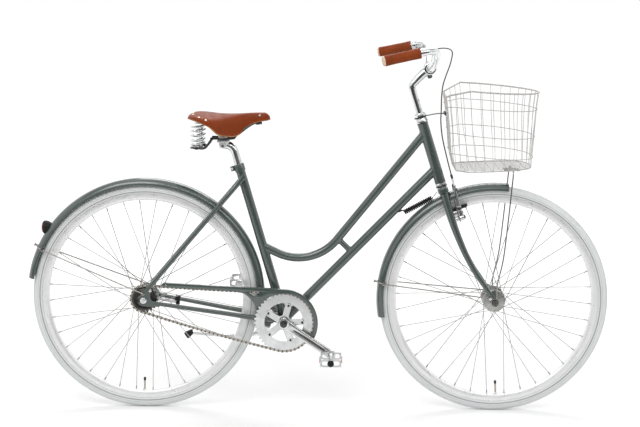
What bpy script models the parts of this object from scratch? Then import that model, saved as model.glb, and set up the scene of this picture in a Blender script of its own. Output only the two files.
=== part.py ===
"""Step-through city bicycle with coaster brake, front basket and sprung saddle.

Metres, +Z up, +X forwards, +Y to the rider's left. The ground is z = 0, the wheels stand in the plane
y = 0, and x = 0 is the middle of the bicycle's length. Frame, fork and wheels follow from the driving
dimensions below, in the way a frame builder states them: angles, lengths along tubes, and radii.
"""
import math

import bmesh
import bpy
import numpy as np
from mathutils import Matrix, Vector

# Clearance left between pieces that touch
GAP = 0.0003
# Clearance of a bearing or a sliding fit, on the radius
RUNNING = 0.0004

# Frame geometry
WHEEL_R = 0.346
BB_DROP = 0.069
CHAINSTAY_L = 0.4288
WHEELBASE = 1.0583
HEAD_ANGLE = math.radians(72.7)
SEAT_ANGLE = math.radians(73.6)
FORK_RAKE = 0.052
HEAD_TUBE_LOW = 0.390
HEAD_TUBE_L = 0.189
HEAD_TUBE_R = 0.0165
HEAD_TUBE_BORE = 0.0142
LOWER_CUP_H = 0.0115
UPPER_CUP_H = 0.0145
SEAT_TUBE_L = 0.497
SEAT_TUBE_R = 0.0143
SEAT_TUBE_BORE = 0.0134
TOP_TUBE_R = 0.0130
TOP_TUBE_HEAD_DROP = 0.032
TOP_TUBE_SEAT_S = 0.236
TOP_TUBE_CORNER_ALONG = 0.258628
TOP_TUBE_CORNER_RISE = 0.047797
TOP_TUBE_BEND_R = 0.150
DOWN_TUBE_R = 0.0140
DOWN_TUBE_HEAD_RISE = 0.0435
BRACE_R = 0.0090
BRACE_ALONG = 0.446907
BB_SHELL_R = 0.0200
BB_SHELL_HALF = 0.034
BB_CUP_HALF = 0.0365
SPINDLE_R = 0.0084
SPINDLE_END_R = 0.0078
SPINDLE_HALF = 0.0592

# Rear triangle
REAR_DROPOUT_IN = 0.0575
DROPOUT_T = 0.005
CHAINSTAY_R = 0.0082
STAY_TIP_R = 0.0065
SEATSTAY_R = 0.0080
SEATSTAY_TOP_S = 0.453
BRIDGE_R = 0.005

# Wheels
RING_STEPS = 36
REAR_TURN = -1.5
FRONT_TURN = 2.3
TYRE_W = 0.035
BEAD_R = WHEEL_R - 0.035
RIM_R = WHEEL_R - 0.029
RIM_FLOOR_R = WHEEL_R - 0.037
RIM_INNER_R = WHEEL_R - 0.050
RIM_W = 0.024
SPOKES = 36
SPOKE_CROSSES = 3
SPOKE_R = 0.0009
FLANGE_R = 0.034
FLANGE_HOLE_R = 0.030
AXLE_R = 0.0048
VALVE_R = 0.003
VALVE_L = 0.046

# Fork
FORK_CROWN_LOW = 0.360
FORK_CROWN_TOP = 0.3775
FORK_BLADE_R = 0.012
FENDER_W = 0.048
FORK_BLADE_Y = FENDER_W / 2 + FORK_BLADE_R + 0.0020
FORK_TIP_R = 0.007
FRONT_DROPOUT_IN = 0.0503
STEERER_R = 0.0127
STEERER_BORE = 0.0115
BRAKE_PIVOT_S = 0.2746
BRAKE_PIVOT_Y = FORK_BLADE_Y + 0.0020
BRAKE_STUD_R = 0.0038

# Drive
PITCH = 0.0127
RING_TEETH = 44
SPROCKET_TEETH = 20
CHAINLINE = -0.043
TOOTH_T = 0.0026
CHAIN_LINKS = 100
CHAIN_IN = 0.0033
CHAIN_W = 0.0072
CHAIN_H = 0.0080
ROLLER_L = 0.0068
CRANK_L = 0.170
CRANK_ANGLE = math.radians(-32.6)
CRANK_HUB_Y = 0.0565
CRANK_EYE_Y = 0.0685
BOLT_CIRCLE_R = 0.055
PEDAL_AXLE_R = 0.0042
PEDAL_START_Y = 0.0765
PEDAL_L = 0.092
PEDAL_W = 0.066
PEDAL_H = 0.024

# Fenders
FENDER_DEPTH = 0.020
FENDER_T = 0.0012
REAR_FENDER_R = WHEEL_R + 0.018
FRONT_FENDER_R = WHEEL_R + 0.010
REAR_FENDER_ARC = (-5.5, 171.0)
FRONT_FENDER_ARC = (83.5, 189.4)
STAY_R = 0.002

# Cockpit
BAR_R = 0.0111
BAR_BULGE_R = BAR_R + 0.0016
GRIP_R = BAR_R + 0.0041
GRIP_L = 0.110
STEM_R = 0.0111
STEM_CLAMP_S = 0.728
STEM_CLAMP_N = 0.068
STEM_CORNER_S = 0.700

# Saddle
POST_R = 0.0130
POST_INSERTED = 0.130
POST_SHOWN = 0.0375
SADDLE_REAR_X = -0.2865
SADDLE_NOSE_X = -0.0450
SADDLE_HALF_W = 0.102
LEATHER_T = 0.0045
RAIL_R = 0.0035
RAIL_Z = 0.831
COIL_R = 0.0165
COIL_WIRE_R = 0.0024

# Basket
BASKET_WIRE = 0.0026
# Rings of the basket from its floor to its rim: height at the back corners, at the shoulders and at the
# front, then x of the back, half width of the back, x and half width of the shoulders, x and half
# width of the widest place, x of the front, and how square the front is
BASKET_RINGS = [
    (0.7490, 0.7490, 0.7570, 0.5100, 0.0860, 0.5430, 0.1160, 0.600, 0.1190, 0.7380, 3.0),
    (0.8000, 0.8000, 0.7860, 0.4970, 0.0880, 0.5430, 0.1400, 0.610, 0.1610, 0.7410, 2.3),
    (0.8620, 0.8620, 0.8470, 0.4920, 0.0900, 0.5420, 0.1650, 0.600, 0.1810, 0.7460, 2.1),
    (0.9380, 0.9420, 0.9270, 0.4840, 0.0930, 0.5410, 0.1720, 0.590, 0.1830, 0.7530, 2.0),
    (0.9680, 0.9920, 0.9780, 0.4790, 0.0950, 0.5410, 0.1850, 0.583, 0.1950, 0.7590, 2.0),
]

# Places that follow from the sizes above
FRONT_END = math.sqrt(CHAINSTAY_L ** 2 - BB_DROP ** 2) * -1 + WHEELBASE + WHEEL_R
REAR_HUB_X = -math.sqrt(CHAINSTAY_L ** 2 - BB_DROP ** 2)
REAR_END = REAR_HUB_X + REAR_FENDER_R * math.cos(math.radians(REAR_FENDER_ARC[1]))
BB = Vector((-(FRONT_END + REAR_END) / 2, 0, WHEEL_R - BB_DROP))
REAR_HUB = BB + Vector((REAR_HUB_X, 0, BB_DROP))
FRONT_HUB = REAR_HUB + Vector((WHEELBASE, 0, 0))
STEER_UP = Vector((-math.cos(HEAD_ANGLE), 0, math.sin(HEAD_ANGLE)))
STEER_FWD = Vector((math.sin(HEAD_ANGLE), 0, math.cos(HEAD_ANGLE)))
STEER_FOOT = FRONT_HUB - STEER_FWD * FORK_RAKE
SEAT_UP = Vector((-math.cos(SEAT_ANGLE), 0, math.sin(SEAT_ANGLE)))
SEAT_FWD = Vector((math.sin(SEAT_ANGLE), 0, math.cos(SEAT_ANGLE)))
LEFT = Vector((0, 1, 0))
RIGHT = Vector((0, -1, 0))
KICK_AXIS = Vector((-0.045, -0.919, -0.380)).normalized()

# Places given in x and z were read from the bottom bracket's x and from the ground, at these sizes
BB_HEIGHT_READ = 0.277
FRONT_HUB_READ = Vector((0.635088, 0, 0.069))
REAR_HUB_READ = Vector((-0.423212, 0, 0.069))
SEAT_TUBE_READ = 0.497


def at(x, z, y=0.0):
    """A point given from the bottom bracket's x, at a height above the ground; it goes with the bracket."""
    return Vector((BB.x + x, y, z + BB.z - BB_HEIGHT_READ))


def fore(x, z, y=0.0):
    """The same for a place on the fork's side of the bicycle, which goes with the front wheel."""
    return at(x, z, y) + FRONT_HUB - BB - FRONT_HUB_READ


def aft(x, z, y=0.0):
    """The same for a place at the rear, which goes with the rear wheel."""
    return at(x, z, y) + REAR_HUB - BB - REAR_HUB_READ


def on_post(x, z, y=0.0):
    """The same for a place on the saddle, which goes with the top of the seat tube."""
    return at(x, z, y) + SEAT_UP * (SEAT_TUBE_L - SEAT_TUBE_READ)


def steer(s, n=0.0, y=0.0):
    """A point s up the steering axis from the foot of the rake, n in front of it."""
    return STEER_FOOT + STEER_UP * s + STEER_FWD * n + Vector((0, y, 0))


def seat(s, n=0.0, y=0.0):
    """A point s up the seat tube's axis from the bottom bracket, n in front of it."""
    return BB + SEAT_UP * s + SEAT_FWD * n + Vector((0, y, 0))


def polar(centre, radius, degrees, y=0.0):
    """A point on a circle about a hub, the angle measured from forwards towards up."""
    turn = math.radians(degrees)
    return centre + Vector((radius * math.cos(turn), y, radius * math.sin(turn)))


# Scene and materials

def clear_scene():
    for obj in list(bpy.data.objects):
        bpy.data.objects.remove(obj, do_unlink=True)


def new_collection(name):
    collection = bpy.data.collections.new(name)
    bpy.context.scene.collection.children.link(collection)
    return collection


def material(name, colour, roughness, metallic=0.0):
    found = bpy.data.materials.get(name)
    if found:
        return found
    made = bpy.data.materials.new(name)
    made.use_nodes = True
    shader = made.node_tree.nodes["Principled BSDF"]
    shader.inputs["Base Color"].default_value = (*colour, 1.0)
    shader.inputs["Roughness"].default_value = roughness
    shader.inputs["Metallic"].default_value = metallic
    return made


def paint():
    return material("frame_paint", (0.045, 0.065, 0.058), 0.3)


def chrome():
    return material("chrome", (0.75, 0.75, 0.76), 0.15, 1.0)


def alloy():
    return material("brushed_alloy", (0.70, 0.70, 0.70), 0.35, 1.0)


def black_steel():
    return material("black_steel", (0.02, 0.02, 0.02), 0.4, 0.6)


def black_rubber():
    return material("black_rubber", (0.02, 0.02, 0.02), 0.7)


def leather():
    return material("cognac_leather", (0.36, 0.10, 0.03), 0.45)


def tyre_rubber():
    return material("pale_rubber", (0.62, 0.65, 0.64), 0.7)


# Shapes

def place(obj, finish, collection=None):
    (collection or PARTS).objects.link(obj)
    if finish:
        obj.data.materials.append(finish)
    return obj


def axis_frame(centre, axis, start=None):
    """A matrix that carries +Z to the axis and +X as near as can be to start."""
    axis = Vector(axis).normalized()
    start = Vector(start) if start else Vector((1, 0, 0))
    if abs(start.normalized().dot(axis)) > 0.99:
        start = Vector((0, 0, 1))
    x = (start - axis * start.dot(axis)).normalized()
    y = axis.cross(x)
    return Matrix.Translation(Vector(centre)) @ Matrix((x, y, axis)).transposed().to_4x4()


def turned(name, finish, profile, centre, axis, steps=16, closed=False, arc=None, collection=None):
    """Turn a half outline of (radius, height) about an axis, all the way or through an arc."""
    mesh = bpy.data.meshes.new(name)
    edges = [(i, i + 1) for i in range(len(profile) - 1)]
    if closed:
        edges.append((len(profile) - 1, 0))
    mesh.from_pydata([(r, 0.0, h) for r, h in profile], edges, [])
    obj = place(bpy.data.objects.new(name, mesh), finish, collection)
    start = None
    sweep = math.tau
    if arc:
        start = polar(Vector(), 1.0, arc[0])
        sweep = math.radians(arc[1] - arc[0])
    obj.matrix_world = axis_frame(centre, axis, start)
    turn = obj.modifiers.new("turn", "SCREW")
    turn.angle = sweep
    turn.steps = turn.render_steps = steps
    turn.use_merge_vertices = arc is None
    turn.merge_threshold = 0.00002
    turn.use_smooth_shade = True
    return obj


def rod(name, finish, start, end, radius, steps=12, collection=None):
    """A plain round bar between two points."""
    start, end = Vector(start), Vector(end)
    length = (end - start).length
    profile = [(0, length), (radius, length), (radius, 0), (0, 0)]
    return turned(name, finish, profile, start, end - start, steps, collection=collection)


def sleeve(name, finish, start, end, radius, bore, steps=16, collection=None):
    """A round bar between two points with a bore right through it."""
    start, end = Vector(start), Vector(end)
    length = (end - start).length
    profile = [(bore, length), (radius, length), (radius, 0), (bore, 0)]
    return turned(name, finish, profile, start, end - start, steps, closed=True, collection=collection)


def smooth_path(points, per_span):
    """Points read from the smooth curve that passes through the given ones."""
    points = [Vector(p) for p in points]
    ends = [points[0] * 2 - points[1]] + points + [points[-1] * 2 - points[-2]]
    path = []
    for i in range(1, len(ends) - 2):
        a, b, c, d = ends[i - 1:i + 3]
        for step in range(per_span):
            t = step / per_span
            path.append(0.5 * (2 * b + (c - a) * t + (2 * a - 5 * b + 4 * c - d) * t ** 2
                               + (3 * b - a - 3 * c + d) * t ** 3))
    path.append(points[-1])
    return path


def tube(name, finish, points, radius, sides=8, radii=None, cyclic=False, collection=None):
    """A round tube along points, as a curve with a bevel and filled ends."""
    curve = bpy.data.curves.new(name, "CURVE")
    curve.dimensions = "3D"
    curve.bevel_depth = radius
    curve.bevel_resolution = (sides - 4) // 2
    curve.use_fill_caps = True
    spline = curve.splines.new("POLY")
    spline.points.add(len(points) - 1)
    for i, point in enumerate(points):
        spline.points[i].co = (*point, 1.0)
        spline.points[i].radius = radii[i] / radius if radii else 1.0
    spline.use_cyclic_u = cyclic
    return place(bpy.data.objects.new(name, curve), finish, collection)


def plate(name, finish, outlines, thickness, centre, across=RIGHT, ahead=(1, 0, 0), collection=None):
    """A flat plate: closed outlines of (along, up) points, the first outside and the rest holes."""
    curve = bpy.data.curves.new(name, "CURVE")
    curve.dimensions = "2D"
    curve.fill_mode = "BOTH"
    curve.extrude = thickness / 2
    for outline in outlines:
        spline = curve.splines.new("POLY")
        spline.points.add(len(outline) - 1)
        for i, (u, v) in enumerate(outline):
            spline.points[i].co = (u, v, 0.0, 1.0)
        spline.use_cyclic_u = True
    obj = place(bpy.data.objects.new(name, curve), finish, collection)
    obj.matrix_world = axis_frame(centre, across, ahead)
    return obj


def box(name, finish, centre, size, turn=None, collection=None):
    """A block with its middle at centre; turn is a matrix for its directions."""
    bpy.ops.mesh.primitive_cube_add(size=1.0)
    obj = bpy.context.object
    obj.name = obj.data.name = name
    for owner in list(obj.users_collection):
        owner.objects.unlink(obj)
    place(obj, finish, collection)
    obj.data.transform(Matrix.Diagonal((*size, 1.0)))
    obj.matrix_world = Matrix.Translation(Vector(centre)) @ (turn or Matrix.Identity(4))
    return obj


def as_mesh(obj):
    """The object's evaluated shape as a mesh object with its end caps welded."""
    bpy.context.view_layer.update()
    evaluated = obj.evaluated_get(bpy.context.evaluated_depsgraph_get())
    mesh = bpy.data.meshes.new_from_object(evaluated)
    bm = bmesh.new()
    bm.from_mesh(mesh)
    bmesh.ops.remove_doubles(bm, verts=bm.verts, dist=0.00002)
    bm.to_mesh(mesh)
    bm.free()
    name = obj.name
    owner = obj.users_collection[0]
    world = obj.matrix_world.copy()
    bpy.data.objects.remove(obj, do_unlink=True)
    made = bpy.data.objects.new(name, mesh)
    owner.objects.link(made)
    made.matrix_world = world
    return made


def combine(base, tools, operation):
    """Union or difference of a piece with others, which end up among the cutters."""
    if base.type == "CURVE":
        base = as_mesh(base)
    for tool in tools:
        if tool.type == "CURVE":
            tool = as_mesh(tool)
        for owner in list(tool.users_collection):
            owner.objects.unlink(tool)
        CUTTERS.objects.link(tool)
        tool.hide_render = True
        tool.display_type = "WIRE"
        step = base.modifiers.new(operation.lower(), "BOOLEAN")
        step.operation = operation
        step.object = tool
        step.solver = "EXACT"
    return base


def fuse(base, *tools):
    return combine(base, tools, "UNION")


def cut(base, *tools):
    return combine(base, tools, "DIFFERENCE")


def loft(name, finish, sections, collection=None, caps=True):
    """A closed skin through rings of points that all have the same count."""
    bm = bmesh.new()
    rings = [[bm.verts.new(p) for p in ring] for ring in sections]
    count = len(rings[0])
    for low, high in zip(rings, rings[1:]):
        for i in range(count):
            j = (i + 1) % count
            bm.faces.new((low[i], low[j], high[j], high[i]))
    if caps:
        bm.faces.new(list(reversed(rings[0])))
        bm.faces.new(rings[-1])
    bmesh.ops.recalc_face_normals(bm, faces=bm.faces)
    mesh = bpy.data.meshes.new(name)
    bm.to_mesh(mesh)
    bm.free()
    return place(bpy.data.objects.new(name, mesh), finish, collection)


def arc_points(centre, radius, start, end, steps):
    """Points (along, up) on an arc in a flat outline, both ends included, in degrees."""
    turns = np.radians(np.linspace(start, end, steps + 1))
    return [(centre[0] + radius * math.cos(t), centre[1] + radius * math.sin(t)) for t in turns]


# Frame

def down_tube_head():
    """Where the down tube's centre line meets the steering axis."""
    return steer(HEAD_TUBE_LOW + DOWN_TUBE_HEAD_RISE)


def top_tube_path():
    """Straight from the seat tube, one bend above the down tube, and straight up to the head tube."""
    low = seat(TOP_TUBE_SEAT_S)
    high = steer(HEAD_TUBE_LOW + HEAD_TUBE_L - TOP_TUBE_HEAD_DROP)
    down = down_tube_head() - BB
    square = Vector((-down.z, 0, down.x)).normalized()
    corner = BB + down * TOP_TUBE_CORNER_ALONG + square * TOP_TUBE_CORNER_RISE
    first = (corner - low).normalized()
    second = (high - corner).normalized()
    first_angle = math.atan2(first.z, first.x)
    second_angle = math.atan2(second.z, second.x)
    run = TOP_TUBE_BEND_R * math.tan((second_angle - first_angle) / 2)
    normal = Vector((-first.z, 0, first.x))
    centre = corner - first * run + normal * TOP_TUBE_BEND_R
    start = math.degrees(first_angle) - 90
    end = math.degrees(second_angle) - 90
    bend = [polar(centre, TOP_TUBE_BEND_R, a) for a in np.linspace(start, end, 8)]
    return [low] + bend + [high]


def build_frame():
    head_low = steer(HEAD_TUBE_LOW)
    cup_r = HEAD_TUBE_R + 0.0022
    head_profile = [
        (HEAD_TUBE_BORE, HEAD_TUBE_L + UPPER_CUP_H), (cup_r - 0.004, HEAD_TUBE_L + UPPER_CUP_H),
        (cup_r, HEAD_TUBE_L + 0.004), (cup_r, HEAD_TUBE_L), (HEAD_TUBE_R, HEAD_TUBE_L - 0.001),
        (HEAD_TUBE_R, 0.001), (cup_r, 0), (cup_r, -0.005), (cup_r - 0.003, -LOWER_CUP_H),
        (HEAD_TUBE_BORE, -LOWER_CUP_H)]
    turned("head_tube", paint(), head_profile, head_low, STEER_UP, 16, closed=True)

    head_cutter = as_mesh(rod("head_clearance", None, steer(HEAD_TUBE_LOW - 0.02),
                              steer(HEAD_TUBE_LOW + HEAD_TUBE_L + 0.02), HEAD_TUBE_R + GAP, 16))
    seat_cutter = as_mesh(rod("seat_tube_clearance", None, seat(0.0), seat(SEAT_TUBE_L),
                              SEAT_TUBE_R + GAP, 16))
    shell_cutter = as_mesh(rod("shell_clearance", None, BB + LEFT * 0.06, BB + RIGHT * 0.06,
                               BB_SHELL_R + GAP, 16))

    top_tube = tube("top_tube", paint(), top_tube_path(), TOP_TUBE_R, 10)
    cut(top_tube, seat_cutter, head_cutter)

    down_head = down_tube_head()
    down_tube = tube("down_tube", paint(), [BB, down_head], DOWN_TUBE_R, 10)
    cut(down_tube, shell_cutter, head_cutter)

    down_dir = (down_head - BB).normalized()
    brace_foot = BB + (down_head - BB) * BRACE_ALONG
    square = Vector((-down_dir.z, 0, down_dir.x))
    brace = tube("cross_brace", paint(), [brace_foot, brace_foot + square * 0.075], BRACE_R, 10)
    path = top_tube_path()
    top_clear = tube("top_tube_clearance", None, path, TOP_TUBE_R + GAP, 10)
    down_clear = as_mesh(tube("down_tube_clearance", None, [BB, down_head], DOWN_TUBE_R + GAP, 10))
    beyond = top_tube_path()[-2:]
    beyond_dir = (beyond[1] - beyond[0]).normalized()
    beyond_side = Vector((-beyond_dir.z, 0, beyond_dir.x))
    over = box("brace_end_clearance", None, (beyond[0] + beyond[1]) / 2 + beyond_side * 0.05,
               (0.6, 0.1, 0.1), axis_frame(Vector(), LEFT, beyond_dir))
    under = box("brace_foot_clearance", None, (BB + down_head) / 2 - square * 0.05, (0.7, 0.1, 0.1),
                axis_frame(Vector(), LEFT, down_dir))
    cut(brace, top_clear, down_clear, over, under)

    seat_tube = sleeve("seat_tube", paint(), seat(0.004), seat(SEAT_TUBE_L), SEAT_TUBE_R, SEAT_TUBE_BORE, 16)
    ear = box("binder_ears", None, seat(SEAT_TUBE_L - 0.0085, -SEAT_TUBE_R - 0.005), (0.016, 0.020, 0.015),
              axis_frame(Vector(), SEAT_UP, SEAT_FWD))
    bolt = rod("binder_bolt", None, seat(SEAT_TUBE_L - 0.0085, -SEAT_TUBE_R - 0.008, -0.016),
               seat(SEAT_TUBE_L - 0.0085, -SEAT_TUBE_R - 0.008, 0.016), 0.0045, 8)
    slot = box("binder_slot", None, seat(SEAT_TUBE_L - 0.0085, -SEAT_TUBE_R), (0.012, 0.0012, 0.040),
               axis_frame(Vector(), SEAT_UP, SEAT_FWD))
    bore = rod("seat_bore", None, seat(SEAT_TUBE_L - 0.05), seat(SEAT_TUBE_L + 0.02), SEAT_TUBE_BORE, 16)
    seat_tube = fuse(seat_tube, ear, bolt)
    cut(as_mesh(seat_tube), bore, slot, shell_cutter, down_clear)

    shell_profile = [
        (SPINDLE_R + RUNNING, BB_CUP_HALF), (0.0170, BB_CUP_HALF), (0.0175, BB_SHELL_HALF),
        (BB_SHELL_R, BB_SHELL_HALF), (BB_SHELL_R, -BB_SHELL_HALF), (0.0175, -BB_SHELL_HALF),
        (0.0170, -BB_CUP_HALF), (SPINDLE_R + RUNNING, -BB_CUP_HALF)]
    turned("bottom_bracket_shell", paint(), shell_profile, BB, LEFT, 16, closed=True)


def dropout_outline():
    """Rear dropout seen from the side, about the axle: a rounded lug with its axle slot at the back."""
    slot = AXLE_R + RUNNING
    return ([(-0.016, slot), (0.0, slot)] + arc_points((0, 0), slot, 60, -60, 4)
            + [(0.0, -slot), (-0.016, -slot)] + arc_points((0, 0), 0.017, 215, 270, 3)
            + [(0.030, -0.020), (0.052, -0.018), (0.056, -0.006), (0.030, 0.008), (0.026, 0.030),
               (0.014, 0.036)] + arc_points((0, 0), 0.017, 120, 145, 1))


def chainstay_tube(name, finish, y, grow=0.0):
    """Chainstay on the side y, grown by a clearance where it serves as a cutter."""
    end = REAR_HUB + Vector((0.0500, 0, -0.0120))
    path = smooth_path([
        BB + Vector((-0.006, 0.0290 * y, 0.002)), BB + Vector((-0.092, 0.0305 * y, 0.0105)),
        BB + Vector((-0.170, 0.0350 * y, 0.0230)), BB + Vector((-0.270, 0.0450 * y, 0.0390)),
        end + Vector((0.0, 0.0545 * y, 0.0))], 2)
    count = len(path)
    radii = [grow + CHAINSTAY_R + (STAY_TIP_R - CHAINSTAY_R) * i / (count - 1) for i in range(count)]
    return as_mesh(tube(name, finish, path, CHAINSTAY_R + grow, 8, radii))


def seatstay_line():
    """Top of the seatstays on the seat tube, and the direction they run down from there."""
    top = seat(SEATSTAY_TOP_S)
    low = REAR_HUB + Vector((0.0195, 0, 0.0405))
    return top, (low - top).normalized()


def seatstay_tube(name, finish, y, grow=0.0):
    """Seatstay on the side y, grown by a clearance where it serves as a cutter."""
    top, way = seatstay_line()
    low = REAR_HUB + Vector((0.0195, 0.0572 * y, 0.0405))
    path = smooth_path([
        top - way * 0.012 + LEFT * y * 0.0200, top + way * 0.030 + LEFT * y * 0.0245,
        top + way * 0.085 + LEFT * y * 0.0345, top + way * 0.200 + LEFT * y * 0.0430,
        top + way * 0.330 + LEFT * y * 0.0530, low], 2)
    count = len(path)
    radii = [grow + SEATSTAY_R + (STAY_TIP_R - SEATSTAY_R) * i / (count - 1) for i in range(count)]
    return as_mesh(tube(name, finish, path, SEATSTAY_R + grow, 8, radii))


def build_rear_stays(side, y):
    """Chainstay with its dropout, and the seatstay that ends on it; the left ones hold the bridges."""
    drop_y = REAR_DROPOUT_IN + DROPOUT_T / 2
    bridge_r = REAR_FENDER_R + GAP + BRIDGE_R + 0.0006
    lug = plate("dropout_" + side, None, [dropout_outline()], DROPOUT_T, REAR_HUB + LEFT * drop_y * y)
    chainstay = chainstay_tube("chainstay_" + side, paint(), y)
    fuse(chainstay, lug)
    if side == "left":
        bridge = polar(REAR_HUB, bridge_r, -8.4)
        fuse(chainstay, rod("chainstay_bridge", None, bridge + LEFT * 0.028, bridge + RIGHT * 0.0205,
                            BRIDGE_R, 8))
    cut(chainstay, rod("chainstay_trim_" + side, None, BB + LEFT * 0.06, BB + RIGHT * 0.06,
                       BB_SHELL_R + GAP, 16))

    seatstay = seatstay_tube("seatstay_" + side, paint(), y)
    if side == "left":
        top, way = seatstay_line()
        towards = (REAR_HUB - top).dot(way)
        aside = (REAR_HUB - top).length_squared - towards ** 2
        bridge = top + way * (towards - math.sqrt(bridge_r ** 2 - aside))
        fuse(seatstay, rod("seatstay_bridge", None, bridge + LEFT * 0.030, bridge + RIGHT * 0.0235,
                           BRIDGE_R, 8))
    over_lug = [(-0.05, -0.05), (0.1, -0.05), (0.1, 0.0365), (-0.05, 0.0365)]
    cut(seatstay, rod("seatstay_trim_" + side, None, seat(0.3), seat(SEAT_TUBE_L), SEAT_TUBE_R + GAP, 16),
        plate("dropout_clearance_" + side, None, [over_lug], DROPOUT_T + 0.03, REAR_HUB + LEFT * drop_y * y))


def build_rear_axle():
    """Axle with its locknuts inside the dropouts and its nuts outside them."""
    inner = REAR_DROPOUT_IN - GAP
    outer = REAR_DROPOUT_IN + DROPOUT_T + GAP
    half = [(AXLE_R, outer + 0.012), (AXLE_R, outer + 0.0085), (0.0088, outer + 0.0085), (0.0088, outer),
            (AXLE_R, outer), (AXLE_R, inner), (0.0080, inner), (0.0080, inner - 0.0045),
            (AXLE_R, inner - 0.0045)]
    profile = [(0, half[0][1])] + half + [(r, -h) for r, h in reversed(half)] + [(0, -half[0][1])]
    turned("rear_axle", chrome(), profile, REAR_HUB, LEFT, 6)


def build_coaster_arm():
    """Reaction arm of the foot brake, from the left end of the hub to its clip on the chainstay."""
    y = 0.0478
    outline = (arc_points((0, 0), 0.016, 20, 290, 8)
               + [(0.036, -0.0260), (0.082, -0.0345), (0.094, -0.0340), (0.096, -0.0300), (0.094, -0.0250),
                  (0.082, -0.0240), (0.036, -0.0145)])
    hole = arc_points((0, 0), AXLE_R + 2 * RUNNING, 0, 315, 7)
    arm = plate("coaster_brake_arm", alloy(), [outline, hole], 0.003, REAR_HUB + LEFT * y)
    clip = box("arm_clip", None, REAR_HUB + Vector((0.089, y, -0.0295)), (0.010, 0.008, 0.0085))
    arm = fuse(arm, clip)
    cut(arm, chainstay_tube("clip_clearance", None, 1, GAP))


# Wheels

def build_wheel(where, hub, turn, barrel_r, flange_y, end_half, end_r, stub_half=None):
    """Tyre, inner tube, rim and laced hub; turn is how far the wheel has rolled on, in degrees."""
    tread = 0.0020
    shoulder = (WHEEL_R - 0.0030, 0.0100)
    side_r = WHEEL_R - 0.0135
    bead_y = RIM_W / 2 - 0.0027
    inside_r = WHEEL_R - 0.012
    inside_y = TYRE_W / 2 - 0.0035
    tyre = [(WHEEL_R, tread), (WHEEL_R, -tread), (shoulder[0], -shoulder[1]), (side_r, -TYRE_W / 2),
            (BEAD_R, -bead_y), (inside_r, -inside_y), (inside_r, inside_y), (BEAD_R, bead_y),
            (side_r, TYRE_W / 2), shoulder]
    spin = axis_frame(hub, RIGHT, (0, 0, -1))
    body = turned(where + "_tyre", tyre_rubber(), tyre, hub, RIGHT, RING_STEPS, closed=True)
    body.matrix_world = spin

    middle = (inside_r + BEAD_R) / 2
    bladder = [(inside_r - 0.0020, 0), (middle, -0.0090), (BEAD_R + 0.0035, 0), (middle, 0.0090)]
    inner = turned(where + "_inner_tube", black_rubber(), bladder, hub, RIGHT, 18, closed=True)
    valve_r = BEAD_R + 0.006
    fuse(inner, rod(where + "_valve", None, polar(hub, valve_r, turn - 90),
                    polar(hub, valve_r - VALVE_L, turn - 90), VALVE_R, 6))

    floor_y = RIM_W / 2 - 0.0022
    rim = [(RIM_R, RIM_W / 2), (RIM_FLOOR_R, floor_y), (RIM_FLOOR_R, -floor_y), (RIM_R, -RIM_W / 2),
           (RIM_INNER_R, -0.009), (RIM_INNER_R, 0.009)]
    hoop = turned(where + "_rim", chrome(), rim, hub, RIGHT, RING_STEPS, closed=True)
    hoop.matrix_world = spin
    cut(hoop, rod(where + "_valve_hole", None, polar(hub, RIM_R + 0.010, turn - 90),
                  polar(hub, RIM_INNER_R - 0.010, turn - 90), VALVE_R + GAP, 6))

    bore = AXLE_R + RUNNING
    hub_profile = [
        (bore, end_half), (end_r, end_half), (FLANGE_R, flange_y + 0.0016), (FLANGE_R, flange_y - 0.0016),
        (barrel_r, flange_y - 0.010), (barrel_r, -flange_y + 0.010), (FLANGE_R, -flange_y + 0.0016),
        (FLANGE_R, -flange_y - 0.0016), (end_r, -(stub_half or end_half)), (bore, -(stub_half or end_half))]
    shell = turned(where + "_hub_spokes", alloy(), hub_profile, hub, LEFT, 12, closed=True)
    fuse(shell, spokes(where, hub, turn, flange_y))


def spokes(where, hub, turn, flange_y):
    """All the spokes as one curve: each leaves its flange nearly along the rim's tangent.

    Nine lead and nine trail on each flange, and each crosses three of its own flange's others.
    """
    curve = bpy.data.curves.new(where + "_spokes", "CURVE")
    curve.dimensions = "3D"
    curve.bevel_depth = SPOKE_R
    curve.bevel_resolution = 0
    curve.use_fill_caps = True
    end_r = RIM_INNER_R * math.cos(math.pi / RING_STEPS) - GAP
    per_flange = SPOKES // 2
    step = 360 / per_flange
    for side in (1, -1):
        for hole in range(per_flange):
            way = 1 if hole % 2 == 0 else -1
            at_hub = turn + hole * step + (step / 4 if side == 1 else -step / 4)
            at_rim = at_hub + way * SPOKE_CROSSES * step
            inside = polar(hub, FLANGE_HOLE_R, at_hub, side * (flange_y + 0.0012 * way))
            outside = polar(hub, end_r, at_rim, side * 0.002)
            spline = curve.splines.new("POLY")
            spline.points.add(1)
            spline.points[0].co = (*inside, 1.0)
            spline.points[1].co = (*outside, 1.0)
    return place(bpy.data.objects.new(where + "_spokes", curve), None)


# Drive

def tooth_outline(teeth, first_gap):
    """Sprocket outline: a flat valley for each roller, with a pointed tooth between two valleys."""
    pitch_r = PITCH / 2 / math.sin(math.pi / teeth)
    root_r = pitch_r - CHAIN_H / 2 - 0.0005
    tip_r = pitch_r + 0.0024
    step = math.tau / teeth
    valley = (ROLLER_L / 2 + 0.0003) / root_r
    points = []
    for i in range(teeth):
        middle = first_gap + i * step
        for radius, turn in ((root_r, middle - valley), (root_r, middle + valley),
                             (tip_r, middle + step / 2)):
            points.append((radius * math.cos(turn), radius * math.sin(turn)))
    return points


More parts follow.
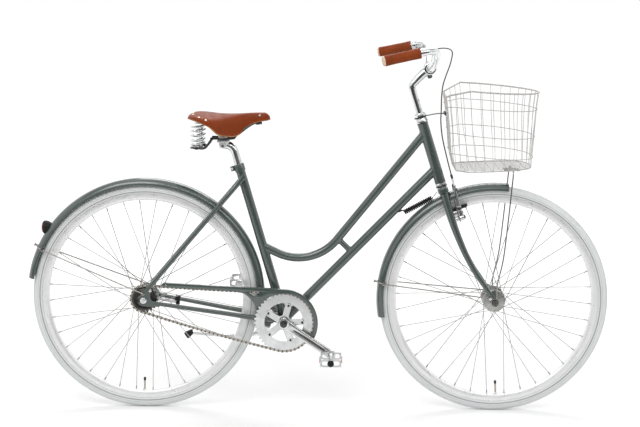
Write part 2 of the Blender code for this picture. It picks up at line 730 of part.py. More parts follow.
def chain_route():
    """Pins of the closed chain in x and z: round the ring, back below, round the sprocket, and above.

    The straight runs hang in shallow parabolas that take up the slack of a whole number of links.
    """
    ring_r = PITCH / 2 / math.sin(math.pi / RING_TEETH)
    cog_r = PITCH / 2 / math.sin(math.pi / SPROCKET_TEETH)
    line = REAR_HUB - BB
    reach = line.length
    base = math.atan2(line.z, line.x)
    lean = math.acos((ring_r - cog_r) / reach)
    lower = base + lean
    upper = base - lean
    run = math.sqrt(reach ** 2 - (ring_r - cog_r) ** 2)
    ring_arc = (math.tau - 2 * lean) * ring_r
    cog_arc = 2 * lean * cog_r
    slack = CHAIN_LINKS * PITCH - (ring_arc + cog_arc + 2 * run)
    low_sag = math.sqrt(max(slack, 0.0001) * 0.92 * 3 * run / 8)
    high_sag = math.sqrt(max(slack, 0.0001) * 0.08 * 3 * run / 8)

    def on(centre, radius, turn):
        return Vector((centre.x + radius * math.cos(turn), CHAINLINE, centre.z + radius * math.sin(turn)))

    path = []
    for t in np.linspace(0, 1, 160, endpoint=False):
        path.append(on(BB, ring_r, upper - t * (math.tau - 2 * lean)))
    start, end = on(BB, ring_r, lower), on(REAR_HUB, cog_r, lower)
    for t in np.linspace(0, 1, 120, endpoint=False):
        path.append(start.lerp(end, t) - Vector((0, 0, 4 * low_sag * t * (1 - t))))
    for t in np.linspace(0, 1, 80, endpoint=False):
        path.append(on(REAR_HUB, cog_r, lower - t * 2 * lean))
    start, end = on(REAR_HUB, cog_r, upper), on(BB, ring_r, upper)
    for t in np.linspace(0, 1, 120, endpoint=False):
        path.append(start.lerp(end, t) - Vector((0, 0, 4 * high_sag * t * (1 - t))))
    return path


def chain_pins():
    """Pins at equal steps along the route, the first at the middle of the chainring's front."""
    path = np.array([(p.x, p.z) for p in chain_route()])
    closed = np.vstack([path, path[:1]])
    lengths = np.concatenate([[0], np.cumsum(np.linalg.norm(np.diff(closed, axis=0), axis=1))])
    stations = np.linspace(0, lengths[-1], CHAIN_LINKS, endpoint=False)
    x = np.interp(stations, lengths, closed[:, 0])
    z = np.interp(stations, lengths, closed[:, 1])
    return np.column_stack([x, z])


def build_chain():
    """The chain as one ladder: two rows of side plates joined by a roller at every pin.

    Each pitch on the ring and on the sprocket has a window between its rollers for a tooth; on the
    straight runs the pitches are closed blocks.
    """
    pins = chain_pins()
    along = np.roll(pins, -1, axis=0) - np.roll(pins, 1, axis=0)
    along /= np.linalg.norm(along, axis=1)[:, None]
    up = np.column_stack([-along[:, 1], along[:, 0]])
    bm = bmesh.new()

    def corners(point, shift, half):
        spots = [(point + shift, half), (point + shift, -half), (point - shift, -half), (point - shift, half)]
        return [bm.verts.new((p[0], CHAINLINE + side, p[1])) for p, side in spots]

    outer = [corners(pins[i], up[i] * CHAIN_H / 2, CHAIN_W / 2) for i in range(CHAIN_LINKS)]
    wraps = ((BB.xz, RING_TEETH), (REAR_HUB.xz, SPROCKET_TEETH))
    for i in range(CHAIN_LINKS):
        j = (i + 1) % CHAIN_LINKS
        a, b = outer[i], outer[j]
        middle = (pins[i] + pins[j]) / 2
        reaches = [math.dist(middle, hub) - PITCH / 2 / math.sin(math.pi / n) for hub, n in wraps]
        if min(reaches) > 0.009:
            for k in range(4):
                m = (k + 1) % 4
                bm.faces.new((a[k], b[k], b[m], a[m]))
            continue
        way = (pins[j] - pins[i]) / math.dist(pins[i], pins[j])
        shift = np.array([-way[1], way[0]]) * CHAIN_H / 2
        c = corners(pins[i] + way * ROLLER_L / 2, shift, CHAIN_IN / 2)
        d = corners(pins[j] - way * ROLLER_L / 2, shift, CHAIN_IN / 2)
        for k, m in ((0, 1), (2, 3)):
            bm.faces.new((a[k], b[k], d[k], c[k]))
            bm.faces.new((b[k], b[m], d[m], d[k]))
            bm.faces.new((b[m], a[m], c[m], d[m]))
            bm.faces.new((a[m], a[k], c[k], c[m]))
        bm.faces.new((a[1], a[2], b[2], b[1]))
        bm.faces.new((a[3], a[0], b[0], b[3]))
        bm.faces.new((c[0], c[1], c[2], c[3]))
        bm.faces.new((d[0], d[1], d[2], d[3]))
        bm.faces.new((c[1], c[2], d[2], d[1]))
        bm.faces.new((c[3], c[0], d[0], d[3]))
    bmesh.ops.recalc_face_normals(bm, faces=bm.faces)
    mesh = bpy.data.meshes.new("chain")
    bm.to_mesh(mesh)
    bm.free()
    place(bpy.data.objects.new("chain", mesh), black_steel())


def gap_angle(centre):
    """Direction from a sprocket's centre to a pin that lies well inside its wrap."""
    pins = chain_pins()
    side = 1 if centre.x == BB.x else -1
    reach = (pins[:, 0] - centre.x) * side
    nearest = pins[int(np.argmax(reach))]
    return math.atan2(nearest[1] - centre.z, nearest[0] - centre.x)


def build_crankset():
    ring_outline = tooth_outline(RING_TEETH, gap_angle(BB))
    window = []
    arms = [CRANK_ANGLE + math.radians(36 + 72 * k) for k in range(5)]
    inner_r = BOLT_CIRCLE_R + 0.009
    finger_r = BOLT_CIRCLE_R - 0.0065
    for arm in arms:
        for radius, turn in ((inner_r, arm - 0.30), (inner_r, arm - 0.145), (finger_r, arm - 0.12),
                             (finger_r, arm + 0.12), (inner_r, arm + 0.145), (inner_r, arm + 0.30),
                             (inner_r, arm + 0.628)):
            window.append((radius * math.cos(turn), radius * math.sin(turn)))
    plate("chainring", alloy(), [ring_outline, window], TOOTH_T, BB + LEFT * CHAINLINE)

    spindle = [(0, SPINDLE_HALF), (SPINDLE_END_R, SPINDLE_HALF), (SPINDLE_R, 0.040), (SPINDLE_R, -0.040),
               (SPINDLE_END_R, -SPINDLE_HALF), (0, -SPINDLE_HALF)]
    turned("crank_spindle", black_steel(), spindle, BB, LEFT, 12)
    crank("crank_right", -1, CRANK_ANGLE, arms)
    crank("crank_left", 1, CRANK_ANGLE + math.pi, [])
    pedal("pedal_right", -1, CRANK_ANGLE)
    pedal("pedal_left", 1, CRANK_ANGLE + math.pi)


def crank(name, y, angle, spider_arms):
    """Crank: hub boss, tapered arm that angles outwards, pedal eye with the pedal's spindle."""
    out = Vector((math.cos(angle), 0, math.sin(angle)))
    square = Vector((-math.sin(angle), 0, math.cos(angle)))
    sections = []
    for t, half_w, half_t in ((-0.004, 0.0150, 0.0070), (0.030, 0.0130, 0.0066), (0.100, 0.0115, 0.0060),
                              (0.164, 0.0120, 0.0058)):
        centre_y = y * (CRANK_HUB_Y + (CRANK_EYE_Y - CRANK_HUB_Y) * t / CRANK_L)
        centre = BB + out * t + LEFT * centre_y
        bevel = 0.45
        sections.append([centre + square * half_w * a + LEFT * half_t * b for a, b in (
            (1, -bevel), (1, bevel), (0.6, 1), (-0.6, 1), (-1, bevel), (-1, -bevel), (-0.6, -1), (0.6, -1))])
    arm = loft(name, alloy(), sections)
    boss_in = 0.0448 if spider_arms else 0.0462
    boss_top = 0.0655
    boss = turned(name + "_boss", None, [(0, boss_top), (0.0150, boss_top), (0.0165, boss_top - 0.003),
                                         (0.0165, boss_in), (SPINDLE_R + GAP, boss_in),
                                         (SPINDLE_END_R + GAP, SPINDLE_HALF + GAP),
                                         (0, SPINDLE_HALF + GAP)],
                  BB, LEFT * y, 12)
    tip = BB + out * CRANK_L
    eye = rod(name + "_eye", None, tip + LEFT * y * 0.0620, tip + LEFT * y * 0.0750, 0.0135, 10)
    axle = rod(name + "_pedal_axle", None, tip + LEFT * y * 0.0740,
               tip + LEFT * y * (PEDAL_START_Y + PEDAL_L + 0.002), PEDAL_AXLE_R, 8)
    hollow = rod(name + "_taper_clearance", None, BB + LEFT * y * 0.030, BB + LEFT * y * (SPINDLE_HALF + GAP),
                 SPINDLE_R + 2 * GAP, 10)
    tools = [boss, eye, axle]
    arm = cut(arm, hollow)
    if spider_arms:
        neck_r, wide_r, end_r = BOLT_CIRCLE_R - 0.0075, BOLT_CIRCLE_R + 0.0015, BOLT_CIRCLE_R + 0.0070
        outline = []
        for turn in spider_arms:
            for radius, swing in ((0.020, -0.42), (neck_r, -0.155), (wide_r, -0.125), (end_r, -0.06),
                                  (end_r, 0.06), (wide_r, 0.125), (neck_r, 0.155), (0.020, 0.42)):
                outline.append((radius * math.cos(turn + swing), radius * math.sin(turn + swing)))
        hole = arc_points((0, 0), 0.0120, 0, 330, 11)
        tools.append(plate("spider", None, [outline, hole], 0.0046, BB + RIGHT * 0.0471))
    fuse(arm, *tools)


def pedal(name, y, angle):
    """Platform pedal: a barrel on the spindle, two tread rails and two end plates."""
    tip = BB + Vector((math.cos(angle), 0, math.sin(angle))) * CRANK_L
    start = PEDAL_START_Y
    end = start + PEDAL_L
    middle = tip + LEFT * y * ((start + end) / 2)
    barrel = sleeve(name, alloy(), tip + LEFT * y * start, tip + LEFT * y * end, 0.0100,
                    PEDAL_AXLE_R + RUNNING, 10)
    rail_x = PEDAL_W / 2 - 0.004
    tools = []
    for sign in (1, -1):
        tools.append(box(name + "_rail", None, middle + Vector((sign * rail_x, 0, 0)),
                         (0.008, PEDAL_L - 0.004, PEDAL_H)))
        web_y = sign * (PEDAL_L / 2 - 0.008)
        outline = [(-rail_x, -0.0085), (rail_x, -0.0085), (rail_x, 0.0085), (-rail_x, 0.0085)]
        hole = arc_points((0, 0), 0.0070, 0, 315, 7)
        tools.append(plate(name + "_web", None, [outline, hole], 0.006, middle + LEFT * web_y))
    fuse(barrel, *tools)


def build_sprocket():
    teeth = tooth_outline(SPROCKET_TEETH, gap_angle(REAR_HUB))
    bore = arc_points((0, 0), 0.0120, 0, 315, 7)
    cog = plate("rear_sprocket", black_steel(), [teeth, bore], TOOTH_T, REAR_HUB + LEFT * CHAINLINE)
    driver_in, driver_out = 0.0385, 0.0516
    disc = [(AXLE_R + RUNNING, driver_out), (0.0160, driver_out), (0.0170, 0.0500), (0.0330, 0.0496),
            (0.0330, 0.0482), (0.0150, 0.0480), (0.0150, driver_in), (AXLE_R + RUNNING, driver_in)]
    fuse(cog, turned("driver", None, disc, REAR_HUB, RIGHT, 12, closed=True))


def build_chain_guard():
    """Hockey-stick guard: a strip over the chain that runs into a band round the chainring."""
    outer_r, inner_r = 0.1020, 0.0910
    plate_y = -0.0528
    thick = 0.0015
    tail_top = REAR_HUB.xz + Vector((0.060, 0.0480))
    tail_low = REAR_HUB.xz + Vector((0.064, 0.0350))
    centre = BB.xz

    def local(x, z):
        return (x - centre.x, z - centre.y)

    crest = arc_points((0, 0), outer_r, 92, -33, 14)
    under = arc_points((0, 0), inner_r, -33, 148, 18)
    outline = ([local(*tail_top), (-0.200, outer_r + 0.0045)] + crest + under
               + [(-0.0835, 0.0470), (-0.1000, 0.0660), (-0.1280, 0.0800), (-0.1750, 0.0885)]
               + [local(*tail_low), local(tail_low.x - 0.012, tail_low.y + 0.004)])
    window = [(-0.1060, 0.0790), (-0.0925, 0.0665), (-0.0800, 0.0640), (-0.0630, 0.0820), (-0.0780, 0.0850),
              (-0.0980, 0.0855)]
    guard = plate("chain_guard", paint(), [outline, window], thick, BB + LEFT * plate_y)
    lip_path = [Vector(local(*tail_top)), Vector((-0.200, outer_r + 0.0045))] + [Vector(p) for p in crest]
    lip_path[0] = lip_path[0].lerp(lip_path[1], 0.02)
    lip_path[-1] = lip_path[-1].lerp(lip_path[-2], 0.1)
    sections = []
    for i, point in enumerate(lip_path):
        before = lip_path[max(i - 1, 0)]
        after = lip_path[min(i + 1, len(lip_path) - 1)]
        way = (after - before).normalized()
        down = Vector((way.y, -way.x))
        outer = point + down * GAP
        inner = point + down * thick
        ring = [(outer, plate_y), (outer, plate_y + 0.0125), (inner, plate_y + 0.0125), (inner, plate_y)]
        sections.append([Vector((BB.x + p.x, side, BB.z + p.y)) for p, side in ring])
    lip = loft("guard_lip", None, sections)
    tab_outline = [(-0.3640, 0.1140), (-0.3500, 0.1130), (-0.3560, 0.1350), (-0.3700, 0.1450)]
    tab = plate("guard_tab", None, [tab_outline], thick, BB + LEFT * plate_y)
    guard = fuse(guard, lip, tab)
    cut(guard, seatstay_tube("guard_clearance", None, -1, GAP))


# Fenders

def fender_section(radius, offset=0.0, points=5):
    """Cross-section of a fender as (radius, y): a flat arch, grown outwards by offset."""
    turns = np.linspace(math.pi / 2, -math.pi / 2, points)
    half = FENDER_W / 2 + offset
    deep = FENDER_DEPTH + offset
    return [(radius + offset - deep * (1 - math.cos(t)), half * math.sin(t)) for t in turns]


def fender(name, hub, radius, arc, steps):
    shell = turned(name, paint(), fender_section(radius), hub, RIGHT, steps, arc=arc)
    wall = shell.modifiers.new("wall", "SOLIDIFY")
    wall.thickness = FENDER_T
    wall.offset = -1.0
    return shell


def fender_stay(name, hub, radius, degrees, eyelet, eyelet_y):
    """One wire: up from the right dropout, over the fender at its bolt and down to the left one."""
    clear = GAP + STAY_R
    over = [polar(hub, r, degrees, -y) for r, y in fender_section(radius, clear + 0.0002, 5)]
    foot = polar(hub, radius - FENDER_DEPTH - 0.012, degrees, -(FENDER_W / 2 + clear + 0.0005))
    right_foot = Vector((foot.x, -abs(foot.y), foot.z))
    left_foot = Vector((foot.x, abs(foot.y), foot.z))
    over = sorted(over, key=lambda p: p.y)
    right = hub + Vector((eyelet[0], -eyelet_y, eyelet[1]))
    left = hub + Vector((eyelet[0], eyelet_y, eyelet[1]))
    return tube(name, chrome(), [right, right_foot] + over + [left_foot, left], STAY_R, 6)


def build_fenders():
    rear = fender("rear_fender", REAR_HUB, REAR_FENDER_R, REAR_FENDER_ARC, 20)
    tab_r = REAR_FENDER_R - 0.0007
    tab = [polar(REAR_HUB, tab_r, a) for a in (-3.5, -5.0, -7.0, -8.8)]
    sections = [[p + Vector((0, -0.009, 0)) + d, p + Vector((0, 0.009, 0)) + d,
                 p + Vector((0, 0.009, 0)) - d, p + Vector((0, -0.009, 0)) - d]
                for p in tab for d in [(p - REAR_HUB).normalized() * 0.0006]]
    fuse(as_mesh(rear), loft("fender_tab", None, sections))
    fender("front_fender", FRONT_HUB, FRONT_FENDER_R, FRONT_FENDER_ARC, 12)
    rear_y = REAR_DROPOUT_IN + DROPOUT_T + GAP + STAY_R + 0.0002
    fender_stay("rear_fender_stay", REAR_HUB, REAR_FENDER_R, 155.2, (-0.001, 0.0200), rear_y)
    front_y = FRONT_DROPOUT_IN + DROPOUT_T + GAP + STAY_R + 0.0002
    fender_stay("front_fender_stay", FRONT_HUB, FRONT_FENDER_R, 171.9, (-0.0150, 0.0130), front_y)


def build_taillight():
    middle = aft(-0.7330, 0.5560)
    housing = turned("taillight_housing", black_steel(),
                     [(0, 0.000), (0.0185, 0.000), (0.0190, -0.008), (0.0120, -0.026), (0, -0.026)],
                     middle, (-1, 0, 0), 14)
    clear = turned("fender_clearance", None,
                   [(0.30, 0.05), (REAR_FENDER_R + GAP, 0.05), (REAR_FENDER_R + GAP, -0.05), (0.30, -0.05)],
                   REAR_HUB, RIGHT, 120, closed=True)
    cut(housing, clear)
    lens = [(0, 0.0075), (0.0090, 0.0060), (0.0150, 0.0030), (0.0180, GAP), (0, GAP)]
    turned("taillight_lens", material("red_lens", (0.45, 0.02, 0.02), 0.15), lens, middle, (-1, 0, 0), 14)


# Fork and steering

def build_fork():
    low, top = FORK_CROWN_LOW, FORK_CROWN_TOP
    crown = box("fork_crown", paint(), steer((low + top) / 2),
                (0.034, 2 * (FORK_BLADE_Y + FORK_BLADE_R), top - low),
                axis_frame(Vector(), STEER_UP, STEER_FWD))
    soften = crown.modifiers.new("soften", "BEVEL")
    soften.width = 0.004
    soften.segments = 1
    steerer = sleeve("steerer", None, steer(top - 0.012), steer(HEAD_TUBE_LOW + HEAD_TUBE_L + 0.026),
                     STEERER_R, STEERER_BORE, 16)
    fuse(crown, steerer)

    tip_y = FRONT_DROPOUT_IN + 0.0021
    blade_line = [(s, n, FORK_BLADE_Y + (tip_y - FORK_BLADE_Y) * out) for s, n, out in (
        (low - GAP, 0.0, 0.0), (0.300, 0.0, 0.1389), (0.254, 0.0008, 0.2778), (0.2065, 0.0043, 0.4167),
        (0.1576, 0.0105, 0.5694), (0.1045, 0.0215, 0.7361), (0.0621, 0.0345, 0.8819), (0.026, 0.0455, 1.0))]
    for side, y in (("right", -1), ("left", 1)):
        path = [steer(s, n, y * w) for s, n, w in blade_line]
        radii = [FORK_BLADE_R - (FORK_BLADE_R - FORK_TIP_R) * max(0.0, (0.30 - s) / 0.274)
                 for s, n, w in blade_line]
        blade = as_mesh(tube("fork_blade_" + side, paint(), path, FORK_BLADE_R, 8, radii))
        slot = AXLE_R + RUNNING
        outline = ([(-slot, -0.012), (-slot, 0.0)] + arc_points((0, 0), slot, 150, 30, 3)
                   + [(slot, 0.0), (slot, -0.012)] + arc_points((0, 0), 0.012, -60, 45, 4)
                   + [(0.0000, 0.0330), (-0.0120, 0.0330)] + arc_points((0, 0), 0.012, 160, 240, 4))
        lug = plate("fork_tip_" + side, None, [outline], DROPOUT_T,
                    FRONT_HUB + Vector((0, y * (FRONT_DROPOUT_IN + DROPOUT_T / 2), 0)), RIGHT, STEER_FWD)
        boss = turned("brake_boss_" + side, None,
                      [(0, 0.0370), (BRAKE_STUD_R, 0.0370), (BRAKE_STUD_R, 0.0235), (0.0070, 0.0235),
                       (0.0070, 0.0), (0, 0.0)], steer(BRAKE_PIVOT_S, 0.0, y * BRAKE_PIVOT_Y), STEER_FWD, 10)
        fuse(blade, lug, boss)
        cut(blade, rod("blade_bore_" + side, None, steer(low + 0.02, 0, y * FORK_BLADE_Y),
                       steer(low - GAP, 0, y * FORK_BLADE_Y), 0.03, 8))

    inner = FRONT_DROPOUT_IN - GAP
    outer = FRONT_DROPOUT_IN + DROPOUT_T + 0.0026
    half = [(AXLE_R, outer + 0.0115), (AXLE_R, outer + 0.0080), (0.0085, outer + 0.0080), (0.0085, outer),
            (AXLE_R, outer), (AXLE_R, inner), (0.0075, inner), (0.0075, inner - 0.0015),
            (AXLE_R, inner - 0.0015)]
    profile = [(0, half[0][1])] + half + [(r, -h) for r, h in reversed(half)] + [(0, -half[0][1])]
    turned("front_axle", chrome(), profile, FRONT_HUB, LEFT, 6)

    nut_low = HEAD_TUBE_LOW + HEAD_TUBE_L + UPPER_CUP_H + 0.0040
    bore = STEERER_R + GAP
    nut = [(bore, 0.0100), (0.0158, 0.0100), (0.0178, 0.0080), (0.0178, 0.0), (bore, 0.0)]
    turned("headset_locknut", chrome(), nut, steer(nut_low), STEER_UP, 16, closed=True)


def build_stem():
    corner = steer(STEM_CORNER_S)
    clamp = steer(STEM_CLAMP_S, STEM_CLAMP_N)
    bar_clear = BAR_BULGE_R + 2 * GAP
    quill = as_mesh(tube("stem", chrome(), [steer(0.530), corner], STEM_R, 12))
    reach = (clamp - corner).normalized()
    neck = tube("stem_neck", None, [corner - reach * 0.004, clamp], 0.0120, 12, [0.0120, 0.0140])
    collar = rod("stem_collar", None, clamp + LEFT * 0.019, clamp + RIGHT * 0.019, 0.0185, 16)
    ear = box("stem_ear", None, clamp - STEER_UP * 0.0215 - STEER_FWD * 0.007, (0.014, 0.020, 0.012),
              axis_frame(Vector(), STEER_UP, STEER_FWD))
    bore = rod("bar_clearance", None, clamp + LEFT * 0.03, clamp + RIGHT * 0.03, bar_clear, 16)
    quill = fuse(quill, neck, collar, ear)
    cut(quill, bore)


def handlebar_points():
    """Centre line of the left half of the bar, from the clamp to the end of the grip."""
    clamp = steer(STEM_CLAMP_S, STEM_CLAMP_N)
    rise = [(0.0, 0.0, 0.0), (0.0, 0.025, 0.0), (0.003, 0.080, 0.010), (0.007, 0.135, 0.030),
            (0.008, 0.185, 0.050), (0.001, 0.221, 0.060), (-0.016, 0.238, 0.0620), (-0.040, 0.2485, 0.0585),
            (-0.1430, 0.2670, 0.0362)]
    return [clamp + Vector(p) for p in rise]


def build_handlebar():
    left = handlebar_points()
    half = left[:1] + left[1:4] + smooth_path(left[4:8], 2) + left[8:]
    flip = [Vector((p.x, -p.y, p.z)) for p in reversed(half[1:])]
    path = flip + half
    radii = [BAR_BULGE_R if abs(p.y) < 0.030 else BAR_R for p in path]
    tube("handlebar", chrome(), path, BAR_R, 8, radii)
    for side, y in (("left", 1), ("right", -1)):
        front = Vector((left[7].x, left[7].y * y, left[7].z))
        rear = Vector((left[8].x, left[8].y * y, left[8].z))
        way = (rear - front).normalized()
        start = rear - way * (GRIP_L - 0.006)
        bore = BAR_R + 2 * GAP
        profile = [(0, 0.0050 - GRIP_L), (bore, 0.0050 - GRIP_L), (bore, 0), (GRIP_R - 0.0025, 0),
                   (GRIP_R, -0.004), (GRIP_R, 0.0030 - GRIP_L), (GRIP_R - 0.003, -GRIP_L), (0, -GRIP_L)]
        turned("grip_" + side, leather(), profile, start, -way, 12)


def build_brake_lever():
    left = handlebar_points()
    path = smooth_path(left[:8], 2)
    front, back = path[-2], left[7]
    way = (back - front).normalized()
    clamp = front.lerp(back, 0.45)
    ring = sleeve("brake_lever_bracket", alloy(), clamp - way * 0.0055, clamp + way * 0.0055,
                  BAR_R + 0.0039, BAR_R + 0.0007, 14)
    pivot = lever_pivot()
    body = loft("lever_body", None, [
        [clamp + Vector((x, y, z)) for x, y, z in (
            (-0.006, -0.005, -BAR_R - 0.0019), (0.010, -0.005, -BAR_R + 0.0001),
            (0.010, 0.007, -BAR_R + 0.0001), (-0.006, 0.007, -BAR_R - 0.0019))],
        [pivot + Vector((x, y, z)) for x, y, z in ((-0.008, -0.006, 0.0065), (0.012, -0.006, 0.004),
                                                  (0.012, 0.006, 0.004), (-0.008, 0.006, 0.0065))],
        [pivot + Vector((x, y, z)) for x, y, z in ((0.0065, -0.006, -0.004), (0.014, -0.006, -0.001),
                                                  (0.014, 0.006, -0.001), (0.0065, 0.006, -0.004))]])
    fuse(ring, body)
    eye_r = 0.0055
    cut(ring, rod("lever_clearance", None, pivot + LEFT * 0.02, pivot + RIGHT * 0.02, eye_r + GAP, 16))
    points = [pivot, pivot + Vector((-0.020, 0.004, -0.019)), pivot + Vector((-0.055, 0.012, -0.031)),
              pivot + Vector((-0.098, 0.021, -0.039))]
    lever = as_mesh(tube("brake_lever", alloy(), points, 0.005, 8, [0.0045, 0.0050, 0.0045, 0.0055]))
    fuse(lever, rod("lever_eye", None, pivot + LEFT * 0.0055, pivot + RIGHT * 0.0055, eye_r, 16))


def lever_pivot():
    """Pin of the brake lever, below the bar just in front of the left grip."""
    return handlebar_points()[7] + Vector((0.018, -0.006, -BAR_R - 0.0099))


def build_front_brake():
    """Two upright arms on the fork bosses, each with its pad facing the rim."""
    for side, y in (("right", -1), ("left", 1)):
        barrel = sleeve("brake_arm_" + side, alloy(), steer(BRAKE_PIVOT_S, 0.0238, y * BRAKE_PIVOT_Y),
                        steer(BRAKE_PIVOT_S, 0.0378, y * BRAKE_PIVOT_Y), 0.0085, BRAKE_STUD_R + GAP, 10)
        sections = []
        for s, n, w, half_n, half_w in ((BRAKE_PIVOT_S + 0.005, 0.0308, BRAKE_PIVOT_Y, 0.0060, 0.0045),
                                        (0.303, 0.0310, BRAKE_PIVOT_Y - 0.0015, 0.0055, 0.0040),
                                        (0.335, 0.0330, BRAKE_PIVOT_Y - 0.0050, 0.0045, 0.0035),
                                        (0.3665, 0.0350, BRAKE_PIVOT_Y - 0.0070, 0.0040, 0.0030)):
            sections.append([steer(s, n + a * half_n, y * (w + b * half_w))
                             for a, b in ((1, 1), (-1, 1), (-1, -1), (1, -1))])
        post = rod("pad_post_" + side, None, steer(0.3035, 0.0300, y * (BRAKE_PIVOT_Y - 0.0040)),
                   steer(0.3035, 0.0300, y * 0.0215), 0.0040, 8)
        pad_out, pad_in = 0.0270, 0.0140
        outline = []
        for degrees in np.linspace(-5.2, 5.2, 5):
            outline.append((RIM_R - 0.0085, degrees))
        for degrees in np.linspace(5.2, -5.2, 5):
            outline.append((RIM_R - 0.0185, degrees))
        centre = steer(0.3035, 0.0290) - FRONT_HUB
        lean = math.degrees(math.atan2(centre.z, centre.x))
        flat = [(r * math.cos(math.radians(lean + a)), r * math.sin(math.radians(lean + a)))
                for r, a in outline]
        pad = plate("pad_" + side, None, [flat], pad_out - pad_in,
                    FRONT_HUB + LEFT * y * (pad_out + pad_in) / 2)
        fuse(barrel, loft("arm_" + side, None, sections), post, pad)


def build_brake_cable():
    """Housing from the lever's body over the basket's back to the bent pipe on the right arm."""
    start = lever_pivot() + Vector((0.0148, 0.0, 0.0018))
    route = [start, start + Vector((0.016, -0.006, 0.0035)), start + Vector((0.030, -0.022, 0.006)),
             fore(0.4580, 1.0925, 0.190), fore(0.480, 1.1000, 0.148), fore(0.500, 1.0990, 0.122),
             fore(0.5085, 1.0910, 0.108), fore(0.5080, 1.0780, 0.100), fore(0.501, 1.052, 0.088),
             fore(0.487, 1.018, 0.068), fore(0.477, 0.990, 0.048), fore(0.4715, 0.957, 0.018),
             fore(0.469, 0.921, -0.009), fore(0.4675, 0.886, -0.021), fore(0.473, 0.837, -0.028),
             fore(0.489, 0.769, -0.0345), steer(0.402, 0.0365, -0.0385), steer(0.385, 0.0352, -0.0390),
             steer(0.3765, 0.0352, -0.0365), steer(0.3720, 0.0352, -0.0310), steer(0.3708, 0.0352, -0.0250)]
    tube("front_brake_cable", black_rubber(), route, 0.0025, 6)


def build_steering_spring():
    """Stabiliser: a coil from the underside of the down tube to the back of the crown."""
    down_dir = (down_tube_head() - BB).normalized()
    below = Vector((down_dir.z, 0, -down_dir.x))
    wire = 0.0013
    foot = BB + down_dir * 0.4850 + below * (DOWN_TUBE_R * math.cos(math.pi / 10) + GAP + wire)
    hook = steer(FORK_CROWN_LOW + 0.004, -0.017 - GAP - wire)
    first = fore(0.3620, 0.6095)
    last = fore(0.4430, 0.6530)
    way = (last - first).normalized()
    side = LEFT
    normal = way.cross(side)
    turns, per_turn, coil_r = 8, 5, 0.0060
    count = turns * per_turn
    coil = []
    for i in range(count + 1):
        turn = math.tau * i / per_turn
        middle = first.lerp(last, i / count)
        coil.append(middle + side * coil_r * math.sin(turn) + normal * coil_r * math.cos(turn))
    tube("steering_spring", black_steel(), [foot] + coil + [hook], wire, 4)


# Saddle

def post_path():
    """The seatpost: straight in the seat tube, one bend to the rear, and a short level head."""
    bend_start = seat(SEAT_TUBE_L + POST_SHOWN)
    bend_r = 0.030
    back = Vector((-SEAT_UP.z, 0, SEAT_UP.x))
    centre = bend_start + back * bend_r
    first = math.degrees(math.atan2(-back.z, -back.x))
    bend = [polar(centre, bend_r, a) for a in np.linspace(first, first + 66, 6)]
    last = math.radians(first + 66 + 90)
    head = bend[-1] + Vector((math.cos(last), 0, math.sin(last))) * 0.020
    return [seat(SEAT_TUBE_L - POST_INSERTED)] + bend + [head]


def build_seatpost():
    path = post_path()
    post = as_mesh(tube("seatpost", chrome(), path, POST_R, 10))
    clamp_x = path[-1].x + 0.010
    rail_z = on_post(0, RAIL_Z).z
    low = rail_z - RAIL_R - GAP
    high = rail_z + RAIL_R + GAP
    cradle = box("clamp_cradle", None, (clamp_x, 0, low - 0.0045), (0.036, 0.056, 0.0090))
    cap = box("clamp_cap", None, (clamp_x, 0, high + 0.0025), (0.034, 0.056, 0.0050))
    bolt = rod("clamp_bolt", None, (clamp_x, 0, low - 0.030), (clamp_x, 0, high + 0.004), 0.0045, 8)
    fuse(post, cradle, cap, bolt)


def saddle_half_width(t):
    """Half width of the leather along its length, t from the rear (0) to the nose (1)."""
    tail = SADDLE_HALF_W * math.sqrt(max(0.0, 1 - ((0.20 - min(t, 0.20)) / 0.235) ** 2))
    nose = 0.0185 * math.sqrt(max(0.05, 1 - ((max(t, 0.90) - 0.90) / 0.105) ** 2))
    blend = 0.5 - 0.5 * math.cos(math.pi * min(1.0, max(0.0, (t - 0.20) / 0.56)))
    return tail * (1 - blend) + nose * blend


def saddle_top_z(t):
    """Ridge line of the leather: high rear, shallow dip, nearly level nose that drops at its tip."""
    z = 0.9105 - 0.0042 * math.sin(math.pi * min(1.0, t / 0.9)) ** 2
    return z - 0.012 * max(0.0, (t - 0.93) / 0.07) ** 2 - 0.007 * max(0.0, (0.10 - t) / 0.10) ** 2


def saddle_low_z(t):
    """Lower edge: shallow at the rear, deep flaps where the thighs pass, rising to the nose."""
    flap = math.exp(-((t - 0.47) / 0.17) ** 2)
    return 0.8865 - 0.0060 * t - 0.0370 * flap + 0.006 * max(0.0, (t - 0.93) / 0.07)


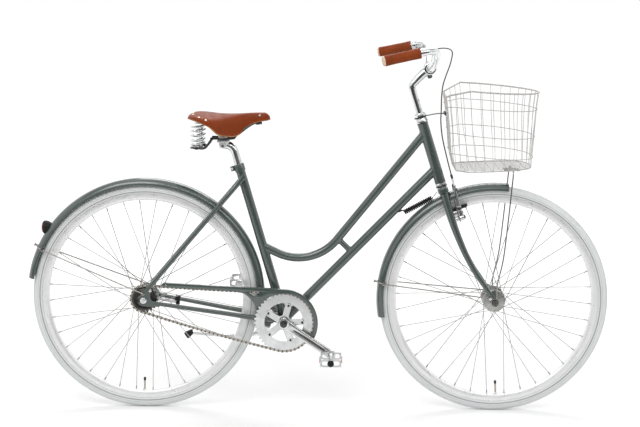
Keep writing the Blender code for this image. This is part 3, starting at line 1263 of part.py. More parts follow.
def build_saddle():
    length = SADDLE_NOSE_X - SADDLE_REAR_X
    stations = [0.0, 0.05, 0.14, 0.25, 0.36, 0.47, 0.58, 0.70, 0.82, 0.93, 1.0]
    across = 9
    bm = bmesh.new()
    rows = []
    for t in stations:
        half, top, low = saddle_half_width(t), saddle_top_z(t), saddle_low_z(t)
        row = []
        for k in range(across):
            turn = math.pi / 2 * (2 * k / (across - 1) - 1)
            y = half * math.copysign(abs(math.sin(turn)) ** 0.80, turn)
            z = low + (top - low) * abs(math.cos(turn)) ** 0.55
            row.append(bm.verts.new(on_post(SADDLE_REAR_X + length * t, z, y)))
        rows.append(row)
    for near, far in zip(rows, rows[1:]):
        for k in range(across - 1):
            bm.faces.new((near[k], far[k], far[k + 1], near[k + 1]))
    mesh = bpy.data.meshes.new("saddle_top")
    bm.to_mesh(mesh)
    bm.free()
    top = place(bpy.data.objects.new("saddle_top", mesh), leather())
    wall = top.modifiers.new("hide", "SOLIDIFY")
    wall.thickness = LEATHER_T
    wall.offset = -1.0
    top = as_mesh(top)
    cantle = box("cantle_plate", None, on_post(-0.2560, 0.8885), (0.040, 0.130, 0.024))
    nose = box("nose_bracket", None, on_post(-0.0800, 0.8950), (0.020, 0.020, 0.020))
    fuse(top, cantle, nose)

    clamp_x = post_path()[-1].x + 0.010 - on_post(0, 0).x
    half = 0.022
    line = [on_post(-0.0780, 0.8812, 0.004), on_post(-0.0920, 0.8725, 0.010), on_post(-0.1150, 0.8560, half),
            on_post(-0.1400, 0.8400, half), on_post(clamp_x + 0.030, RAIL_Z, half),
            on_post(clamp_x - 0.030, RAIL_Z, half),
            on_post(-0.2190, 0.8300, 0.026), on_post(-0.2380, 0.8065, 0.034), on_post(-0.2600, 0.8065, 0.044),
            on_post(-0.2760, 0.8065, 0.030)]
    path = line + [Vector((p.x, -p.y, p.z)) for p in reversed(line)]
    rails = as_mesh(tube("saddle_rails", black_steel(), path, RAIL_R, 6, cyclic=True))
    seats = [rod("spring_seat", None, on_post(-0.2620, 0.8065, y), on_post(-0.2620, 0.8103, y), 0.0190, 10)
             for y in (0.045, -0.045)]
    fuse(rails, *seats)

    foot, head = 0.8103 + GAP + COIL_WIRE_R, 0.8765 + GAP - COIL_WIRE_R
    turns, per_turn = 4.5, 6
    count = int(turns * per_turn)
    for side, y in (("left", 0.045), ("right", -0.045)):
        coil = []
        for i in range(count + 1):
            turn = math.tau * i / per_turn
            coil.append(on_post(-0.2620 + COIL_R * math.cos(turn), foot + (head - foot) * i / count,
                           y + COIL_R * math.sin(turn)))
        tube("saddle_spring_" + side, chrome(), coil, COIL_WIRE_R, 4)


# Basket and kickstand

def basket_half(ring):
    """Left half of one basket ring: the corner of the back, the shoulder, and round to the front's middle.

    From its widest place the ring is a superellipse to the front.
    """
    back_z, shoulder_z, front_z, back_x, back_w, shoulder_x, shoulder_w, wide_x, wide_w, tip_x, square = ring
    half = [fore(back_x, back_z, back_w), fore(shoulder_x, shoulder_z, shoulder_w)]
    for degrees in (4, 30, 52, 72):
        turn = math.radians(degrees)
        x = wide_x + (tip_x - wide_x) * math.sin(turn) ** (2 / square)
        z = shoulder_z + (front_z - shoulder_z) * (x - shoulder_x) / (tip_x - shoulder_x)
        half.append(fore(x, z, wide_w * math.cos(turn) ** (2 / square)))
    return half


def build_basket():
    """Basket of welded wire: a coarse cage whose edges become the wires."""
    bm = bmesh.new()
    rings = []
    for ring in BASKET_RINGS:
        half = basket_half(ring)
        other = [Vector((p.x, -p.y, p.z)) for p in reversed(half)]
        loop = [fore(ring[3], ring[0])] + half + [fore(ring[9], ring[2])] + other
        rings.append([bm.verts.new(p) for p in loop])
    count = len(rings[0])
    for low, high in zip(rings, rings[1:]):
        for i in range(count):
            j = (i + 1) % count
            bm.faces.new((low[i], low[j], high[j], high[i]))
    floor = rings[0]
    front = floor[count // 2]
    columns = [[floor[1], floor[0], floor[-1]]]
    for i in range(2, count // 2):
        left, right = floor[i], floor[-i]
        columns.append([left, bm.verts.new((left.co + right.co) / 2), right])
    for first, second in zip(columns, columns[1:]):
        for k in range(2):
            bm.faces.new((first[k], first[k + 1], second[k + 1], second[k]))
    last = columns[-1]
    bm.faces.new((last[0], last[1], front))
    bm.faces.new((last[1], last[2], front))
    bmesh.ops.recalc_face_normals(bm, faces=bm.faces)
    mesh = bpy.data.meshes.new("basket")
    bm.to_mesh(mesh)
    bm.free()
    basket = place(bpy.data.objects.new("basket", mesh), chrome())
    wires = basket.modifiers.new("wires", "WIREFRAME")
    wires.thickness = BASKET_WIRE
    wires.use_boundary = True
    wires.use_replace = True
    wires.use_even_offset = True
    wires.offset = 0.0

    ring_low = HEAD_TUBE_LOW + HEAD_TUBE_L + UPPER_CUP_H + 2 * GAP
    washer = sleeve("basket_bracket", chrome(), steer(ring_low), steer(ring_low + 0.0030), 0.0195,
                    STEERER_R + GAP, 16)
    arm_start = steer(ring_low + 0.0015, 0.0186)
    low_ring, high_ring = BASKET_RINGS[2], BASKET_RINGS[3]
    back_slope = (fore(high_ring[3], high_ring[0]) - fore(low_ring[3], low_ring[0])).normalized()
    away = Vector((back_slope.z, 0, -back_slope.x))
    on_back = fore(high_ring[3], high_ring[0]) - back_slope * 0.026 - away * (BASKET_WIRE / 2 + 0.0012 + GAP)
    arm_middle = arm_start.lerp(on_back, 0.5) + Vector((0, 0, 0.001))
    arm = tube("bracket_arm", None, [arm_start, arm_middle, on_back], 0.0032, 6)
    flat = box("bracket_plate", None, on_back, (0.0020, 0.056, 0.056),
               axis_frame(Vector(), back_slope, away))
    fuse(washer, arm, flat)

    eye_y = FRONT_DROPOUT_IN + DROPOUT_T + GAP + 0.0010
    top_z = 0.7524 - BASKET_WIRE / 2 - GAP - 0.0025
    right = [FRONT_HUB + Vector((0.004, -eye_y - 0.0030, 0.0105)), fore(0.6570, 0.480, -0.0590),
             fore(0.6810, 0.7180, -0.0560), fore(0.6830, top_z - 0.006, -0.0500), fore(0.6835, top_z, -0.0430)]
    path = right + [Vector((p.x, -p.y, p.z)) for p in reversed(right)]
    stay = as_mesh(tube("basket_stay", chrome(), path, 0.0025, 6))
    eyes = [sleeve("stay_eye", None, FRONT_HUB + LEFT * y * (eye_y - 0.0010),
                   FRONT_HUB + LEFT * y * (eye_y + 0.0010), 0.0130, AXLE_R + 2 * RUNNING, 8) for y in (1, -1)]
    fuse(stay, *eyes)


def kick_pivot():
    return BB + Vector((-0.058, 0.037, -0.037))


def build_kickstand():
    pivot = kick_pivot()
    pin = KICK_AXIS
    mount = box("kickstand_bracket", black_steel(), BB + Vector((-0.0500, 0, -0.0050)), (0.036, 0.075, 0.009))
    web_top = ((-0.064, 0.002), (-0.036, 0.002), (-0.036, 0.030), (-0.064, 0.030))
    web_low = ((-0.010, -0.025, -0.004), (0.010, -0.025, -0.004), (0.010, -0.013, 0.004),
               (-0.010, -0.013, 0.004))
    web = loft("bracket_web", None, [[BB + Vector((x, y, -0.007)) for x, y in web_top],
                                     [pivot + Vector(p) for p in web_low]])
    knuckle = rod("bracket_knuckle", None, pivot + pin * 0.0230, pivot + pin * 0.0062, 0.0110, 12)
    mount = fuse(mount, web, knuckle)
    cut(mount, chainstay_tube("bracket_seat_right", None, -1, GAP),
        chainstay_tube("bracket_seat_left", None, 1, GAP))
    line = [pivot - pin * 0.0012, pivot + Vector((-0.022, 0.008, -0.016)),
            pivot + Vector((-0.055, 0.009, -0.027)), pivot + Vector((-0.127, 0.009, -0.028)),
            pivot + Vector((-0.239, 0.024, -0.024))]
    leg = as_mesh(tube("kickstand", alloy(), line, 0.0065, 8))
    eye = rod("stand_eye", None, pivot + pin * 0.0058, pivot - pin * 0.0070, 0.0105, 12)
    shoe = box("stand_shoe", None, line[-1] + Vector((0.008, 0, -0.0005)), (0.036, 0.018, 0.017))
    fuse(leg, eye, shoe)


# Joints

def hang_on(axis_point, axis, nodes, name, carrier=None):
    """An empty on a joint's axis, with its +Z along it, that carries the pieces that move about it."""
    joint = bpy.data.objects.new(name, None)
    PARTS.objects.link(joint)
    joint.empty_display_size = 0.05
    placed = axis_frame(axis_point, axis)
    joint.matrix_world = placed
    for node in nodes:
        piece = bpy.data.objects[node]
        piece.parent = joint
        piece.matrix_parent_inverse = placed.inverted()
    if carrier:
        joint.parent = carrier
        joint.matrix_parent_inverse = carrier.matrix_world.inverted()
    return joint


def build_joints():
    """Every moving piece hangs from an empty on its joint's axis."""
    steering = hang_on(STEER_FOOT, STEER_UP, [
        "fork_crown", "fork_blade_left", "fork_blade_right", "front_axle", "headset_locknut", "stem",
        "handlebar", "grip_left", "grip_right", "brake_lever_bracket", "front_brake_cable", "front_fender",
        "front_fender_stay", "basket", "basket_bracket", "basket_stay"], "steering_axis")
    bpy.context.view_layer.update()
    hang_on(FRONT_HUB, LEFT, ["front_tyre", "front_inner_tube", "front_rim", "front_hub_spokes"],
            "front_wheel_axis", steering)
    hang_on(lever_pivot(), LEFT, ["brake_lever"], "lever_axis", steering)
    for side, y in (("right", -1), ("left", 1)):
        hang_on(steer(BRAKE_PIVOT_S, 0.0, y * BRAKE_PIVOT_Y), STEER_FWD, ["brake_arm_" + side],
                "brake_axis_" + side, steering)
    hang_on(REAR_HUB, LEFT, ["rear_tyre", "rear_inner_tube", "rear_rim", "rear_hub_spokes"],
            "rear_wheel_axis")
    hang_on(REAR_HUB, LEFT, ["rear_sprocket"], "sprocket_axis")
    crank_axis = hang_on(BB, LEFT, ["crank_right", "crank_left", "chainring", "crank_spindle"], "crank_axis")
    bpy.context.view_layer.update()
    for side, angle in (("right", CRANK_ANGLE), ("left", CRANK_ANGLE + math.pi)):
        tip = polar(BB, CRANK_L, math.degrees(angle))
        hang_on(tip, LEFT, ["pedal_" + side], "pedal_axis_" + side, crank_axis)
    hang_on(kick_pivot(), KICK_AXIS, ["kickstand"], "kickstand_axis")
    post = hang_on(seat(SEAT_TUBE_L - POST_INSERTED), SEAT_UP, [
        "seatpost", "saddle_rails", "saddle_spring_left", "saddle_spring_right"], "seatpost_axis")
    bpy.context.view_layer.update()
    hang_on(on_post(-0.0780, 0.8812), RIGHT, ["saddle_top"], "saddle_axis", post)


def main():
    build_frame()
    build_rear_stays("right", -1)
    build_rear_stays("left", 1)
    build_rear_axle()
    build_coaster_arm()
    build_wheel("rear", REAR_HUB, REAR_TURN, 0.0230, 0.0290, 0.0445, 0.0190, 0.0370)
    build_wheel("front", FRONT_HUB, FRONT_TURN, 0.0150, 0.0300, 0.0480, 0.0100)
    build_chain()
    build_crankset()
    build_sprocket()
    build_chain_guard()
    build_fenders()
    build_taillight()
    build_fork()
    build_stem()
    build_handlebar()
    build_brake_lever()
    build_front_brake()
    build_brake_cable()
    build_steering_spring()
    build_seatpost()
    build_saddle()
    build_basket()
    build_kickstand()
    build_joints()


clear_scene()
PARTS = new_collection("step_through_bicycle")
CUTTERS = new_collection("cutters")
main()
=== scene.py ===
"""Step-through bicycle: the look of every piece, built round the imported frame.

Shapes are grids of points: a profile turned about an axis, or a section carried along a path.
"""
import math

import bpy
import numpy as np
from mathutils import Matrix


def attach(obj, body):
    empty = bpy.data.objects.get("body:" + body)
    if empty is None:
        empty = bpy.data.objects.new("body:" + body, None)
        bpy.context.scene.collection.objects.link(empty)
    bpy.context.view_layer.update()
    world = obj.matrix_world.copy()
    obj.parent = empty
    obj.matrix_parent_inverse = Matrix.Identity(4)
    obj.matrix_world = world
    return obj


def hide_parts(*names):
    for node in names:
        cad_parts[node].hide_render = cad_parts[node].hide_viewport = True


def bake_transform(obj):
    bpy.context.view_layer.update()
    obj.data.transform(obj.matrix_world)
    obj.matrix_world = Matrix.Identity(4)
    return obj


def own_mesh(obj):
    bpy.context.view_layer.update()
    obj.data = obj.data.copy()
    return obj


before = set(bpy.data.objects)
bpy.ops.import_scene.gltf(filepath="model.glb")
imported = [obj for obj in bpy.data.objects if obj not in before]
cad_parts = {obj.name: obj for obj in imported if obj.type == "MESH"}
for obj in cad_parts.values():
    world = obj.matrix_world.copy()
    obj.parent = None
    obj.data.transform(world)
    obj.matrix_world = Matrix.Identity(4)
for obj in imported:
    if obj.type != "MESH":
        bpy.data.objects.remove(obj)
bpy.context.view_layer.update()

# Places and directions, in metres

LEFT = np.array((0.0, 1.0, 0.0))
ACROSS = np.array((1.0, 0.0, 0.0))
UP = np.array((0.0, 0.0, 1.0))
BB = np.array((-0.09918, 0.0, 0.277))
REAR_HUB = np.array((-0.52239, 0.0, 0.346))
FRONT_HUB = np.array((0.53591, 0.0, 0.346))
STEER_FOOT = np.array((0.48626, 0.0, 0.33054))
HEAD_ANGLE = math.radians(72.7)
SEAT_ANGLE = math.radians(73.6)
STEER_UP = np.array((-math.cos(HEAD_ANGLE), 0.0, math.sin(HEAD_ANGLE)))
STEER_FWD = np.array((math.sin(HEAD_ANGLE), 0.0, math.cos(HEAD_ANGLE)))
WORLD = (ACROSS, LEFT, UP)
RAKED = (STEER_FWD, LEFT, STEER_UP)
SEAT_UP = np.array((-math.cos(SEAT_ANGLE), 0.0, math.sin(SEAT_ANGLE)))
SEAT_FWD = np.array((math.sin(SEAT_ANGLE), 0.0, math.cos(SEAT_ANGLE)))
WHEEL_R = 0.346
REAR_TURN = -1.5
FRONT_TURN = 2.3
CHAINLINE = -0.043
PITCH = 0.0127
RING_TEETH, COG_TEETH, LINKS = 44, 20, 100
CRANK_ANGLE = math.radians(-32.6)
CRANK_L = 0.17
CRANKS = (("right", -1, CRANK_ANGLE), ("left", 1, CRANK_ANGLE + math.pi))
SPIDER_ARMS = CRANK_ANGLE + math.radians(36) + math.radians(72) * np.arange(5)
BOLT_CIRCLE_R = 0.0555
GUARD_Y = -0.0528
AXLE_SLOT_R = 0.0051
REAR_FENDER_R, FRONT_FENDER_R = 0.364, 0.356
FENDER_DEPTH, FENDER_HALF_W, FENDER_THICK = 0.02, 0.024, 0.0012
BRAKE_BOSS_UP, BRAKE_BOSS_Y = 0.2746, 0.04
SPOKES_A_SIDE, CROSSES = 18, 3
FLANGE_R = 0.03
BASKET_UPRIGHTS = 32
SADDLE_COIL_X, SADDLE_COIL_Y = -0.262, 0.045
PHOTO_WIDTH_PX, FOCAL_PX, SHIFT_PX, SENSOR_MM = 640, 1322.95, -90.0, 36.0
SIDES = (("right", -1), ("left", 1))
FULL_TURN = math.tau
UNTURNED = np.eye(3)[None]
MIRROR = np.array((1, -1, 1))


def local(origin, first, second, a, b, y=0.0):
    """origin + first * a + second * b + left * y, for numbers or whole arrays of a, b and y."""
    a, b, y = np.broadcast_arrays(np.asarray(a, float), np.asarray(b, float), np.asarray(y, float))
    return origin + a[..., None] * first + b[..., None] * second + y[..., None] * LEFT


def steer(s, n=0.0, y=0.0):
    """Point s up the steering axis, n ahead of it and y to the left."""
    return local(STEER_FOOT, STEER_UP, STEER_FWD, s, n, y)


def seat(s, n=0.0, y=0.0):
    """Point s up the seat tube's axis, n ahead of it and y to the left."""
    return local(BB, SEAT_UP, SEAT_FWD, s, n, y)


def at(x, z, y=0.0):
    """Point at x ahead of the bottom bracket, z above the floor and y to the left."""
    return local(np.array((BB[0], 0.0, 0.0)), ACROSS, UP, x, z, y)


def polar(centre, radius, degrees, y=0.0):
    """Point at a radius and an angle about a centre, in the upright plane of the wheels."""
    turn = np.radians(degrees)
    radius = np.asarray(radius, float)
    return local(centre, ACROSS, UP, radius * np.cos(turn), radius * np.sin(turn), y)


def ray(degrees):
    """Direction at an angle in the upright plane of the wheels."""
    return polar(np.zeros(3), 1.0, degrees)


def mm(*values, columns=2):
    """Rows of numbers given in millimetres: radius and height, x and z, or three of a point."""
    return np.reshape(values, (-1, columns)) / 1000


def unit(v):
    """Vectors divided by their lengths."""
    v = np.asarray(v, float)
    return v / np.linalg.norm(v, axis=-1, keepdims=True)


# Surfaces

def outward(verts, faces):
    """Turns every face over when the volume they enclose comes out negative."""
    total = 0.0
    for block in faces:
        first = verts[block[:, 0]]
        for k in range(1, block.shape[1] - 1):
            total += np.einsum("ij,ij->", first, np.cross(verts[block[:, k]], verts[block[:, k + 1]]))
    return (verts, [block[:, ::-1] for block in faces]) if total < 0 else (verts, faces)


def skin(grid, around=True, along=False, ends="fan"):
    """Quads over a grid of points, rows along the shape and columns round it.

    An end is closed by a fan to its middle, or, for a thin wall, by a strip between its two halves.
    """
    grid = np.asarray(grid, float)
    rows, cols = grid.shape[:2]
    verts = grid.reshape(-1, 3)
    i = np.arange(rows if along else rows - 1)[:, None]
    j = np.arange(cols if around else cols - 1)[None, :]
    i2, j2 = (i + 1) % rows, (j + 1) % cols
    faces = [np.stack([i * cols + j, i * cols + j2, i2 * cols + j2, i2 * cols + j], -1).reshape(-1, 4)]
    if not along and ends:
        last = (rows - 1) * cols
        if ends == "fan":
            ring = np.arange(cols)
            after = (ring + 1) % cols
            low, high = len(verts), len(verts) + 1
            middles = np.stack([grid[0].mean(axis=0), grid[-1].mean(axis=0)])
            verts = np.vstack([verts, middles])
            faces.append(np.stack([after, ring, np.full(cols, low)], -1))
            faces.append(np.stack([last + ring, last + after, np.full(cols, high)], -1))
        else:
            k = np.arange(cols // 2 - 1)
            faces.append(np.stack([k + 1, k, cols - 1 - k, cols - 2 - k], -1))
            faces.append(last + np.stack([k, k + 1, cols - 2 - k, cols - 1 - k], -1))
    return outward(verts, faces)


def join(*shapes):
    """One shape out of several, each kept closed on its own."""
    verts, faces, count = [], [], 0
    for points, blocks in shapes:
        verts.append(points)
        faces += [block + count for block in blocks]
        count += len(points)
    return np.vstack(verts), faces


def repeat(shape, turns, moves):
    """Copies of a shape, each turned by its matrix and then moved: point = turn @ point + move."""
    verts, faces = shape
    turns, moves = np.asarray(turns, float), np.asarray(moves, float)
    count = max(len(turns), len(moves))
    turns = np.broadcast_to(turns, (count, 3, 3))
    placed = np.einsum("kij,nj->kni", turns, verts) + moves[:, None, :]
    shift = (np.arange(count) * len(verts))[:, None, None]
    return placed.reshape(-1, 3), [(block[None] + shift).reshape(-1, block.shape[1]) for block in faces]


def evenly(count):
    """Angles evenly spaced round a full turn."""
    return np.linspace(0, FULL_TURN, count, endpoint=False)


def flat_polar(radius, turn):
    """Flat points at radii and angles, in radians."""
    return np.column_stack([radius * np.cos(turn), radius * np.sin(turn)])


def circle(count, radius=1.0):
    """Points (cos, sin) times a radius, evenly round."""
    return flat_polar(radius, evenly(count))


def rounded(half_a, half_b, count=24, square=3.0):
    """Superellipse: |x / a| ** p + |y / b| ** p = 1, squarer as p grows."""
    turn = evenly(count)
    c, s = np.cos(turn), np.sin(turn)
    return np.column_stack([half_a * np.sign(c) * np.abs(c) ** (2 / square),
        half_b * np.sign(s) * np.abs(s) ** (2 / square)])


def basis(axis, towards=None):
    """Three directions at right angles: two across the axis, the first near towards, and the axis."""
    axis = unit(axis)
    if towards is None:
        towards = ACROSS if abs(axis[0]) < 0.8 else UP
    first = unit(towards - axis * np.dot(towards, axis))
    return first, np.cross(axis, first), axis


def revolve(profile, centre, axis, steps=48, arc=None, closed=False, towards=None, ends="strip"):
    """Profile of (radius, height) turned about an axis: centre + r (cos, sin) across + h along.

    A closed profile makes a ring. With an arc, in degrees, the section sweeps only that far.
    """
    first, second, axis = basis(axis, towards)
    profile = np.asarray(profile, float)
    turn = evenly(steps) if arc is None else np.radians(np.linspace(arc[0], arc[1], steps))
    spoke = np.cos(turn)[:, None] * first + np.sin(turn)[:, None] * second
    grid = centre + profile[:, None, :1] * spoke[None] + profile[:, None, 1:] * axis
    if arc is not None:
        return skin(grid.transpose(1, 0, 2), ends=ends)
    return skin(grid, along=closed)


def spline(points, count, closed=False):
    """Catmull-Rom curve through the points, read at equal steps of its parameter."""
    p = np.asarray(points, float)
    if closed:
        p = np.vstack([p[-1:], p, p[:2]])
    else:
        p = np.vstack([2 * p[:1] - p[1:2], p, 2 * p[-1:] - p[-2:-1]])
    spans = len(p) - 3
    u = np.linspace(0, spans, count, endpoint=not closed)
    k = np.minimum(u.astype(int), spans - 1)
    t = (u - k)[:, None]
    a, b, c, d = p[k], p[k + 1], p[k + 2], p[k + 3]
    return 0.5 * (2 * b + (c - a) * t + (2 * a - 5 * b + 4 * c - d) * t ** 2
        + (3 * b - a - 3 * c + d) * t ** 3)


def even(points, count, closed=False):
    """The same line read at equal lengths."""
    p = np.vstack([points, points[:1]]) if closed else np.asarray(points, float)
    run = np.concatenate([[0], np.cumsum(np.linalg.norm(np.diff(p, axis=0), axis=1))])
    where = np.linspace(0, run[-1], count, endpoint=not closed)
    return np.stack([np.interp(where, run, p[:, k]) for k in range(p.shape[1])], -1)


def directions(path, closed=False):
    """Unit directions along a path, from each point's two neighbours."""
    if closed:
        return unit(np.roll(path, -1, axis=0) - np.roll(path, 1, axis=0))
    return unit(np.gradient(path, axis=0))


def reference(way):
    """The world axis that the path leans on least, so that it never lines up with the path."""
    return np.eye(3)[np.argmin(np.abs(way).max(axis=0))]


def sweep_grid(path, loop, towards=None, closed=False):
    """Section carried along a path: path + side * x + lift * y, side = way x towards."""
    path = np.asarray(path, float)
    way = directions(path, closed)
    towards = reference(way) if towards is None else np.asarray(towards, float)
    side = unit(np.cross(way, towards))
    lift = np.cross(side, way)
    loop = np.broadcast_to(loop, (len(path),) + np.shape(loop)[-2:])
    return path[:, None] + side[:, None] * loop[..., :1] + lift[:, None] * loop[..., 1:]


def sweep(path, loop, towards=None, closed=False, ends="fan"):
    """Section carried along a path and closed into a skin."""
    return skin(sweep_grid(path, loop, towards, closed), along=closed, ends=ends)


def scaled(loop, wide, deep):
    """One loop for each place of a path, stretched to a width and a depth there."""
    return np.stack([wide[:, None] * loop[:, 0], deep[:, None] * loop[:, 1]], -1)


def tube(path, radius, sides=20, towards=None, closed=False):
    """Round section carried along a path, with one radius or one for each point."""
    radius = np.broadcast_to(np.asarray(radius, float), (len(path),))
    return sweep(path, circle(sides)[None] * radius[:, None, None], towards, closed)


def on_steerer(profile, steps):
    """Profile turned about the steering axis, its heights read up from the axis's foot."""
    return revolve(profile, STEER_FOOT, STEER_UP, steps)


def mitre(points, way, centre, axis, radius):
    """Moves points along a direction onto a cylinder: the nearer root of |q + w k| = radius."""
    q = points - centre
    q = q - (q @ axis)[:, None] * axis
    w = way - np.dot(way, axis) * axis
    a, b, c = w @ w, q @ w, np.einsum("ij,ij->i", q, q) - radius ** 2
    k = (-b - np.sqrt(np.maximum(b * b - a * c, 0.0))) / a
    return points + k[:, None] * way


def mitred(path, radius, sides, start=None, end=None, towards=None):
    """Tube whose ends are cut to lie on the round tubes that they meet, with a fillet bead at each.

    start and end are (centre, axis, radius) of the tube met there.
    """
    radius = np.broadcast_to(np.asarray(radius, float), (len(path),))
    grid = sweep_grid(path, circle(sides)[None] * radius[:, None, None], towards)
    way = directions(np.asarray(path, float))
    beads = []
    for row, met, along in ((0, start, -way[0]), (-1, end, way[-1])):
        if met is None:
            continue
        centre, axis, met_r = met
        grid[row] = mitre(grid[row], along, centre, axis, met_r - 0.0006)
        ring = mitre(grid[row] - along * 0.03, along, centre, axis, met_r)
        beads.append(tube(ring, 0.0021, 8, towards=along, closed=True))
    return join(skin(grid), *beads)


def block(centre, size, axes=None, bevel=0.001, square=9.0, count=40):
    """Rounded box: a nearly square section, its two ends drawn in by the bevel."""
    first, second, third = np.eye(3) if axes is None else axes
    half = np.asarray(size, float) / 2
    steps = np.array((-half[2], -half[2] + bevel, half[2] - bevel, half[2]))
    shrink = np.array((1, 0, 0, 1)) * bevel
    loops = np.stack([rounded(half[0] - s, half[1] - s, count, square) for s in shrink])
    grid = centre + loops[..., :1] * first + loops[..., 1:] * second + steps[:, None, None] * third
    return skin(grid)


def inset(outline, distance):
    """Outline moved inwards: each point goes along the mean of its two edges' normals."""
    ahead = unit(np.roll(outline, -1, axis=0) - outline)
    behind = np.roll(ahead, 1, axis=0)
    area = np.sum(outline[:, 0] * np.roll(outline[:, 1], -1) - outline[:, 1] * np.roll(outline[:, 0], -1))
    turn = np.array((-1.0, 1.0)) * np.sign(area)
    normal = unit(ahead + behind)[:, ::-1] * turn
    return outline + normal * distance


def plate(outline, thick, origin, first, second, bevel=0.0004, inner=None):
    """Flat piece with soft edges: its outline at four heights, and an inner outline when it has a hole.

    The inner outline has as many points as the outer one.
    """
    outline = np.asarray(outline, float)
    third = np.cross(first, second)
    h = thick / 2
    loops = [(inset(outline, bevel), -h), (outline, -h + bevel), (outline, h - bevel),
        (inset(outline, bevel), h)]
    if inner is not None:
        inner = np.asarray(inner, float)
        wide = inset(inner, -bevel)
        loops += [(wide, h), (inner, h - bevel), (inner, -h + bevel), (wide, -h)]
    grid = np.stack([origin + flat[:, :1] * first + flat[:, 1:] * second + third * level
        for flat, level in loops])
    if inner is not None:
        return skin(grid, along=True)
    rows, cols = grid.shape[:2]
    verts, faces = grid.reshape(-1, 3), skin(grid, ends=None)[1]
    if not np.array_equal(faces[0][0, :2], (0, 1)):
        faces = [block[:, ::-1] for block in faces]
    ring = np.arange(cols)
    faces = faces + [ring[None, ::-1], (rows - 1) * cols + ring[None]]
    return outward(verts, faces)


def bolt(centre, axis, radius=0.005, height=0.004, washer=0.0):
    """Six-sided head with a turned chamfer on top and, when asked, a washer under it."""
    head = revolve([(radius, 0), (radius, height * 0.8), (radius * 0.86, height)], centre, axis, 6)
    dimple = revolve([(radius * 0.55, height * 0.9), (radius * 0.5, height * 1.12)], centre, axis, 16)
    if not washer:
        return join(head, dimple)
    ring = revolve([(radius + washer, -0.0002), (radius + washer, 0.0008), (radius * 0.8, 0.001)], centre,
        axis, 24)
    return join(head, dimple, ring)


def dome(centre, axis, radius, height, steps=24):
    """Domed head: radius cos t, height sin t."""
    t = np.linspace(0, math.pi / 2 * 0.96, 7)
    profile = np.column_stack([radius * np.cos(t), height * np.sin(t)])
    return revolve(np.vstack([(radius, -0.001), profile]), centre, axis, steps)


def piece(name, body, finish, *shapes, stands_for=None, slot=None, smooth=35, skin_map=None):
    """Makes one object of the shapes, smooth apart from its sharp edges, that rides on a body.

    With no body it is left unattached. Its slot argument is not used.
    """
    verts, blocks = join(*shapes)
    faces = [face for group in blocks for face in group.tolist()]
    mesh = bpy.data.meshes.new(name)
    mesh.from_pydata(verts.tolist(), [], faces)
    if skin_map is not None:
        layer = mesh.attributes.new("skin", "FLOAT_VECTOR", "POINT")
        layer.data.foreach_set("vector", np.asarray(skin_map, np.float32).ravel())
    mesh.update()
    mesh.shade_smooth()
    mesh.set_sharp_from_angle(angle=math.radians(smooth))
    mesh.materials.append(finish)
    obj = bpy.data.objects.new(name, mesh)
    bpy.context.scene.collection.objects.link(obj)
    if body is not None:
        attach(obj, body)
    if stands_for:
        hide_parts(stands_for)
    return obj


# Shared effects, each a node group placed in the materials with its own values

def effect(name, inputs, outputs):
    """An empty node group, the values that are given to it and the sockets that it gives out."""
    tree = bpy.data.node_groups.new(name, "ShaderNodeTree")
    for kind, label, value in inputs:
        socket = tree.interface.new_socket(label, in_out="INPUT", socket_type="NodeSocket" + kind)
        if value is not None:
            socket.default_value = value
    for kind, label in outputs:
        tree.interface.new_socket(label, in_out="OUTPUT", socket_type="NodeSocket" + kind)
    return tree, tree.nodes.new("NodeGroupInput").outputs, tree.nodes.new("NodeGroupOutput").inputs


def put(tree, kind, links=None, **values):
    """A node with its settings and its inputs: a socket is linked and anything else is set."""
    made = tree.nodes.new(kind)
    for key, value in values.items():
        setattr(made, key, value)
    for key, value in (links or {}).items():
        if isinstance(value, bpy.types.NodeSocket):
            tree.links.new(value, made.inputs[key])
        else:
            made.inputs[key].default_value = value
    return made


def maths(tree, operation, a, b=0.0, c=0.0):
    """The operation on up to three numbers or sockets."""
    return put(tree, "ShaderNodeMath", {0: a, 1: b, 2: c}, operation=operation).outputs[0]


def product(tree, a, b):
    """a times b."""
    return maths(tree, "MULTIPLY", a, b)


def blend(tree, factor, a, b):
    """Colour a turned into colour b by a factor from 0 to 1."""
    return put(tree, "ShaderNodeMix", {0: factor, 6: a, 7: b}, data_type="RGBA").outputs[2]


def ramp(tree, value, low, high, to_low=0.0, to_high=1.0):
    """A value carried in a straight line from one span to another, and held at its ends."""
    made = put(tree, "ShaderNodeMapRange", {"Value": value, "From Min": low, "From Max": high,
        "To Min": to_low, "To Max": to_high}, clamp=True)
    return made.outputs["Result"]


def noise(tree, place, scale, detail, **more):
    """Noise at a place, about 0 to 1."""
    values = {"Vector": place, "Scale": scale, "Detail": detail, **more}
    return put(tree, "ShaderNodeTexNoise", values).outputs["Fac"]


def cloudy_tone():
    """Slow drift between two tones of one colour, from two sizes of noise."""
    tree, given, out = effect("cloudy_tone", [("Vector", "Place", None), ("Color", "Colour", None),
        ("Color", "Deep", None), ("Float", "Scale", 12.0), ("Float", "Amount", 0.5)],
        [("Color", "Colour"), ("Float", "Mask")])
    wide = noise(tree, given["Place"], given["Scale"], 3.0, Roughness=0.6)
    close = noise(tree, given["Place"], product(tree, given["Scale"], 9.0), 2.0)
    both = maths(tree, "MULTIPLY_ADD", close, 0.35, product(tree, wide, 0.65))
    mask = ramp(tree, both, 0.36, 0.64)
    amount = product(tree, mask, given["Amount"])
    tree.links.new(blend(tree, amount, given["Colour"], given["Deep"]), out["Colour"])
    tree.links.new(mask, out["Mask"])
    return tree


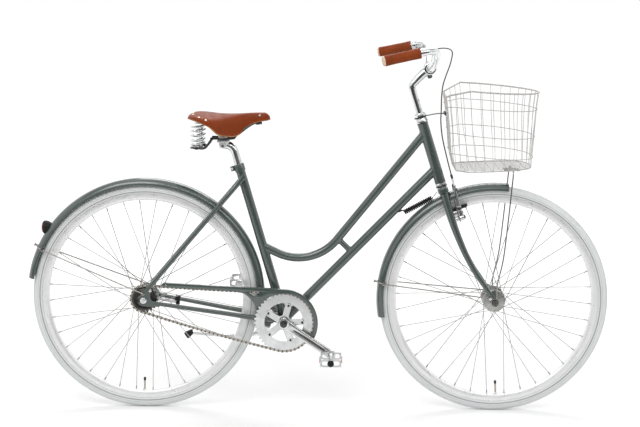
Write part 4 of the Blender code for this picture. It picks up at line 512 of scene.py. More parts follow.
def fine_grain():
    """Fine uneven relief: noise at one scale plus a finer one, as a height and as a roughness change."""
    tree, given, out = effect("fine_grain", [("Vector", "Place", None), ("Float", "Scale", 300.0),
        ("Float", "Smooth", 0.2), ("Float", "Rough", 0.4)], [("Float", "Height"), ("Float", "Roughness")])
    first = noise(tree, given["Place"], given["Scale"], 4.0, Roughness=0.55)
    patch = noise(tree, given["Place"], product(tree, given["Scale"], 0.06), 3.0)
    wear = ramp(tree, patch, 0.38, 0.66)
    span = maths(tree, "SUBTRACT", given["Rough"], given["Smooth"])
    tree.links.new(first, out["Height"])
    tree.links.new(maths(tree, "MULTIPLY_ADD", span, wear, given["Smooth"]), out["Roughness"])
    return tree


def settled_dust():
    """Pale dust on faces that look up, thicker where a broad noise says so."""
    tree, given, out = effect("settled_dust", [("Vector", "Place", None), ("Color", "Colour", None),
        ("Color", "Dust", (0.6, 0.57, 0.52, 1.0)), ("Float", "Roughness", 0.3), ("Float", "Amount", 0.1)],
        [("Color", "Colour"), ("Float", "Roughness")])
    normal = put(tree, "ShaderNodeNewGeometry").outputs["Normal"]
    height = put(tree, "ShaderNodeSeparateXYZ", {0: normal}).outputs["Z"]
    uneven = noise(tree, given["Place"], 38.0, 5.0, Roughness=0.7)
    mask = product(tree, ramp(tree, height, 0.1, 0.95), ramp(tree, uneven, 0.42, 0.72))
    mask = product(tree, mask, given["Amount"])
    tree.links.new(blend(tree, mask, given["Colour"], given["Dust"]), out["Colour"])
    rough = maths(tree, "MULTIPLY_ADD", mask, 0.5, given["Roughness"])
    tree.links.new(rough, out["Roughness"])
    return tree


def worn_and_highlit_edge():
    """Edges and ridges in a second colour, partly wear where use has rubbed them and partly a painted
    highlight along them: the mesh's pointiness, broken up by noise.
    """
    tree, given, out = effect("worn_and_highlit_edge", [("Vector", "Place", None), ("Color", "Colour", None),
        ("Color", "WornAndHighlit", None), ("Float", "Amount", 0.5)], [("Color", "Colour"), ("Float", "Mask")])
    point = put(tree, "ShaderNodeNewGeometry").outputs["Pointiness"]
    uneven = noise(tree, given["Place"], 240.0, 3.0)
    edge = product(tree, ramp(tree, point, 0.52, 0.62), ramp(tree, uneven, 0.35, 0.6))
    mask = product(tree, edge, given["Amount"])
    tree.links.new(blend(tree, mask, given["Colour"], given["WornAndHighlit"]), out["Colour"])
    tree.links.new(mask, out["Mask"])
    return tree


TONE = cloudy_tone()
GRAIN = fine_grain()
DUST = settled_dust()
WORN_AND_HIGHLIT = worn_and_highlit_edge()


def use(tree, group, links):
    """One of the shared effects with this material's own values; gives its outputs."""
    return put(tree, "ShaderNodeGroup", links, node_tree=group).outputs


def solid(r, g, b):
    """A colour with full cover."""
    return (r, g, b, 1.0)


WHITE = solid(1, 1, 1)


def finish(name, slot, colour, deep, smooth, rough, metallic=0.0, coat=0.0, coat_rough=0.04, cloud=12.0,
        amount=0.5, grain=320.0, bump=0.05, dust=0.0, worn_and_highlit=None, worn_and_highlit_amount=0.5, ior=1.5, extra=None):
    """A material: cloudy tone, edges partly worn and partly given a painted highlight, dust, uneven roughness
    and a fine relief on one Principled.

    slot is not used.
    extra(tree, place, colour, roughness, height) may change the three values before they are used.
    """
    made = bpy.data.materials.new(name)
    made.use_nodes = True
    tree = made.node_tree
    shader = tree.nodes["Principled BSDF"]
    place = put(tree, "ShaderNodeTexCoord").outputs["Object"]
    shade = use(tree, TONE, {"Place": place, "Colour": solid(*colour), "Deep": solid(*deep), "Scale": cloud,
        "Amount": amount})["Colour"]
    relief = use(tree, GRAIN, {"Place": place, "Scale": grain, "Smooth": smooth, "Rough": rough})
    height, gloss = relief["Height"], relief["Roughness"]
    # edge colour: wear, and a painted highlight where it is lighter than the surface
    if worn_and_highlit is not None:
        edge_wear_and_highlight = use(tree, WORN_AND_HIGHLIT, {"Place": place, "Colour": shade, "WornAndHighlit": solid(*worn_and_highlit),
            "Amount": worn_and_highlit_amount})
        shade = edge_wear_and_highlight["Colour"]
        gloss = maths(tree, "MULTIPLY_ADD", edge_wear_and_highlight["Mask"], 0.2, gloss)
    if extra is not None:
        shade, gloss, height = extra(tree, place, shade, gloss, height)
    if dust:
        layer = use(tree, DUST, {"Place": place, "Colour": shade, "Roughness": gloss, "Amount": dust})
        shade, gloss = layer["Colour"], layer["Roughness"]
    tree.links.new(shade, shader.inputs["Base Color"])
    tree.links.new(gloss, shader.inputs["Roughness"])
    relief = put(tree, "ShaderNodeBump", {"Strength": bump, "Distance": 0.001, "Height": height})
    tree.links.new(relief.outputs["Normal"], shader.inputs["Normal"])
    shader.inputs["Metallic"].default_value = metallic
    shader.inputs["IOR"].default_value = ior
    if coat:
        shader.inputs["Coat Weight"].default_value = coat
        shader.inputs["Coat Roughness"].default_value = coat_rough
    return made


def skin_place(tree):
    """The piece's own map: x runs along or round it and y across its surface."""
    read = put(tree, "ShaderNodeAttribute", attribute_name="skin", attribute_type="GEOMETRY")
    parts = put(tree, "ShaderNodeSeparateXYZ", {0: read.outputs["Vector"]})
    return read.outputs["Vector"], parts.outputs["Y"]


def band(tree, value, centre, half, soft):
    """1 within half of the centre, falling to 0 over soft."""
    off = maths(tree, "ABSOLUTE", maths(tree, "SUBTRACT", value, centre))
    return ramp(tree, off, half, half + soft, 1.0, 0.0)


def tyre_marks(tree, place, colour, gloss, height):
    """Rubber with painted shade in the tread's grooves and a painted shadow at the bead, where the tyre meets
    the rim; a darker line and fine ribs round the sidewall.
    """
    vector, across = skin_place(tree)
    off = maths(tree, "ABSOLUTE", across)
    # painted shade: the rubber in the tread's grooves is drawn darker
    grooves = maths(tree, "MAXIMUM", band(tree, off, 0.0042, 0.0004, 0.0005), band(tree, off, 0.0096, 0.0005,
        0.0005))
    # painted shadow: the bead, in the gap against the rim, is drawn dark
    bead = band(tree, off, 0.033, 0.0011, 0.0012)
    line = band(tree, off, 0.0268, 0.0003, 0.0005)
    dark = maths(tree, "MAXIMUM", product(tree, grooves, 0.24),
        maths(tree, "MAXIMUM", product(tree, bead, 0.75), product(tree, line, 0.5)))
    colour = blend(tree, dark, colour, solid(0.2, 0.195, 0.185))
    tread = ramp(tree, off, 0.0105, 0.0125, 1.0, 0.0)
    colour = blend(tree, product(tree, tread, 0.1), colour, solid(0.5, 0.5, 0.49))
    ribs = put(tree, "ShaderNodeTexWave", {"Vector": vector, "Scale": 160.0, "Distortion": 0.0},
        wave_type="BANDS", bands_direction="X")
    tooth = product(tree, ribs.outputs["Fac"], product(tree, tread, 0.7))
    return colour, gloss, maths(tree, "ADD", height, maths(tree, "SUBTRACT", tooth, grooves))


def hide_grain(tree, place, colour, gloss, height):
    """Leather: cells of grain with fine pores, and creases where the tone is deep."""
    cells = put(tree, "ShaderNodeTexVoronoi", {"Vector": place, "Scale": 620.0}, feature="DISTANCE_TO_EDGE")
    pores = noise(tree, place, 1500.0, 2.0)
    crease = noise(tree, place, 46.0, 6.0, Roughness=0.72, Distortion=1.2)
    fold = ramp(tree, crease, 0.56, 0.62)
    edge = ramp(tree, cells.outputs["Distance"], 0.0, 0.12)
    colour = blend(tree, product(tree, maths(tree, "SUBTRACT", 1.0, edge), 0.3), colour,
        solid(0.1, 0.022, 0.006))
    colour = blend(tree, product(tree, fold, 0.18), colour, solid(0.13, 0.032, 0.01))
    relief = maths(tree, "MULTIPLY_ADD", edge, 0.6, product(tree, pores, 0.25))
    return colour, gloss, maths(tree, "ADD", height, maths(tree, "MULTIPLY_ADD", fold, -0.35, relief))


def threads(tree, place, colour, gloss, height):
    """Rolled thread round a bolt or a valve: bands along its own map."""
    vector = skin_place(tree)[0]
    wave = put(tree, "ShaderNodeTexWave", {"Vector": vector, "Scale": 310.0}, bands_direction="X")
    colour = blend(tree, product(tree, wave.outputs["Fac"], 0.35), colour, solid(0.1, 0.09, 0.07))
    return colour, gloss, maths(tree, "ADD", height, wave.outputs["Fac"])


def lens_ribs(tree, place, colour, gloss, height):
    """Prisms inside a lens: a grid of small waves on both directions."""
    one = put(tree, "ShaderNodeTexWave", {"Vector": place, "Scale": 140.0}, bands_direction="Y")
    two = put(tree, "ShaderNodeTexWave", {"Vector": place, "Scale": 140.0}, bands_direction="Z")
    both = product(tree, one.outputs["Fac"], two.outputs["Fac"])
    return blend(tree, product(tree, both, 0.6), colour, solid(0.62, 0.07, 0.03)), gloss, maths(tree, "ADD",
        height, both)


# the paint's lighter edge colour is partly wear and partly a painted highlight along the fenders' rolled
# edges and other sharp edges
PAINT = finish("dark_green_grey_enamel", "frame_paint", (0.056, 0.079, 0.07), (0.042, 0.061, 0.054), 0.16,
    0.3, coat=1.0, coat_rough=0.04, cloud=7.0, amount=0.6, grain=260.0, bump=0.03, dust=0.03,
    worn_and_highlit=(0.1, 0.135, 0.12), worn_and_highlit_amount=0.3, ior=1.58)
CHROME = finish("bright_chrome", "chrome", (0.8, 0.81, 0.82), (0.72, 0.73, 0.74), 0.13, 0.23, metallic=1.0,
    cloud=20.0, amount=0.6, grain=420.0, bump=0.006, dust=0.03)
ALLOY = finish("polished_alloy", "alloy", (0.74, 0.745, 0.75), (0.64, 0.645, 0.65), 0.16, 0.3, metallic=1.0,
    cloud=14.0, amount=0.5, grain=420.0, bump=0.015, dust=0.02)
RIM_METAL = finish("rolled_rim_metal", "chrome", (0.86, 0.86, 0.86), (0.78, 0.78, 0.78), 0.26, 0.42,
    metallic=0.45, cloud=18.0, amount=0.5, grain=500.0, bump=0.02, dust=0.03)
PALE_WIRE = finish("pale_plated_wire", "chrome", (0.66, 0.65, 0.635), (0.56, 0.55, 0.535), 0.32, 0.46,
    metallic=0.4, cloud=40.0, amount=0.6, grain=900.0, bump=0.008)
WIRE = finish("plated_wire", "chrome", (0.52, 0.51, 0.495), (0.43, 0.42, 0.405), 0.34, 0.5, metallic=0.3,
    cloud=40.0, amount=0.6, grain=900.0, bump=0.008)
STAY_WIRE = finish("dark_plated_rod", "chrome", (0.37, 0.355, 0.34), (0.27, 0.26, 0.25), 0.16, 0.3,
    metallic=1.0, cloud=30.0, amount=0.6, grain=900.0, bump=0.02, dust=0.03)
HUB_METAL = finish("dull_hub_alloy", "alloy", (0.46, 0.47, 0.45), (0.34, 0.35, 0.33), 0.26, 0.42,
    metallic=1.0, cloud=40.0, amount=0.6, grain=700.0, bump=0.04, dust=0.04)
PEDAL_METAL = finish("worn_pedal_alloy", "alloy", (0.66, 0.665, 0.67), (0.44, 0.445, 0.45), 0.24, 0.4,
    metallic=1.0, cloud=50.0, amount=0.7, grain=700.0, bump=0.05, dust=0.04, worn_and_highlit=(0.78, 0.78, 0.78))
SPOKE_WIRE = finish("stainless_spokes", "chrome", (0.5, 0.5, 0.49), (0.4, 0.4, 0.39), 0.18, 0.32,
    metallic=1.0, cloud=30.0, amount=0.5, grain=900.0, bump=0.01)
BLACK = finish("black_lacquer", "black_steel", (0.016, 0.016, 0.017), (0.01, 0.01, 0.011), 0.22, 0.42,
    coat=0.5, cloud=20.0, grain=420.0, bump=0.05, dust=0.05, worn_and_highlit=(0.07, 0.07, 0.07))
PLASTIC = finish("black_moulding", "black_rubber", (0.012, 0.012, 0.013), (0.007, 0.007, 0.008), 0.42, 0.62,
    cloud=20.0, grain=800.0, bump=0.12, dust=0.02, worn_and_highlit=(0.04, 0.04, 0.04), ior=1.32)
CHAIN_METAL = finish("oiled_chain_steel", "chain_steel", (0.56, 0.53, 0.48), (0.36, 0.32, 0.27), 0.2, 0.4,
    metallic=1.0, cloud=60.0, amount=0.6, grain=900.0, bump=0.04, worn_and_highlit=(0.8, 0.79, 0.76))
DARK_STEEL = finish("dark_oiled_steel", "black_steel", (0.1, 0.095, 0.088), (0.05, 0.046, 0.042), 0.26, 0.46,
    metallic=0.9, cloud=50.0, amount=0.7, grain=800.0, bump=0.05, worn_and_highlit=(0.35, 0.34, 0.32))
TYRE = finish("pale_grey_rubber", "pale_tyre", (0.735, 0.755, 0.755), (0.67, 0.69, 0.69), 0.48, 0.66,
    cloud=9.0, amount=0.7, grain=900.0, bump=0.16, dust=0.08, extra=tyre_marks)
RUBBER = finish("black_rubber", "black_rubber", (0.02, 0.02, 0.021), (0.012, 0.012, 0.013), 0.5, 0.72,
    cloud=30.0, grain=900.0, bump=0.12, dust=0.03, ior=1.34)
LEATHER = finish("cognac_saddle_leather", "cognac_leather", (0.258, 0.042, 0.0028), (0.18, 0.025, 0.001),
    0.42, 0.6, coat=0.05, coat_rough=0.2, cloud=16.0, amount=0.75, grain=700.0, bump=0.11, ior=1.28,
    worn_and_highlit=(0.36, 0.1, 0.03), worn_and_highlit_amount=0.5, extra=hide_grain)
GRIP_LEATHER = finish("cognac_grip_leather", "cognac_leather", (0.275, 0.048, 0.0045), (0.18, 0.028, 0.002),
    0.52, 0.7, cloud=22.0, amount=0.8, grain=700.0, bump=0.14, ior=1.3, worn_and_highlit=(0.42, 0.14, 0.045),
    worn_and_highlit_amount=0.5, extra=hide_grain)
RAW_EDGE = finish("cut_leather_edge", "cognac_leather", (0.44, 0.22, 0.1), (0.26, 0.11, 0.045), 0.55, 0.78,
    cloud=60.0, amount=0.8, grain=900.0, bump=0.3)
# the same dark colour is also painted shade for the holes in the grips' end plugs
DARK_LEATHER_AND_HOLE_SHADE = finish("dark_leather_and_hole_shade", "cognac_leather", (0.055, 0.032, 0.022), (0.03, 0.018, 0.012), 0.7,
    0.9, cloud=40.0, grain=900.0, bump=0.3)
THREAD = finish("waxed_thread", "cognac_leather", (0.3, 0.13, 0.05), (0.2, 0.08, 0.03), 0.55, 0.75,
    cloud=90.0, grain=1400.0, bump=0.3)
CREAM = finish("cream_end_plug", "cognac_leather", (0.74, 0.6, 0.46), (0.62, 0.48, 0.35), 0.4, 0.58,
    cloud=80.0, grain=900.0, bump=0.1)
BRASS = finish("pale_copper_rivets", "cognac_leather", (0.93, 0.83, 0.7), (0.8, 0.66, 0.5), 0.16, 0.34,
    metallic=0.8, cloud=120.0, grain=1200.0, bump=0.05)
CABLE = finish("brown_cable_housing", "black_rubber", (0.07, 0.05, 0.044), (0.05, 0.034, 0.03), 0.3, 0.46,
    coat=0.3, cloud=30.0, grain=900.0, bump=0.05)
LENS = finish("red_rear_lens", "red_lens", (0.24, 0.01, 0.007), (0.15, 0.005, 0.004), 0.1, 0.2, coat=0.6,
    cloud=60.0, grain=700.0, bump=0.3, extra=lens_ribs)
AMBER = finish("amber_reflector", "alloy", (0.75, 0.22, 0.02), (0.6, 0.14, 0.01), 0.12, 0.22, coat=0.8,
    cloud=60.0, grain=700.0, bump=0.3, extra=lens_ribs)
THREADED = finish("threaded_brass", "chrome", (0.66, 0.62, 0.54), (0.48, 0.44, 0.36), 0.22, 0.4, metallic=1.0,
    cloud=80.0, grain=900.0, bump=0.35, extra=threads)


# Studio

def studio():
    """Pale floor, white surroundings, three soft lamps and the camera at the photograph's place."""
    scene = bpy.context.scene
    scene.view_settings.view_transform = "Standard"
    world = bpy.data.worlds.new("white_studio")
    scene.world = world
    world.use_nodes = True
    tree = world.node_tree
    tree.nodes.clear()
    rays = put(tree, "ShaderNodeLightPath")
    seen = maths(tree, "MAXIMUM", rays.outputs["Is Camera Ray"], rays.outputs["Is Transmission Ray"])
    look = put(tree, "ShaderNodeTexCoord").outputs["Generated"]
    parts = put(tree, "ShaderNodeSeparateXYZ", {0: look})
    aside = maths(tree, "MAXIMUM", ramp(tree, parts.outputs["X"], -0.36, -0.62, 0.0, 1.0),
        ramp(tree, parts.outputs["X"], 0.78, 0.92))
    leaning = product(tree, maths(tree, "MAXIMUM", parts.outputs["X"], 0.0), 0.8)
    above = ramp(tree, maths(tree, "SUBTRACT", parts.outputs["Z"], leaning), 0.16, 0.46)
    behind = ramp(tree, parts.outputs["Y"], -0.3, 0.15)
    card = band(tree, parts.outputs["Z"], 0.74, 0.05, 0.06)
    bright_side = maths(tree, "MAXIMUM", aside, maths(tree, "MAXIMUM", above, behind))
    mirror = maths(tree, "MULTIPLY_ADD", bright_side, maths(tree, "MULTIPLY_ADD", card, -0.5, 0.81), 0.19)
    plain = put(tree, "ShaderNodeBackground", {"Color": WHITE, "Strength": 0.66})
    bright = put(tree, "ShaderNodeBackground", {"Color": WHITE, "Strength": 1.0})
    glossy = put(tree, "ShaderNodeBackground", {"Color": WHITE, "Strength": mirror})
    first = put(tree, "ShaderNodeMixShader", {0: rays.outputs["Is Glossy Ray"], 1: plain.outputs[0],
        2: glossy.outputs[0]})
    both = put(tree, "ShaderNodeMixShader", {0: seen, 1: first.outputs[0], 2: bright.outputs[0]})
    out = put(tree, "ShaderNodeOutputWorld")
    tree.links.new(both.outputs[0], out.inputs["Surface"])

    paper = bpy.data.materials.new("studio_paper")
    paper.use_nodes = True
    tree = paper.node_tree
    tree.nodes.clear()
    rays = put(tree, "ShaderNodeLightPath")
    seen = maths(tree, "MAXIMUM", rays.outputs["Is Camera Ray"],
        maths(tree, "MAXIMUM", rays.outputs["Is Glossy Ray"], rays.outputs["Is Transmission Ray"]))
    spot = put(tree, "ShaderNodeNewGeometry").outputs["Position"]
    front = ramp(tree, put(tree, "ShaderNodeSeparateXYZ", {0: spot}).outputs["Y"], -2.6, -1.0, 1.0, 0.0)
    dim = product(tree, rays.outputs["Is Glossy Ray"], front)
    pale = blend(tree, dim, solid(0.8, 0.8, 0.8), solid(0.05, 0.05, 0.05))
    matt = put(tree, "ShaderNodeBsdfDiffuse", {"Color": pale})
    away = put(tree, "ShaderNodeVectorMath", {0: spot}, operation="LENGTH").outputs["Value"]
    glow = product(tree, ramp(tree, away, 0.6, 4.2, 0.19, 0.52), maths(tree, "SUBTRACT", 1.0, dim))
    lift = put(tree, "ShaderNodeEmission", {"Color": WHITE, "Strength": glow})
    lifted = put(tree, "ShaderNodeAddShader", {0: matt.outputs[0], 1: lift.outputs[0]})
    mixed = put(tree, "ShaderNodeMixShader", {0: seen, 1: matt.outputs[0], 2: lifted.outputs[0]})
    out = put(tree, "ShaderNodeOutputMaterial")
    tree.links.new(mixed.outputs[0], out.inputs["Surface"])
    mesh = bpy.data.meshes.new("studio_floor")
    reach = 60.0
    mesh.from_pydata([(-reach, -reach, 0), (reach, -reach, 0), (reach, reach, 0), (-reach, reach, 0)], [],
        [(0, 1, 2, 3)])
    mesh.materials.append(paper)
    floor = bpy.data.objects.new("studio_floor", mesh)
    scene.collection.objects.link(floor)

    for name, place, size, low, power in (("key_lamp", (-1.6, -2.2, 3.6), 2.4, 1.6, 44.0),
            ("strip_lamp", (0.6, -2.4, 2.7), 3.4, 0.22, 12.0), ("fill_lamp", (2.6, -2.0, 2.6), 2.0, 1.4,
            14.0), ("back_lamp", (0.2, 2.4, 3.6), 3.0, 1.8, 56.0)):
        data = bpy.data.lights.new(name, "AREA")
        data.shape = "RECTANGLE"
        data.size, data.size_y = size, low
        data.energy = power
        lamp = bpy.data.objects.new(name, data)
        back = unit(np.array(place) - (0.0, 0.0, 0.5))
        second = basis(back, UP)[1]
        lamp.matrix_world = matrix(place, second, np.cross(back, second), back)
        scene.collection.objects.link(lamp)

    data = bpy.data.cameras.new("camera")
    data.sensor_width = SENSOR_MM
    data.lens = FOCAL_PX / PHOTO_WIDTH_PX * SENSOR_MM
    data.shift_y = SHIFT_PX / PHOTO_WIDTH_PX
    data.clip_end = 400.0
    yaw, pitch, roll = -0.0188, 0.1026, 0.0043
    ahead = np.array((math.sin(yaw) * math.cos(pitch), math.cos(yaw) * math.cos(pitch), -math.sin(pitch)))
    right = unit(np.cross(ahead, UP))
    above = np.cross(right, ahead)
    right, above = (math.cos(roll) * right + math.sin(roll) * above,
        math.cos(roll) * above - math.sin(roll) * right)
    camera = bpy.data.objects.new("camera", data)
    camera.matrix_world = matrix((0.08102, -3.9615, 1.2862), right, above, -ahead)
    scene.collection.objects.link(camera)
    scene.camera = camera


def matrix(place, x, y, z):
    """Placing matrix with the three directions as its columns."""
    m = np.eye(4)
    m[:3, 0], m[:3, 1], m[:3, 2], m[:3, 3] = x, y, z, place
    return Matrix(m.tolist())


# Wheels

def wheel(where, hub, turn):
    """Tyre, rim, inner tube with its valve, and hub with laced spokes, all turned about the axle."""
    body = where + "_wheel"
    steps = 180
    crown_r, crown_c = 0.0175, WHEEL_R - 0.0175
    lean = np.radians(np.linspace(-132, 132, 45))
    outer_r = crown_c + crown_r * np.cos(lean)
    outer_y = crown_r * np.sin(lean)
    bite = 0.0006 * (np.abs(np.abs(outer_y) - 0.0042) < 0.0009) + 0.0006 * (np.abs(np.abs(outer_y)
        - 0.0096) < 0.001)
    outer = np.column_stack([outer_r - bite, outer_y])
    inner = np.column_stack([crown_c + (crown_r - 0.003) * np.cos(lean[::-1]),
        (crown_r - 0.003) * np.sin(lean[::-1])])
    profile = np.vstack([outer, inner])
    arc = crown_r * np.concatenate([lean, lean[::-1]])
    turn_at = np.linspace(0, FULL_TURN * WHEEL_R, steps, endpoint=False)
    across = np.concatenate([arc[:len(lean)], np.full(len(lean), 0.05)])
    skin_map = np.stack([np.broadcast_to(turn_at, (len(profile), steps)), np.broadcast_to(across[:, None],
        (len(profile), steps)), np.zeros((len(profile), steps))], -1).reshape(-1, 3)
    piece(where + "_tyre_cover", body, TYRE, revolve(profile, hub, LEFT, steps, closed=True),
        stands_for=where + "_tyre", skin_map=skin_map, smooth=60)

    rim = mm(316.5, 12, 317.2, 11.4, 316, 10.8, 311, 10.2, 309.2, 8.5, 308.5, 0, 309.2, -8.5, 311, -10.2, 316,
        -10.8, 317.2, -11.4, 316.5, -12, 312, -11.9, 305, -11.7, 303, -11.2, 299, -9.8, 297, -8, 296.2, -4,
        295.8, 0, 296.2, 4, 297, 8, 299, 9.8, 303, 11.2, 305, 11.7, 312, 11.9)
    piece(where + "_rim_hoop", body, RIM_METAL, revolve(rim, hub, LEFT, steps, closed=True),
        stands_for=where + "_rim", smooth=30)

    bladder = circle(12) * (0.0088, 0.0095) + (0.3245, 0.0)
    out = ray(turn - 90)
    foot = hub + out * 0.2945
    stem = revolve(mm(3, 0, 3, 27, 2.2, 27.5, 2.2, 33), foot, -out, 16)
    collar = revolve(mm(6.2, -1.2, 6.2, 1.2, 4, 2.2), foot, -out, 6)
    cap = revolve(mm(3.4, 29, 3.6, 30, 3.6, 37, 2.2, 39), foot, -out, 16)
    piece(where + "_valve", body, RUBBER, revolve(bladder, hub, LEFT, 72, closed=True), cap,
        stands_for=where + "_inner_tube")
    length = np.repeat((0.0, 0.027, 0.0275, 0.033), 16)
    stem_map = np.column_stack([length, np.zeros((64, 2))])
    piece(where + "_valve_thread", body, THREADED, stem,
        skin_map=np.vstack([stem_map, mm(0, 0, 0, 33, 0, 0, columns=3)]))
    piece(where + "_valve_nut", body, CHROME, collar)
    hub_and_spokes(where, body, hub, turn)


def hub_and_spokes(where, body, hub, turn):
    """Hub shell and 36 spokes: each leaves its flange along the rim's tangent and crosses three others."""
    flange_y = 0.029 if where == "rear" else 0.03
    step = 360 / SPOKES_A_SIDE
    side = np.repeat((1.0, -1.0), SPOKES_A_SIDE)
    hole = np.tile(np.arange(SPOKES_A_SIDE), 2)
    way = np.where(hole % 2 == 0, 1.0, -1.0)
    at_hub = turn + hole * step + side * step / 4
    at_rim = at_hub + way * CROSSES * step
    inside = polar(hub, FLANGE_R, at_hub, side * (flange_y + 0.0022 * way))
    outside = polar(hub, 0.3, at_rim, side * 0.0022)
    run = unit(outside - inside)
    across = unit(np.cross(run, LEFT))
    square = np.cross(run, across)
    turns = np.stack([across, square, run], -1)
    length = np.linalg.norm(outside - inside, axis=1).mean()
    wire = revolve([(0.00115, 0.0), (0.00115, 0.008), (0.00108, 0.012), (0.00108, length - 0.01)],
        np.zeros(3), UP, 6)
    nipple = revolve([(0.0011, length - 0.0145), (0.0019, length - 0.014), (0.0019, length - 0.004),
        (0.0026, length - 0.003)], np.zeros(3), UP, 6)
    heads = repeat(revolve(mm(1.4, -0.8, 2.1, 0, 1.4, 0.8), np.zeros(3), LEFT, 8), UNTURNED,
        inside + LEFT * (side * way * 0.0006)[:, None])
    piece(where + "_spokes", body, SPOKE_WIRE, repeat(wire, turns, inside), repeat(nipple, turns, inside),
        heads)

    if where == "rear":
        shell = mm(15, 44.5, 19, 44, 19.5, 40, 21.5, 33.5, 33.5, 31.2, 34.2, 30, 33.5, 28.4, 26, 27.2, 23.6,
            23.5, 22.8, 15, 23, 0, 22.8, -15, 23.6, -23.5, 26, -27.2, 33.5, -28.4, 34.2, -30, 33.5, -31.2,
            21.5, -33.5, 20, -36.5, 15, -37)
    else:
        shell = mm(8, 48, 10, 47.8, 11.2, 44, 12, 36, 14, 33, 32.5, 31.8, 34, 30.8, 34, 29.2, 32.5, 28.4, 19,
            27, 16, 23.5, 15, 15, 14.6, 0, 15, -15, 16, -23.5, 19, -27, 32.5, -28.4, 34, -29.2, 34, -30.8,
            32.5, -31.8, 14, -33, 12, -36, 11.2, -44, 10, -47.8, 8, -48)
    oiler = revolve([(0.004, 0.0225 if where == "rear" else 0.0145),
        (0.004, 0.0248 if where == "rear" else 0.0168), (0.0028, 0.0256 if where == "rear" else 0.0176)], hub,
        ray(turn + 50), 16)
    piece(where + "_hub_shell", body, HUB_METAL, revolve(shell, hub, LEFT, 72), oiler,
        stands_for=where + "_hub_spokes", smooth=30)
    angles = turn + np.arange(SPOKES_A_SIDE) * step
    for y in (1, -1):
        seats = repeat(revolve(mm(2.6, -0.3, 2.6, 0.4, 1.8, 0.7), np.zeros(3), LEFT, 10), UNTURNED,
            polar(hub, FLANGE_R, angles + y * step / 4, y * (flange_y + 0.0013)))
        piece(where + "_spoke_seats_" + ("left" if y > 0 else "right"), body, DARK_STEEL, seats, slot="alloy")


def hex_nut(hub, y, low, radius, height, stud):
    """Axle nut, six-sided with a turned washer face, and the axle's threaded end beyond it."""
    nut = revolve([(radius + 0.0012, low), (radius + 0.0012, low + 0.0012), (radius, low + 0.0014)], hub,
        LEFT * y, 32)
    head = revolve([(radius, low + 0.001), (radius, low + height * 0.85), (radius * 0.84, low + height)], hub,
        LEFT * y, 6)
    return join(nut, head, revolve([(0.0046, low), (0.0046, low + stud - 0.0008), (0.0038, low + stud)], hub,
        LEFT * y, 16))


def build_axles():
    """Axles with their cones and nuts."""
    for name, hub, body, inner, outer in (("rear", REAR_HUB, "frame", 0.0575, 0.0628),
            ("front", FRONT_HUB, "steering", 0.0503, 0.0579)):
        cone = [(0.008, inner - 0.0048), (0.0084, inner - 0.004), (0.0084, inner - 0.0004),
            (0.007, inner - 0.0002)]
        rod = revolve([(0.0047, -outer), (0.0047, outer)], hub, LEFT, 24)
        piece(name + "_axle_nuts", body, CHROME if name == "rear" else DARK_STEEL, rod,
            *[part for y in (1, -1) for part in (hex_nut(hub, y, outer, 0.009, 0.0085, 0.0115),
            revolve(cone, hub, LEFT * y, 24))], stands_for=name + "_axle", slot="chrome", smooth=25)


# Frame

def tube_ends():
    """The round tubes that others meet: centre, axis and outside radius."""
    return {"seat": (BB, SEAT_UP, 0.0143), "head": (STEER_FOOT, STEER_UP, 0.0165), "shell": (BB, LEFT, 0.02)}


def top_tube_line():
    """Straight, one bend and straight again; the bend is an arc that touches both straights."""
    low, high = seat(0.236), steer(0.547)
    first_angle, second_angle, radius = math.radians(-25.6), math.radians(51.2), 0.15
    first = np.array((math.cos(first_angle), 0, math.sin(first_angle)))
    second = np.array((math.cos(second_angle), 0, math.sin(second_angle)))
    span = high - low
    along = (span[0] * second[2] - span[2] * second[0]) / (first[0] * second[2] - first[2] * second[0])
    corner = low + first * along
    run = radius * math.tan((second_angle - first_angle) / 2)
    centre = corner - first * run + np.array((-first[2], 0, first[0])) * radius
    bend = polar(centre, radius, np.linspace(-115.6, -38.8, 33))
    straight = low + (bend[0] - low) * np.linspace(0, 1, 8, endpoint=False)[:, None]
    rise = bend[-1] + (high - bend[-1]) * np.linspace(0, 1, 9)[1:, None]
    return np.vstack([straight, bend, rise])


def straight(a, b, count=12):
    """Evenly spaced points from a to b."""
    return np.asarray(a) + (np.asarray(b) - np.asarray(a)) * np.linspace(0, 1, count)[:, None]


